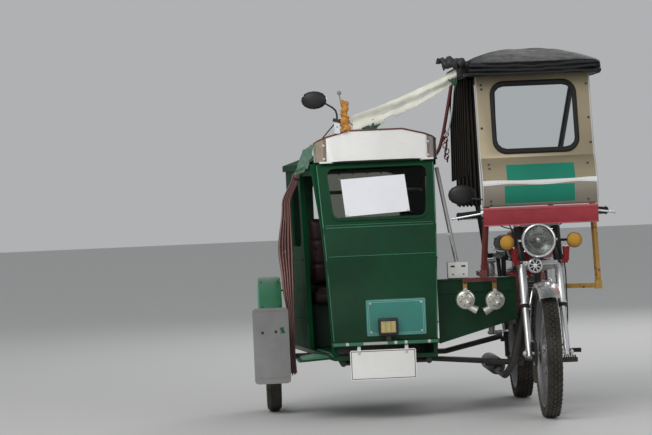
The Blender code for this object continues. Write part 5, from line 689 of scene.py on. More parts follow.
# cloth: sheets are grids whose points are laid out by one place function each
def layCloth(name, columns, rows, place, finish, thick, replaced=None, holes=None):
    # place(u, w) gives a point for u across and w down, both 0 to 1; holes(u, w) says where it is torn away
    bm = bmesh.new()
    bmesh.ops.create_grid(bm, x_segments=columns, y_segments=rows, size=.5)
    share = {v: (v.co.x + .5, .5 - v.co.y) for v in bm.verts}
    if holes:
        gone = [f for f in bm.faces if holes(*(sum(share[v][way] for v in f.verts) / 4 for way in (0, 1)))]
        bmesh.ops.delete(bm, geom=gone, context="FACES")
    for v in bm.verts:
        v.co = place(*share[v])
    area = sum(f.calc_area() for f in bm.faces)
    top = [v for v in bm.verts if share[v][1] < 1e-6]
    top.sort(key=lambda v: share[v][0])
    bmesh.ops.recalc_face_normals(bm, faces=bm.faces)
    piece = finishPiece(name, bm, finish, replaced=replaced, thick=thick, levels=1, smooth=180)


# canopy over the rider
panelValues = {"kneeZ": 1.19, "kneeY": .232, "topZ": 1.592, "topY": .33, "lowZ": .965, "lowY": .172, "ridgeY": .158}
roofValues = {"x": (-.32, .344), "y": (.237, 1.418), "rim": 1.5705, "eave": 1.628, "crown": .086, "rolls": 3}
panelStrips = (                # name, low corner, high corner, lift, finish
    # panelPaintedShade is a darker strip that paints the shade on the down-facing sheet below the ridge
    ("panelPaintedShade", (-.2484, .967), (.2724, 1.064), .0004, "paintedShadeSteel"),
    ("panelStripe0", (-.138, 1.08), (.176, 1.156), .0007, "tapeGreen"),
    ("panelStripe1", (-.152, .979), (.171, 1.06), .0007, "tapeGreen"),
    ("panelHem", (.2725, .968), (.2775, 1.588), .0009, "zincSheet"),
    ("panelHemLeft", (-.2535, .968), (-.2485, 1.588), .0009, "zincSheet"))
panelBolts = ((-.228, 1.532), (-.226, 1.512), (-.216, 1.16), (-.215, 1.141), (-.217, .992), (-.216, .973),
              (.262, 1.362), (.264, 1.246), (.262, 1.52), (.232, .985), (.24, 1.15), (-.236, 1.33))


def panelY(z):
    v = panelValues
    if z > v["kneeZ"]:
        return v["kneeY"] + (v["topY"] - v["kneeY"]) * (z - v["kneeZ"]) / (v["topZ"] - v["kneeZ"])
    t = (v["kneeZ"] - z) / (v["kneeZ"] - v["lowZ"])
    swell = (v["kneeY"] - v["ridgeY"]) * .62 * sin(pi * min(1, max(0, t))) ** .8
    return v["kneeY"] + (v["lowY"] - v["kneeY"]) * t - swell


def windshieldTrim():
    for name, low, high, lift, finish in panelStrips:
        faceStrip(name, "windshield_panel", low, high, lift, finish)
    bolts("panelBolts", [(x, panelY(z) - .0014, z) for x, z in panelBolts], (0, -1, .15), (.0042, .0034),
          "darkEngine", .0004)
    ring = []                                            # round rubber moulding over the gasket
    for cx, cz, start in ((.148, 1.481, 0), (-.124, 1.481, 90), (-.124, 1.271, 180), (.148, 1.271, 270)):
        for k in range(9):
            a = radians(start + k * 11.25)
            z = cz + sin(a) * .055
            ring.append((cx + cos(a) * .055, panelY(z) - .0005, z))
    pipes("gasketMoulding", [(ring + [ring[0]], .0112)], "blackRubber", curved=False)
    bm = bmesh.new()                                     # raised ridge between the stripes, in near-white steel that paints the ridge's highlight
    bmesh.ops.create_grid(bm, x_segments=60, y_segments=10, size=.5)
    for v in bm.verts:
        u, w = v.co.x + .5, v.co.y
        x = -.2525 + .529 * u
        wide = .019 + .004 * sin(u * 13 + 1) + .003 * noiseAt(u * 5, 1, 1)
        z = 1.074 + w * wide + .0025 * sin(u * 9)
        v.co = Vector((x, panelY(z) - .0012 - .0034 * cos(w * pi) ** 2, z))
    finishPiece("panelRidgeHighlight", bm, "ridgeHighlightSteel", thick=.0005, smooth=180)


def roofPlace(u, w):   # square to round-cornered plan; the outer fifth rolls down over the rim in sagging folds
    v = roofValues
    a, b = u * 2 - 1, 1 - w * 2
    ring = max(abs(a), abs(b))
    if ring < 1e-6:
        a, b, ring = 1e-6, 0.0, 1e-6
    a, b = a / ring, b / ring
    corner = (abs(a) ** 9 + abs(b) ** 9) ** (-1 / 9)
    midX, midY = sum(v["x"]) / 2, sum(v["y"]) / 2
    halfX, halfY = (v["x"][1] - v["x"][0]) / 2, (v["y"][1] - v["y"][0]) / 2
    angle = atan2(b * halfY, a * halfX)
    if ring <= .8:
        s = ring / .8
        sag = .01 * sin(pi * s) * (.5 + .5 * cos(angle * 4))
        z = v["eave"] + v["crown"] * (1 - s ** 2.1) - sag
        z += .0035 * noiseAt(a * s * 4, b * s * 7, 3.1) * min(1, 3 * (1 - s) + .3)
        out = s * .985
    else:
        s = (ring - .8) / .2
        sway = .25 * noiseAt(cos(angle) * 2.3, sin(angle) * 3.1, .7)
        fold = sin(pi * v["rolls"] * (s + sway * .25)) ** 2
        ripple = .004 * noiseAt(cos(angle) * 5, sin(angle) * 9, s)
        z = max(v["eave"] - (v["eave"] - v["rim"]) * s + ripple, v["rim"] - .004)
        out = .985 + .015 * min(1, s * 4) - .01 * (1 - fold) * min(1, s * 3)
    return Vector((midX + halfX * a * corner * out, midY + halfY * b * corner * out, z))


def canopyCloth():
    layCloth("canopyVinyl", 72, 110, roofPlace, "roofVinyl", replaced="canopy_roof", thick=.005)
    v = roofValues
    for name, offset, radius in (("rimRollUpper", .012, .0075), ("rimRollMiddle", .031, .0085),
                                 ("rimRollLower", .05, .008)):
        edge = []
        for step in range(41):
            u = step / 40
            x = v["x"][0] + .035 + (v["x"][1] - v["x"][0] - .07) * u
            droop = .009 * sin(pi * u) + .006 * noiseAt(u * 7, offset * 90, 1)
            edge.append((x, v["y"][0] + .0045, max(v["rim"] + .0065, v["eave"] - offset - droop + .004)))
        pipes(name, [(edge, radius)], "rollVinyl")

    def wrapPlace(u, w):                                # crumpled strip wound round the corner of the roof
        turn = tau * 2.1 * u
        crumple = noiseAt(u * 9, w * 3, 2.2)
        radius = .025 + .015 * crumple - .007 * u
        along = (w - .5) * .07 + u * .1 - .062
        return Vector((-.34 + along, .268 + radius * cos(turn) * .9 + .03 * (u - .5),
                       1.636 + radius * sin(turn) * 1.1 + .014 * noiseAt(u * 8, w * 4, 5)))
    layCloth("cornerWrap", 90, 18, wrapPlace, "tornWrap", thick=.0016)

    def valancePlace(u, w):
        x = -.2525 + .529 * u
        z = .9615 - .084 * w
        wave = .002 * sin(u * 31) * w + .0016 * noiseAt(u * 9, w * 3, 4)
        return Vector((x, .1655 - .0045 * sin(pi * w) + wave * .8, z))
    layCloth("valanceCloth", 90, 16, valancePlace, "redVinyl", replaced="valance",
             thick=.003)
    runs = []
    for z, radius in ((.9575, .0046), (.9515, .0022), (.88, .003)):
        runs.append(([(-.253 + .53 * u / 6, .162 - .0006 * (u % 2), z) for u in range(7)], radius))
    pipes("valancePiping", runs, "redPiping")

    def curtainPlace(u, w):
        z = 1.585 - .62 * w
        half = .06 * (.78 + .22 * w)
        pleat = sin(u * tau * 6 + .5 * noiseAt(u * 3, w * 2, 1)) * (.007 + .006 * w)
        return Vector((-.245 + (u - .5) * 2 * half, 1.045 + pleat, z + .004 * sin(u * 40) * w))
    layCloth("riderCurtainPleats", 96, 30, curtainPlace, "blackCloth",
             replaced="rider_curtain", thick=.0018)

    def backDrop(u, w):                                 # the longer black curtain behind the panel's left post
        z = 1.578 - .46 * w - .03 * u * w
        pleat = sin(u * tau * 8 + .8 * noiseAt(u * 3, w * 1.5, 7)) * .014
        return Vector((-.27 - .062 * u + .3 * pleat - .008 * w, .62 + .22 * u + pleat, z))
    layCloth("sideCurtainPleats", 110, 30, backDrop, "blackCloth",
             thick=.0018)


def tarpStrip():
    start, end = Vector((-.3226, .5, 1.59)), Vector((-.823, .4911, 1.37))

    def place(u, w):
        p = start.lerp(end, u) - Vector((0, 0, .012 * sin(pi * u)))
        half = .045 * (.62 + .48 * u)
        crease = .006 * sin(w * 9 + u * 5) + .004 * noiseAt(u * 8, w * 3, 9)
        fray = .01 * noiseAt(u * 22, 3.3, 1) if w > .9 else .003 * noiseAt(u * 15, 6.1, 1)
        side = (w - .5) * -2
        return p + Vector((0, crease - .006 * side * (1 - u), side * half + (-abs(fray) if w > .9 else fray)))

    def torn(u, w):
        slit = .56 + .05 * sin(u * 7) + .02 * noiseAt(u * 30, 0, 0)
        return (.22 < u < .72 and abs(w - slit) < .028 + .03 * noiseAt(u * 17, 1, 2)) or \
               (u > .8 and w > .78 and noiseAt(u * 20, w * 4, 5) > -.1) or \
               (.6 < u < .7 and w > .8)
    layCloth("tarpStrip", 110, 26, place, "creamTarp",
             replaced="tarp_strip", thick=.0014, holes=torn)

    def tuft(centre, reach, seed):
        def tuftPlace(u, w):
            flare = 1 - .7 * w
            return centre + Vector(((u - .5) * reach * flare + reach * .7 * w * (.4 - seed % 2),
                                    .004 + .006 * noiseAt(u * 5, w * 4, seed),
                                    -reach * .8 * w + .008 * noiseAt(u * 8, w * 3, seed + 4)))
        return tuftPlace
    for number, (x, z, reach) in enumerate(((-.755, 1.372, .075), (-.7, 1.398, .06), (-.345, 1.575, .045))):
        layCloth("tarpTuft%d" % number, 20, 14, tuft(Vector((x, .488, z)), reach, number), "greenTarp",
                 thick=.0012)


windshieldTrim()
canopyCloth()
tarpStrip()
print("canopy made")


# sidecar: front, sign, plates and lamp
carValues = {"frontY": .3, "lowZ": .362, "creaseZ": .755, "ledgeZ": .905, "ledgeY": .335, "browZ": 1.195,
             "browY": .5, "inX": -.48, "outX": -.962, "browInX": -.451, "browOutX": -1.003}
signValues = {"x": (-1.008, -.429), "z": (1.203, 1.35), "y": .48, "back": .11,
              "edge": ((-1.0, .64, 1.0), (-.93, .72, .32), (-.8, .82, .06), (-.44, 1.0, 0), (0, 1.0, 0),
                       (.44, 1.0, 0), (.8, .82, .06), (.93, .72, .32), (1.0, .64, 1.0))}   # across, top, back
whitePlate = {"x": -.737, "w": .306, "h": .139, "top": .327, "y": .281}
tealPlate = {"x": -.668, "w": .278, "h": .17, "z": .474, "y": .2949}
notice = ((-.893, 1.122), (-.592, 1.135), (-.579, .963), (-.88, .948))     # corners, clockwise from top left


def carY(z):
    v = carValues
    if z <= v["creaseZ"]:
        return v["frontY"]
    if z <= v["ledgeZ"]:
        return v["frontY"] + (v["ledgeY"] - v["frontY"]) * (z - v["creaseZ"]) / (v["ledgeZ"] - v["creaseZ"])
    return v["ledgeY"] + (v["browY"] - v["ledgeY"]) * (z - v["ledgeZ"]) / (v["browZ"] - v["ledgeZ"])


def carX(inner, z):
    v = carValues
    share = (z - v["lowZ"]) / (v["browZ"] - v["lowZ"])
    low, high = (v["inX"], v["browInX"]) if inner else (v["outX"], v["browOutX"])
    return low + (high - low) * share


def frontBeads():
    # raised beads and edge beads in a lighter green that paints their highlights
    runs = []
    for z, radius in ((.742, .0034), (.764, .0026), (.897, .004), (.909, .0024)):
        left, right = carX(False, z) + .012, carX(True, z) - .012
        runs.append(([(left + (right - left) * k / 6, carY(z) - .0012, z + .0012 * (k % 2)) for k in range(7)], radius))
    pipes("frontBeads", runs, "highlightGreen")
    runs = []
    for inner in (False, True):
        runs.append(([(carX(inner, z) + (-.002 if inner else .002), carY(z) - .0015, z)
                      for z in (.372, .56, .75, .9, 1.05, 1.19)], .003))
    pipes("frontEdgeBeads", runs, "highlightGreen", curved=False)
    low, high = carX(False, .362) - .004, carX(True, .362) + .004
    lipZ = .3575
    boxes("lipFace", [(((low + high) / 2, .269, .3572), (high - low, .0016, .014))], "brightGreen", .0005)
    boxes("lipReflector", [((-.77, .268, lipZ), (.112, .0012, .0125))] +
          [((-.812 + k * .021, .2672, lipZ), (.009, .0012, .0105)) for k in range(5)], "zincSheet", .0004)
    bolts("frontBolts", [(x, .2685, lipZ) for x in (-.676, -.628, -.9, -.52)], ahead, (.0055, .0045),
          "satinChrome", .0004)
    bolts("frontRivets", [(carX(inner, z) + (-.012 if inner else .012), carY(z) - .0008, z)
                          for z in (.42, .62, .82, 1.02) for inner in (False, True)], (0, -1, .1), (.0026, .002),
          "greenPaint")


def windowTrim():
    bm = bmesh.new()                                     # notice sheet, blank, curling off the glass
    bmesh.ops.create_grid(bm, x_segments=16, y_segments=10, size=.5)
    for v in bm.verts:
        u, w = v.co.x + .5, .5 - v.co.y
        top = Vector(notice[0]).lerp(Vector(notice[1]), u)
        low = Vector(notice[3]).lerp(Vector(notice[2]), u)
        x, z = top.lerp(low, w)
        curl = .004 * (abs(u - .5) * 2) ** 3 + .0018 * noiseAt(u * 3, w * 3, 2)
        v.co = Vector((x, carY(z) - .0035 - curl, z))
    finishPiece("noticeSheet", bm, "paper", thick=.0004, smooth=180)
    boxes("noticeTape", [((x, carY(z) - .0066, z), (.03, .0005, .014), Matrix.Rotation(turn, 4, "Y"))
                         for (x, z), turn in zip(notice, (.5, -.6, .4, -.5))], "clearGlass", .0001)


def signTrim():
    v = signValues
    mid, half = sum(v["x"]) / 2, (v["x"][1] - v["x"][0]) / 2
    top, low = [], []
    for share, high, back in v["edge"]:
        x, y = mid + half * share, v["y"] + v["back"] * back
        top.append((x, y + .003, v["z"][0] + (v["z"][1] - v["z"][0]) * high))
        low.append((x, y - .001, v["z"][0] + .001))
    pipes("signTopEdge", [(top, .004)], "redBrownTrim", curved=False)
    pipes("signLowEdge", [(low, .0048)], "blackRubber", curved=False)
    ends = ((-1.0075, -.968, "signEnd"), (-.967, -.953, "beigeSteel"), (-.477, -.468, "beigeSteel"),
            (-.4665, -.4625, "redPiping"), (-.461, -.447, "zincSheet"), (-.446, -.4305, "signEnd"))
    for number, (x0, x1, finish) in enumerate(ends):
        faceStrip("signBand%d" % number, "sign_board", (x0, 1.2095), (x1, 1.34), .0009, finish, reach=.08)
    bolts("signBolts", [(x, y, z) for x in (-.965, -.473) for y, z in ((.4835, 1.222), (.4865, 1.285))], ahead,
          (.004, .0035), "satinChrome", .0004)


def plateFrame(name, plate, z, finish, inset):
    w, h, rows = plate["w"] / 2 - inset, plate["h"] / 2 - inset, []
    for side in (-1, 1):
        rows += [((plate["x"], plate["y"] - .0003, z + side * h), (w * 2 + .0028, .0008, .0028)),
                 ((plate["x"] + side * w, plate["y"] - .0003, z), (.0028, .0008, h * 2 - .0028))]
    boxes(name, rows, finish, .0002)


spotValues = {"middle": (-.708, .432), "guard": (-.7465, -.6695, .402, .462), "guardY": .2485}


def platesAndLamp():
    plateFrame("whitePlateLine", whitePlate, whitePlate["top"] - whitePlate["h"] / 2, "blackPaint", .006)
    plateFrame("tealPlateLine", tealPlate, tealPlate["z"], "plateEdge", .006)
    plateFrame("tealPlateInner", tealPlate, tealPlate["z"], "plateEdge", .013)
    bm = bmesh.new()
    for side in (-1, 1):
        hexBolt(bm, (whitePlate["x"] + side * .11, whitePlate["y"] - .0004, whitePlate["top"] - .014), ahead,
                .005, .004)
        for rise in (-.066, .066):
            hexBolt(bm, (tealPlate["x"] + side * .118, tealPlate["y"] - .0004, tealPlate["z"] + rise), ahead,
                    .0034, .003)
    finishPiece("plateBolts", bm, "satinChrome", bevel=.0004)
    v = spotValues
    x, z = v["middle"]
    boxes("spotReflector", [((x, .2556, z), (.068, .0012, .052))], "chrome", .0004)
    bm = bmesh.new()
    shape = Matrix.Translation((x, .2525, z)) @ Matrix.Diagonal((.069, .0045, .053, 1))
    bmesh.ops.create_cube(bm, size=1, matrix=shape)
    bmesh.ops.subdivide_edges(bm, edges=bm.edges[:], cuts=3, use_grid_fill=True)
    finishPiece("spotGlass", bm, "yellowLens", bevel=.0012)
    bm = bmesh.new()
    left, right, low, high = v["guard"]
    for barX in (-.72, -.696):
        stick(bm, (barX, .25, .403), (barX, .25, .461), .0007)
    for barZ in (low, high):
        stick(bm, (left, v["guardY"], barZ), (right, v["guardY"], barZ), .0018)
    for barX in (left, right):
        stick(bm, (barX, v["guardY"], low), (barX, v["guardY"], high), .0018)
    hexBolt(bm, (x, .274, .38), ahead, .006, .005)
    finishPiece("spotGuard", bm, "blackPaint")


frontBeads()
windowTrim()
signTrim()
platesAndLamp()
print("sidecar front made")


# sidecar: side opening, step, wheel guard and flap
curtainShares = ((0, .12, .05), (.3, .16, .22), (.46, .22, .4), (.62, .26, .52), (.85, .22, .24), (1, .724, -.35))


def curtainSpan(height):
    for low, high in zip(curtainShares, curtainShares[1:]):
        if height <= high[0]:
            t = (height - low[0]) / (high[0] - low[0])
            t = t * t * (3 - 2 * t)
            return low[1] + (high[1] - low[1]) * t, low[2] + (high[2] - low[2]) * t
    return curtainShares[-1][1:]


def doorCurtain():
    def place(u, w):
        height = 1 - w
        foot = max(0, 1 - height / .35)                  # the hem stays a hand wide
        inner, outer = (max(value, low * foot) if foot else value
                        for value, low in zip(curtainSpan(height), (.18, .28)))
        x1, x0 = -1.142 + .1 * inner, -1.142 - .1 * outer
        z = .187 + .973 * height
        drift = noiseAt(u * 4, w * 2.2, 3)
        pleat = sin(u * tau * 5.5 + drift * 1.3) * (.012 + .012 * w ** .5)
        return Vector((x0 + (x1 - x0) * (u + .03 * sin(u * tau * 5.5 + 1.2)), .955 + pleat,
                       z + .006 * sin(u * 23) * w))
    layCloth("doorCurtainPleats", 150, 60, place, "purpleCloth",
             replaced="door_curtain", thick=.0016)
    turned("curtainTie", [(.016, -.006), (.021, 0), (.016, .006), (.013, 0)], (-1.09, .955, 1.135), (.25, 0, 1), 24,
           "blackCloth")

    def flapPlace(u, w):                                 # crumpled tarp at the sign's left end
        a = Vector((-1.004, .56, 1.3)).lerp(Vector((-1.06, .64, 1.268)), u)
        b = Vector((-1.04, .6, 1.176)).lerp(Vector((-1.106, .7, 1.15)), u)
        crumple = Vector((noiseAt(u * 4, w * 5, 1), noiseAt(u * 4, w * 5, 7),
                          noiseAt(u * 5, w * 5, 4))) * .016
        return a.lerp(b, w) + crumple * (.35 + .65 * w)
    layCloth("roofFlap", 26, 30, flapPlace, "sunBleached", thick=.0015)


guardValues = {"x": -1.242, "y": 1.12, "z": .295, "bolts": (.04, .366), "rolls": (.0535, .343)}


def guardPlace(key, side, angle):                        # a place on the sidecar wheel's guard
    v = guardValues
    off, r = v[key]
    return v["x"] + side * off, v["y"] + cos(angle) * r, v["z"] + sin(angle) * r


def stepAndGuards():
    pipes("stepEdge", [([(-1.1245, .335, .284), (-1.1245, .62, .273), (-1.1245, .938, .264)], .0045)], "tapeGreen",
          curved=False)
    pipes("sillBead", [([(-.966, .33, .302), (-.975, .62, .302), (-1.02, .95, .302)], .004)], "brightGreen",
          curved=False)
    bm = bmesh.new()
    for k in range(9):                                   # ribs pressed in the step plate
        y = .38 + k * .065
        share = (y - .335) / .6
        stick(bm, (-.985, y, .2945 - .002 * share), (-1.11, y, .2885 - .016 * share), .0026, 8)
    finishPiece("stepRibs", bm, "brightGreen")
    bolts("flapBolts", [(-1.286, .8, .402), (-1.222, .8, .405)], ahead, (.005, .0018), "oliveRubber", .0004)
    smudges = ((-1.191, .411, .014, .03, .2), (-1.184, .404, .01, .018, -.5), (-1.198, .418, .008, .014, .6))
    boxes("flapSmudge", [((x, .79965, z), (w, .0003, h), Matrix.Rotation(turn, 4, "Y"))   # paint rubbed on the flap
                         for x, z, w, h, turn in smudges], "brightGreen", .0001)
    bm = bmesh.new()
    for angle in (2.45, 1.9, 1.2, .6):
        for side in (-1, 1):
            hexBolt(bm, guardPlace("bolts", side, angle), (0, cos(angle), sin(angle)), .004, .0032)
    finishPiece("guardBolts", bm, "brightGreen", bevel=.0004)
    pipes("guardRolls", [([guardPlace("rolls", side, radians(149 - k * 13.9)) for k in range(11)], .0032)
                         for side in (-1, 1)], "mintEdge")         # rolled edges of the guard
    boxes("flapPressings", [((-1.245, .7992, z), (.15, .001, .004)) for z in (.185, .506)], "greySheet", .0004)


def roofFittings():
    # clamp at the foot of the roof mirror
    boxes("mirrorClamp", [((-.897, .484, 1.366), (.028, .016, .056))], "whitePlastic", .003)
    bm = bmesh.new()
    drum(bm, (-.897, .4755, 1.37), ahead, .003, .002, 12)
    brick(bm, (-.898, .486, 1.4), (.036, .026, .016), Matrix.Rotation(.3, 4, "Y"))
    finishPiece("clampBolt", bm, "blackPlastic", bevel=.002)

    def bandPlace(u, w):                                 # cloth band knotted round the upright
        turn = tau * u
        swell = .0215 + .006 * sin(w * tau * 4.2 + sin(turn))
        swell += .004 * noiseAt(u * 6, w * 9, 2)
        neck = swell * (1 - .35 * w)
        return Vector((-.859 + cos(turn) * neck, .487 + sin(turn) * neck * .8,
                       1.352 + .128 * w + .01 * sin(turn + w * 9)))
    layCloth("amberBand", 40, 48, bandPlace, "amberCord", thick=.0012)
    bm = bmesh.new()
    for x, z, r in ((-.868, 1.486, .0105), (-.849, 1.478, .012)):
        ball(bm, (x, .486, z), (r, r * .9, r * 1.1), 20)
    finishPiece("amberKnot", bm, "amberCord", smooth=60)
    bm = bmesh.new()
    ball(bm, (-.88, .5, 1.53), (.0105, .0105, .0105), 20)
    stick(bm, (-.88, .5, 1.522), (-.872, .5, 1.47), .003, 10)
    finishPiece("bandKnob", bm, "greySheet", smooth=60)
    pipes("mirrorStay", [([(-.895, .5, 1.398), (-.925, .54, 1.368), (-.99, .6, 1.292)], .003),
                         ([(-.888, .515, 1.404), (-.86, .56, 1.418), (-.8, .6, 1.36)], .0022)], "blackPaint")
    bm = bmesh.new()                                     # mirror's glass, on its far side
    ball(bm, (-.996, .655, 1.505), (.062, .0035, .043), 32)
    finishPiece("roofMirrorGlass", bm, "mirrorGlass", smooth=80)


doorCurtain()
stepAndGuards()
roofFittings()
print("sidecar side made")


# bike front: twin snail horns, fork covers, guard beads and bar trim
snailValues = {"barY": .3, "barZ": .63, "outX": -.342, "outZ": .54, "inX": -.205, "inZ": .532, "r": .047}


def snailHorns():
    v = snailValues
    bm = bmesh.new()                                     # maroon bracket bar and its hanger
    brick(bm, ((v["outX"] + v["inX"]) / 2, v["barY"], v["barZ"]), (v["inX"] - v["outX"] + .022, .0195, .0195))
    brick(bm, (-.262, v["barY"], v["barZ"] + .014), (.017, .0125, .022))
    finishPiece("snailBracket", bm, "maroonPaint", bevel=.0012, replaced="twin_horns")
    straps, discs, mouths, dark = bmesh.new(), bmesh.new(), bmesh.new(), bmesh.new()
    for x, z, turn in ((v["outX"], v["outZ"], -1), (v["inX"], v["inZ"], 1)):
        r = v["r"]
        brick(straps, (x, v["barY"] - .0005, (v["barZ"] + z + r * .8) / 2), (.02, .0055, v["barZ"] - z - r * .8))
        rings = [(0, r * .5), (.006, r * .52), (.008, r * .44), (.013, r * .46), (.016, r * .54), (.02, r * .54),
                 (.0225, r * .36), (.029, r * .32), (.031, r * .36), (.034, r * .3), (.041, r * .26),
                 (r * .95, r * .12), (r * .985, 0), (r * .95, -r * .15), (r * .8, -r * .48), (0, -r * .5)]
        lathe(discs, rings, (x, v["barY"], z), ahead, 56)
        drum(discs, (x, v["barY"] - r * .05, z + r * .98), (0, 1, 0), .0085, .01, 24)
        start = Vector((x, v["barY"] + r * .16, z - r * .55))
        end = Vector((x - turn * r * 1.12, v["barY"] + r * .1, z - r * 1.12))
        drum(mouths, (start + end) / 2, end - start, r * .3, (end - start).length, 28, r * .42)
        # painted shade: a thin black disc over each closed mouth stands for the dark inside of the trumpet
        drum(dark, end + (end - start).normalized() * .0006, end - start, r * .35, .0012, 28)
        # painted shade: black discs stand for the dark holes in the disc face
        for k in range(6):
            a = tau * k / 6 + .3
            hole = (x + cos(a) * .0255, v["barY"] - r * .345, z + sin(a) * .0255)
            drum(dark, hole, ahead, .0026, .002, 12)
        hexBolt(dark, (x, v["barY"] - .0035, v["barZ"] - .01), ahead, .005, .004)
    finishPiece("snailStraps", straps, "rustyYellow", bevel=.0012)
    finishPiece("snailDiscs", discs, "hornFace", smooth=45)
    finishPiece("snailMouths", mouths, "hornFace", bevel=.0008, smooth=50)
    finishPiece("snailDark", dark, "blackPlastic")


def forkCovers():
    bm = bmesh.new()                                     # black ears round the upper legs, beside the lamp
    axis = legPoint(1, 1) - legPoint(1, 0)
    for side in (-1, 1):
        drum(bm, legPoint(side, .54), axis, .0215, .18, 36)
        drum(bm, legPoint(side, .442), axis, .0225, .012, 36)
        brick(bm, legPoint(side, .56) + Vector((-side * .014, -.016, 0)), (.02, .03, .06),
              Matrix.Rotation(-rake, 4, "X"))
    finishPiece("forkEars", bm, "blackPaint", "steering", bevel=.001)
    bm = bmesh.new()                                     # red shrouds beside the lamp
    for side in (-1, 1):
        drum(bm, Vector((side * .118, .15, .74)), (0, -.25, 1), .013, .07, 24, .017)
        brick(bm, Vector((side * .112, .165, .708)), (.026, .03, .026))
    finishPiece("shroudPieces", bm, "redPaint", "steering", bevel=.003)
    bends = ((.104, .2473), (.1373, .2302), (.1431, .2251), (.1458, .2179), (.1545, .15))   # stalk sleeves
    pipes("indicatorSleeves", [([(side * x, y, .8) for x, y in bends], .0064) for side in (-1, 1)],
          "blackRubber", "steering", curved=False)


frontGuard = {"z": .295, "half": .046, "edgeR": .304, "rivetR": .314, "rivets": (116, 62, 8)}


def frontGuardTrim():
    v, runs, bm = frontGuard, [], bmesh.new()

    def guardPoint(off, r, angle):
        a = radians(angle)
        return off, cos(a) * r, v["z"] + sin(a) * r
    for side in (-1, 1):                                 # rolled edges and their rivets
        edge = [guardPoint(side * v["half"], v["edgeR"], 127 - k * (135 / 16)) for k in range(17)]
        runs.append((edge, .0026))
        for angle in v["rivets"]:
            drum(bm, guardPoint(side * (v["half"] + .001), v["rivetR"], angle), (side, 0, 0), .0052, .003, 6)
    pipes("frontGuardRolls", runs, "chrome", "steering")
    finishPiece("frontGuardBolts", bm, "satinChrome", "steering", bevel=.0004)
    bm = bmesh.new()
    for x in (-.02, .02):                                # rivets that hold the rubber flap
        drum(bm, (x, .3225, .222), astern, .0045, .003, 12)
    brick(bm, (0, .3215, .228), (.07, .002, .016))
    finishPiece("flapStrap", bm, "satinChrome", "steering", bevel=.0005)


def barTrim():
    grips, metal, black = bmesh.new(), bmesh.new(), bmesh.new()
    for side in (-1, 1):
        end = Vector((side * .3495, .44, .925))
        inward = Vector((-side, 0, 0))
        for k in range(17):                              # ribs on the grips
            drum(grips, end + inward * (.01 + k * .0064), inward, .0172, .003, 28)
        drum(grips, end + inward * .002, inward, .02, .004, 28)
        drum(grips, end + inward * .117, inward, .02, .005, 28)
        box = end + inward * .142
        brick(black, box + Vector((0, -.004, .012)), (.03, .026, .02))
        for k, (rise, out) in enumerate(((.0012, .019), (-.0016, .0185))):
            brick(metal, box + Vector((side * (-.006 + k * .011), -.004 - out, .009 + rise)), (.0075, .004, .006))
        hexBolt(metal, box + Vector((0, -.019, -.006)), ahead, .0032, .003)
        pivot = Vector((side * .212, .405, .922))        # lever blade and its perch
        brick(metal, pivot + Vector((side * .002, .006, 0)), (.03, .026, .016), Matrix.Rotation(side * .25, 4, "Z"))
        hexBolt(metal, pivot + Vector((0, 0, .007)), (0, 0, 1), .006, .004)
        ball(metal, (side * .3795, .3855, .9155), (.0066, .0066, .0066), 18)
    finishPiece("gripRibs", grips, "blackRubber", "steering", bevel=.0006)
    finishPiece("switchBoxes", black, "blackPlastic", "steering", bevel=.003)
    finishPiece("leverPerches", metal, "satinChrome", "steering", bevel=.001)
    bm = bmesh.new()                                     # bar clamps
    for x in (-.042, .042):
        drum(bm, (x, .33, .905), (1, 0, 0), .017, .024, 28)
        for y in (-.012, .012):
            hexBolt(bm, (x, .33 + y, .917), (0, 0, 1), .005, .006)
    finishPiece("barClamps", bm, "castAlloy", "steering", bevel=.001)
    bm = bmesh.new()                                     # mirror glass behind the head
    ball(bm, (-.33, .4165, 1.026), (.06, .003, .04), 32)
    finishPiece("barMirrorGlass", bm, "mirrorGlass", "steering", smooth=80)
    gauge = legPoint(0, .64) + Vector((0, -.045, .022))
    axis = legPoint(0, 1) - legPoint(0, 0)
    ring = [(.04, .0262), (.0455, .0262), (.0462, .0215), (.0462, .014), (.04, .014)]
    turned("gaugeBezel", ring, gauge, axis, 48, "chrome", "steering", smooth=50)
    lens = [(0, .0268), (.02, .0266), (.0405, .0256), (.0405, .0246), (0, .025)]
    turned("gaugeGlass", lens, gauge, axis, 40, "clearGlass", "steering", closed=False, smooth=60)
    bm = bmesh.new()
    turn = facing(axis)
    drum(bm, gauge + axis.normalized() * .0252, axis, .0385, .0004, 40)
    finishPiece("gaugeDial", bm, "blackPlastic", "steering")
    bm = bmesh.new()
    for k in range(13):
        a = radians(225 - k * 22.5)
        place = gauge + axis.normalized() * .0256 + turn.to_3x3() @ Vector((cos(a) * .033, sin(a) * .033, 0))
        brick(bm, place, (.0055, .001, .0002), turn @ Matrix.Rotation(a, 4, "Z"))
    brick(bm, gauge + axis.normalized() * .0258 + turn.to_3x3() @ Vector((-.011, -.008, 0)), (.026, .0012, .0002),
          turn @ Matrix.Rotation(radians(217), 4, "Z"))
    finishPiece("gaugeMarks", bm, "whitePlastic", "steering")


snailHorns()
forkCovers()
frontGuardTrim()
barTrim()
print("bars and horns made")


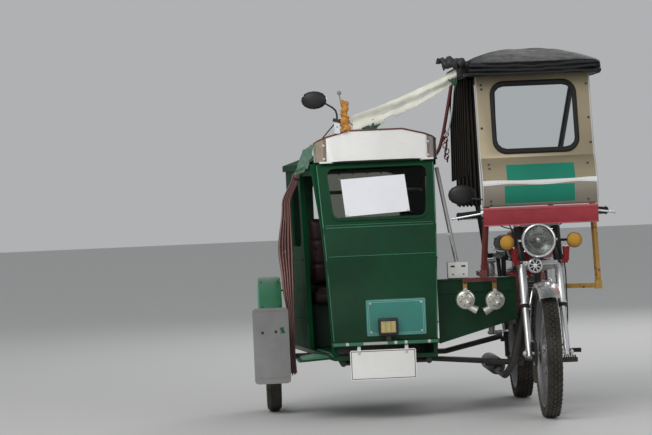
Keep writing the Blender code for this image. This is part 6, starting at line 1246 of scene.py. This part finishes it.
# padded seat and bench: a slightly small form, swollen by cloth pressure, then sewn
def swell(name, bm, voxel, cap, keep):
    # gives the pad's mesh after the cloth has filled; keep(point) holds points to what they rest on
    bmesh.ops.translate(bm, vec=rowShift, verts=bm.verts)
    mesh = bpy.data.meshes.new(name + "Form")
    bm.to_mesh(mesh)
    bm.free()
    form = bpy.data.objects.new(name + "Form", mesh)
    scene.collection.objects.link(form)
    skin = form.modifiers.new("skin", "REMESH")
    skin.mode, skin.voxel_size, skin.use_smooth_shade = "VOXEL", voxel * 1, True
    soft = form.modifiers.new("soft", "SMOOTH")
    soft.factor, soft.iterations = .5, 6
    dense = bpy.data.meshes.new_from_object(form.evaluated_get(bpy.context.evaluated_depsgraph_get()))
    form.modifiers.clear()
    form.data = dense
    start = [v.co.copy() for v in dense.vertices]
    cloth = form.modifiers.new("fill", "CLOTH")
    cloth.settings.use_pressure, cloth.settings.uniform_pressure_force = True, 4.0
    cloth.settings.effector_weights.gravity = 0.0
    cloth.settings.quality = 4
    cloth.collision_settings.use_collision = False
    cloth.point_cache.frame_start, cloth.point_cache.frame_end = 1, 16
    for step in range(1, 17):
        scene.frame_set(step)
    filled = bpy.data.meshes.new_from_object(form.evaluated_get(bpy.context.evaluated_depsgraph_get()))
    form.modifiers.clear()
    scene.frame_set(1)
    result = bmesh.new()
    result.from_mesh(filled)
    for v, old in zip(result.verts, start):
        move = v.co - old
        if move.length > cap:
            move *= cap / move.length
        v.co = keep(old - rowShift + move) + rowShift
    bpy.data.objects.remove(form)
    bmesh.ops.recalc_face_normals(result, faces=result.faces)
    return result


def sewLines(bm, lines, depth, wide, facingWay):
    # presses sewn channels: each line is a function giving the distance of a point from it
    bm.normal_update()
    for v in bm.verts:
        if v.normal.dot(facingWay) < .35:
            continue
        near = min(abs(line(v.co - rowShift)) for line in lines)
        v.co -= v.normal * depth * exp(-(near / wide) ** 2)


def padPiece(name, bm, finish, replaced):
    piece = finishPiece(name, bm, finish, replaced=replaced, levels=1, smooth=180,
                        moved=False)
    return piece


def welt(name, bvh, points, finish, radius=.0032):
    # piping laid on a pad's skin, along the points nearest to those given
    path = []
    for place in points:
        nearest, normal, _, _ = bvh.find_nearest(Vector(place) + rowShift)
        path.append(nearest + normal * radius * .4)
    pipes(name, [(path, radius)], finish, moved=False, curved=False)


def softBlock(low, high, reach):   # a closed block with edges rounded by reach
    bm, low, high = bmesh.new(), Vector(low), Vector(high)
    brick(bm, (low + high) / 2, high - low)
    bmesh.ops.bevel(bm, geom=bm.edges[:], offset=reach, segments=3, profile=.5, affect="EDGES")
    return bm


seatRows = ((0.0, .62, .55), (.06, .72, .8), (.3, .92, .8), (.48, 1.0, .84), (.56, 1.0, 1.0),
            (.9, .94, .98), (.97, .86, .86), (1.0, .78, .5))     # along, width, top
seatValues = {"y": (.79, 1.42), "z": (.735, .815), "w": .25, "cap": .009, "seams": (.2, .3, .4, .66, .76, .86)}


def riderSeat():
    v = seatValues
    length, high = v["y"][1] - v["y"][0], v["z"][1] - v["z"][0]
    bm, rings = bmesh.new(), []
    for along, width, topShare in seatRows:
        y = v["y"][0] + .006 + (length - .012) * along
        half, low = v["w"] / 2 * width - .006, v["z"][0] + .003
        top = v["z"][0] + high * topShare - .006
        side = ((.92, low), (1, low + (top - low) * .4), (.94, low + (top - low) * .85), (.5, top))
        pts = [(-half * .92, low)] + [(half * share, z) for share, z in side] + [
            (-half * share, z) for share, z in reversed(side[1:])]
        rings.append([bm.verts.new((x, y, z)) for x, z in pts])
    for a, b in zip(rings, rings[1:]):
        for k in range(8):
            bm.faces.new((a[k], a[(k + 1) % 8], b[(k + 1) % 8], b[k]))
    bm.faces.new(rings[0]); bm.faces.new(rings[-1])
    bmesh.ops.recalc_face_normals(bm, faces=bm.faces)

    def keep(p):
        return Vector((max(-.1245, min(.1245, p.x)), max(v["y"][0], min(v["y"][1], p.y)), max(v["z"][0], p.z)))
    pad = swell("seat", bm, .006, v["cap"], keep)
    lines = [lambda p, y=v["y"][0] + length * share: p.y - y - .05 * p.x * p.x / .0156 for share in v["seams"]]
    sewLines(pad, lines, .0045, .006, Vector((0, 0, 1)))
    bvh = BVHTree.FromBMesh(pad)
    padPiece("seatPad", pad, "blackVinyl", "seat")
    for side in (-1, 1):
        edge = []
        for k in range(45):
            y = v["y"][0] + .012 + (length - .024) * k / 44
            share = (y - v["y"][0]) / length
            for a, b in zip(seatRows, seatRows[1:]):
                if share <= b[0]:
                    t = (share - a[0]) / (b[0] - a[0])
                    break
            half = v["w"] / 2 * (a[1] + (b[1] - a[1]) * t) * .93
            top = v["z"][0] + high * (a[2] + (b[2] - a[2]) * t) * .88
            edge.append((side * half, y, top))
        welt("seatWelt" + ("Left" if side < 0 else "Right"), bvh, edge, "blackRubber", .003)
    boxes("seatPan", [((0, 1.108, .7275), (.19, .5, .013))], "blackPlastic", .002)
    runs = [([(side * .116 * (.86 if k == 0 else 1), v["y"][0] + .02 + .585 * k / 8, .7425) for k in range(9)], .003)
            for side in (-1, 1)]
    pipes("seatTrim", runs, "chrome")
    bm = bmesh.new()
    for side in (-1, 1):
        for y in (.99, 1.1, 1.3):
            drum(bm, (side * .1225, y, .752), (side, 0, 0), .0045, .003, 12)
    finishPiece("seatStuds", bm, "chrome", bevel=.0005)


benchValues = {"y": (1.118, 1.538), "x": (-1.0448, -.469), "padZ": (.512, .59), "restZ": (.554, .95)}


def sidecarBench():
    v = benchValues
    x0, x1 = v["x"]
    boxes("benchBox", [(((x0 + x1) / 2, 1.358, .4065), (x1 - x0 - .003, .358, .211))], "greenInside", .002)
    bm = bmesh.new()
    for x in (x0 + .12, x1 - .12):
        brick(bm, (x, 1.1785, .44), (.05, .0022, .03))
        stick(bm, (x - .025, 1.1765, .455), (x + .025, 1.1765, .455), .0035, 10)
    finishPiece("benchHinges", bm, "satinChrome", bevel=.0005)

    def keepPad(p):
        return Vector((max(x0 + .001, min(x1 - .001, p.x)), max(v["y"][0], min(1.527, p.y)), max(v["padZ"][0], p.z)))

    def keepRest(p):
        return Vector((max(x0 + .002, min(x1 - .002, p.x)), min(v["y"][1] - .0005, p.y), min(v["restZ"][1], p.z)))
    bm = softBlock((x0 + .01, v["y"][0] + .008, v["padZ"][0] + .002), (x1 - .01, 1.52, v["padZ"][1] - .014), .02)
    pad = swell("bench", bm, .008, .014, keepPad)
    lines = [lambda p, x=x0 + (x1 - x0) * k / 6: p.x - x for k in range(1, 6)]
    sewLines(pad, lines, .006, .0075, up)
    bvh = BVHTree.FromBMesh(pad)
    padPiece("benchPad", pad, "maroonVinyl", "sidecar_bench")
    welt("benchWelt", bvh, [(x0 + .02 + (x1 - x0 - .04) * k / 40, v["y"][0] + .004, .578) for k in range(41)],
         "blackVinyl", .0034)
    bm = softBlock((x0 + .01, 1.492, v["restZ"][0] + .03), (x1 - .01, v["y"][1] - .002, v["restZ"][1] - .008), .018)
    rest = swell("rest", bm, .008, .014, keepRest)
    rows = [lambda p, x=x0 + (x1 - x0) * k / 6: p.x - x for k in range(1, 6)] + \
           [lambda p, z=.7 + .12 * k: p.z - z for k in range(2)]
    sewLines(rest, rows, .006, .0075, Vector((0, -1, 0)))
    bvh = BVHTree.FromBMesh(rest)
    padPiece("benchRest", rest, "maroonVinyl", None)
    welt("restWelt", bvh, [(x0 + .02 + (x1 - x0 - .04) * k / 40, 1.49, .945) for k in range(41)], "blackVinyl", .0034)
    buttons = bmesh.new()
    for k in range(1, 6):
        for z in (.7, .82):
            nearest, normal, _, _ = bvh.find_nearest(at(x0 + (x1 - x0) * k / 6, 1.48, z))
            drum(buttons, nearest - rowShift + normal * .0005, normal, .0085, .003, 20, .006)
    finishPiece("restButtons", buttons, "blackVinyl", bevel=.0008)


riderSeat()
sidecarBench()
print("pads made")


# engine, springs, tail lamp and controls
def engineTrim():
    bm, screws = bmesh.new(), bmesh.new()
    for side in (-1, 1):
        for y, z, r, x in ((.612, .315, .086, .1004), (.74, .3086, .073, .0954 if side < 0 else .0804)):
            dome = [(0, .012), (r * .3, .0118), (r * .42, .01), (r * .7, .0085), (r * .9, .005), (r, 0),
                    (r, -.006), (0, -.006)]
            lathe(bm, dome, (side * x, y, z), (side, 0, 0), 44)
            for k in range(6):
                a = tau * (k + .4) / 6
                place = (side * (x + .005), y + cos(a) * r * .9, z + sin(a) * r * .9)
                hexBolt(screws, place, (side, 0, 0), .0034, .003)
    for k in range(8):                                   # thin fins between the cast ones
        brick(bm, (0, .592, .402 + .0286 * k), (.1264, .117, .0028))
    for x in (-.05, .05):
        for y in (.545, .64):
            hexBolt(screws, (x * .55, y, .622), (0, 0, 1), .005, .006)
    finishPiece("engineCovers", bm, "castAlloy", bevel=.0008, smooth=45)
    finishPiece("engineScrews", screws, "satinChrome")
    bm = bmesh.new()                                     # carburettor bowl, clamps and spark plug cap
    drum(bm, (0, .7, .533), (0, 0, 1), .019, .034, 28)
    for y in (.668, .742):
        drum(bm, (0, y, .5575), (0, 1, .08), .0262, .008, 28)
    drum(bm, (0, .592, .628), (0, 0, 1), .0075, .018, 16)
    finishPiece("carburettor", bm, "castAlloy", bevel=.0008)
    bm = bmesh.new()
    stick(bm, (0, .592, .632), (.016, .6, .655), .0085, 18)
    drum(bm, (0, .748, .559), (0, 1, .08), .03, .014, 28)
    finishPiece("plugCap", bm, "blackRubber", bevel=.001)
    boxes("coverPlates", [((side * .0872, .892, .54), (.003, .13, .17)) for side in (-1, 1)], "redPaint", .0014)
    bm = bmesh.new()
    for side in (-1, 1):
        for y in (.84, .944):
            for z in (.47, .612):
                hexBolt(bm, (side * .0885, y, z), (side, 0, 0), .0036, .003)
    finishPiece("coverScrews", bm, "chrome")


def springs():
    for side, node in ((-1, "shock_left"), (1, "shock_right")):
        holder = frame["nodes"][node].data
        low, high = Vector((side * .141, 1.265, .331)), Vector((side * .141, 1.2, .69))
        if sum(v.co.x - rowShift.x for v in holder.vertices) * side < 0:
            node = "shock_right" if node == "shock_left" else "shock_left"
        axis = high - low
        turn = facing(axis).to_3x3()
        coil = []
        for k in range(9 * 16 + 1):
            t, a = k / (9 * 16), tau * k / 16
            coil.append(low + axis * (.15 + .6 * t) + turn @ Vector((cos(a) * .0215, sin(a) * .0215, 0)))
        pipes(node + "Spring", [(coil, .0038)], "chrome", replaced=node, curved=False)
        bm = bmesh.new()
        rod = [(0, 0), (.015, 0), (.016, .02), (.016, axis.length * .48), (.0065, axis.length * .49),
               (.0065, axis.length * .75), (.0245, axis.length * .76), (.025, axis.length * .93),
               (.018, axis.length * .97), (0, axis.length * .98)]
        lathe(bm, rod, low, axis, 32)
        drum(bm, low + axis * .145, axis, .025, .007, 32)
        for place in (low, high):
            inner = .088 if place is low else .1135
            stick(bm, (side * inner, place.y, place.z), (side * .154, place.y, place.z), .0115, 20)
            hexBolt(bm, (side * .154, place.y, place.z), (side, 0, 0), .0085, .007)
        finishPiece(node + "Damper", bm, "satinChrome", bevel=.0006)


def tailLamp():
    bm = copyNode("rear_mudguard")
    lamp = [f for f in bm.faces if all(v.co.z > .49 and v.co.y > 1.5 + rowShift.y for v in f.verts)]
    geom = lamp + list({e for f in lamp for e in f.edges}) + list({v for f in lamp for v in f.verts})
    bmesh.ops.bisect_plane(bm, geom=geom, plane_co=at(0, 1.575, 0), plane_no=(0, 1, 0), clear_outer=True)
    finishPiece("rearGuardBody", bm, "chrome", "root", "rear_mudguard", .0006, moved=False)
    bm = bmesh.new()
    brick(bm, (0, 1.5905, .5475), (.115, .0302, .084))
    finishPiece("tailLens", bm, "redLens", bevel=.004)
    bm = bmesh.new()
    for side in (-1, 1):
        hexBolt(bm, (side * .035, 1.603, .5475), (0, 1, 0), .003, .0014)
    brick(bm, (0, 1.5745, .5475), (.121, .004, .09))
    finishPiece("tailRim", bm, "chrome", bevel=.001)


def controls():
    runs = [([(.1, .7, .287), (.112, .692, .286), (.117, .56, .278), (.118, .485, .275), (.122, .474, .2745),
              (.205, .47, .272)], .006),
            ([(-.1, .8, .36), (-.122, .803, .362), (-.13, .835, .47), (-.132, .842, .505)], .0075)]
    pipes("footLevers", runs, "chrome", curved=False)
    bm = bmesh.new()
    stick(bm, (.15, .4725, .2737), (.207, .47, .272), .01, 20)
    for k in range(5):
        drum(bm, (.157 + k * .0105, .472, .2734), (1, 0, 0), .0112, .003, 20)
    stick(bm, (-.132, .842, .5), (-.185, .842, .502), .011, 20)
    for side in (-1, 1):
        for k in range(6):                               # ribs of the rubber rests
            brick(bm, (side * (.16 + k * .0105), .77, .219), (.004, .031, .027))
    finishPiece("rubberRests", bm, "blackRubber", bevel=.001)
    bm = bmesh.new()                                     # tank cap
    lathe(bm, [(0, .004), (.01, .0038), (.0125, .0025), (.0225, .0022), (.0262, -.001), (.0268, -.006), (0, -.006)],
          (0, .5393, .8755), (0, 0, 1), 40)
    brick(bm, (0, .5393, .879), (.012, .003, .0014))
    finishPiece("tankCap", bm, "chrome", bevel=.0005)
    seam = ((.084, .4, .742), (.11, .455, .716), (.113, .54, .709), (.101, .64, .713), (.078, .73, .722))
    pipes("tankSeam", [([(side * x, y, z) for x, y, z in seam], .0028) for side in (-1, 1)], "chrome")


def cable(name, points, radius, finish, body="root"):
    # a free cord on one smooth curve through points
    points = [Vector(p) for p in points]
    dense = []
    for k in range(len(points) - 1):
        a, b, c, d = points[max(k - 1, 0)], points[k], points[k + 1], points[min(k + 2, len(points) - 1)]
        for step in range(12):
            t = step / 12
            square, cube = 2 * a - 5 * b + 4 * c - d, 3 * b - a - 3 * c + d
            dense.append(.5 * (2 * b + (c - a) * t + square * t * t + cube * t ** 3))
    dense.append(points[-1])
    piece = pipes(name, [(dense, radius)], finish, body, curved=False)


def cables():
    cable("brakeCable", [(-.205, .4, .914), (-.15, .33, .9), (-.118, .235, .85), (-.132, .17, .745),
                         (-.113, .17, .67), (-.109, .122, .56), (-.101, .072, .44), (-.078, .04, .345),
                         (-.062, .03, .318)], .0028, "blackRubber", "steering")
    cable("gaugeCable", [(.002, .262, .868), (.045, .232, .83), (.1, .19, .74), (.113, .172, .67),
                         (.109, .12, .56), (.102, .07, .43), (.078, .038, .34), (.058, .028, .314)], .003,
          "blackRubber", "steering")
    cable("throttleCable", [(-.215, .418, .905), (-.15, .345, .87), (-.085, .275, .845), (-.05, .262, .8)],
          .0026, "blackRubber", "steering")
    cable("clutchCable", [(.205, .4, .914), (.14, .32, .885), (.08, .262, .85), (.05, .262, .8)],
          .0026, "blackRubber", "steering")
    cable("plugLead", [(.016, .6, .655), (.03, .61, .682), (.034, .65, .69), (.026, .7, .676),
                       (.012, .73, .65)], .0034, "blackRubber")
    cable("hornWire", [(-.25, .306, .64), (-.262, .33, .69), (-.24, .37, .7), (-.205, .4, .66),
                       (-.175, .42, .64)], .002, "redPiping")
    cable("lampWire", [(-.708, .284, .402), (-.69, .29, .38), (-.64, .293, .368), (-.6, .29, .364)], .0018,
          "blackRubber")


engineTrim()
springs()
tailLamp()
controls()
cables()
print("engine and controls made")


# stays, bracket, chain, canopy frame and the cabin's pressings
def wallX(inner, y, z):
    front, back, brow = (-.48, -.425, .029) if inner else (-.962, -1.128, -.041)
    along = (y - .3) / 1.26
    return front + (back - front) * along + brow * ((z - .3) / .895) * (1 - along)


def bracketAndStays():
    boxes("bracketFace", [((-.361, .4243, .675), (.0965, .001, .074))], "whiteBoard", .0004)
    bm = bmesh.new()
    for x in (-.386, -.336):
        brick(bm, (x, .4236, .693), (.02, .0008, .0085))
        drum(bm, (x, .4236, .655), ahead, .004, .0009, 14)
    finishPiece("bracketSlots", bm, "blackPlastic", bevel=.0002)
    bm = bmesh.new()
    stick(bm, (-.362, .438, .708), (-.397, .452, .85), .0032, 14)
    for p in ((-.362, .438, .712), (-.397, .452, .846)):
        drum(bm, p, (0, 1, 0), .0065, .008, 16)
    finishPiece("thinRod", bm, "satinChrome", bevel=.0004)
    pipes("sideStay", [([(-.318, .8, 1.6), (-.342, .8, 1.48), (-.378, .8, 1.3), (-.404, .8, 1.225),
                         (-.432, .8, 1.214)], .0085)], "maroonPaint")
    cable("sideHose", [(-.312, .752, 1.585), (-.326, .75, 1.5), (-.334, .75, 1.43), (-.352, .76, 1.345),
                       (-.372, .775, 1.31)], .005, "whitePlastic")
    runs = []
    for k in range(11):                                  # chain looped round the stay
        mid = Vector((-.366 + .005 * sin(k * 2.1), .792 + .004 * cos(k * 1.7), 1.332 - k * .0135))
        flat = Vector((1, 0, 0)) if k % 2 else Vector((.25, 1, 0)).normalized()
        runs.append(([mid + flat * cos(a) * .0105 + Vector((0, 0, sin(a) * .0125))
                      for a in (tau * s / 12 for s in range(13))], .0026))
    pipes("chainLinks", runs, "maroonPaint", curved=False)


def bridgeTrim():
    pipes("bridgeSeam", [([(-.455, .395, .566), (-.28, .3945, .57), (-.104, .395, .566)], .003),
                         ([(-.455, .396, .628), (-.28, .3955, .63), (-.098, .396, .628)], .0042)], "greenPaint",
          curved=False)
    bolts("bridgeBolts", [(x, .3955, z) for x, z in ((-.44, .6), (-.12, .6), (-.44, .38), (-.13, .47))],
          ahead, (.004, .003), "greenPaint")


def canopyFrame():
    z = 1.58
    x0, x1, y0, y1 = -.3, .324, .262, 1.398
    runs = [([(x0, y0, z), (x1, y0, z), (x1, y1, z), (x0, y1, z), (x0, y0, z)], .0085)]
    for y in (.62, 1.0):
        runs.append(([(x0, y, z), (x0 * .5, y, z + .055), (.012, y, z + .072), (x1 * .52, y, z + .055), (x1, y, z)],
                     .006))
    pipes("canopyFrame", runs, "blackPaint", curved=False)


def cabinTrim():
    runs = []
    for z in (.44, .74):
        runs.append(([(wallX(False, 1.57, z) + .04, 1.5612, z), (wallX(True, 1.57, z) - .04, 1.5612, z)], .0042))
    for inner, sign, ys in ((False, -1, (1.03, 1.52)), (True, 1, (.35, 1.52))):
        for z in (.44, .74):
            runs.append(([(wallX(inner, y, z) + sign * .001, y, z) for y in (ys[0], sum(ys) / 2, ys[1])], .0042))
    pipes("wallBeads", runs, "greenMatt", curved=False)
    bm = bmesh.new()
    for x in (-1.06, -.5):                            # round reflectors and roof rivets at the back
        drum(bm, (x, 1.562, .38), (0, 1, 0), .022, .006, 32)
    finishPiece("rearReflectors", bm, "redLens", bevel=.002)
    bm = bmesh.new()
    for x in (-1.06, -.5):
        ring = [(.022, 0), (.025, 0), (.025, .0055), (.022, .0055)]
        lathe(bm, ring + [ring[0]], (x, 1.56, .38), (0, 1, 0), 32)
    for k in range(9):
        x = -1.075 + k * .072
        hexBolt(bm, (x, 1.5612, 1.15), (0, 1, 0), .0032, .0022)
    finishPiece("rearRivets", bm, "satinChrome")
    # ribbed mat on the cabin floor
    boxes("floorMat", [((-.735, .74, .3032), (.42, .68, .005))] +
          [((-.93 + k * .028, .74, .3065), (.009, .66, .003)) for k in range(15)], "blackRubber", .0006)
    pipes("handRail", [([(-.5, .545, 1.06), (-.52, .565, 1.062), (-.735, .565, 1.062), (-.955, .565, 1.062),
                         (-.975, .545, 1.06)], .009)], "satinChrome", curved=False)


bracketAndStays()
bridgeTrim()
canopyFrame()
cabinTrim()
print("stays and pressings made")


# CAD nodes that keep their shape
keptNodes = (                  # node, finish, bevel
    ("sidecar_front_panel", "greenPaint", .0022), ("sidecar_roof", "greenMatt", .002),
    ("sidecar_inner_wall", "greenPaint", .002), ("sidecar_outer_wall", "greenMatt", .002),
    ("sidecar_rear_wall", "greenPaint", .002), ("bridge_panel", "greenPaint", .002),
    ("sidecar_floor", "greenPaint", .0015), ("sidecar_mudguard", "brightGreen", .0012),
    ("sidecar_mud_flap", "greySheet", .0012), ("sidecar_chassis", "blackPaint", .001),
    ("sign_board", "whiteBoard", .001), ("windshield_panel", "beigeSteel", .0008),
    ("windshield_gasket", "blackRubber", .004), ("sidecar_window_gasket", "greenPaint", .003),
    ("windshield_glass", "clearGlass", .0005), ("sidecar_window_glass", "dustyShadedGlass", .0005),
    ("canopy_post_left", "rustyYellow", .0015), ("canopy_post_right", "maroonPaint", .0015),
    ("canopy_stay_left", "blackPaint", .001), ("canopy_stay_right", "blackPaint", .001),
    ("front_plate", "whiteBoard", .0006), ("green_plate", "tealPlate", .0006), ("spot_lamp", "blackPlastic", .0025),
    ("roof_mirror", "blackPlastic", .001), ("brace_pipe", "zincSheet", .001), ("frame_front", "blackPaint", .001),
    ("frame_rear", "blackPaint", .001), ("swing_arm", "blackPaint", .001), ("exhaust", "blackPaint", .001),
    ("side_covers", "redPaint", .003), ("fuel_tank", "redPaint", .003), ("engine", "darkEngine", .0012),
    ("front_mudguard", "chrome", .0006), ("front_mudflap", "oliveRubber", .001), ("front_fork", "satinChrome", .0012),
    ("headlight", "chrome", .0012), ("indicator_left", "amberLens", .002), ("indicator_right", "amberLens", .002),
    ("handlebar", "satinChrome", .0008), ("handlebar_mirror", "blackPlastic", .001),
    ("grip_left", "blackRubber", .001), ("grip_right", "blackRubber", .001))
for nodeName, finish, bevel in keptNodes:
    dress(nodeName, finish, bevel)
print("bodywork dressed")
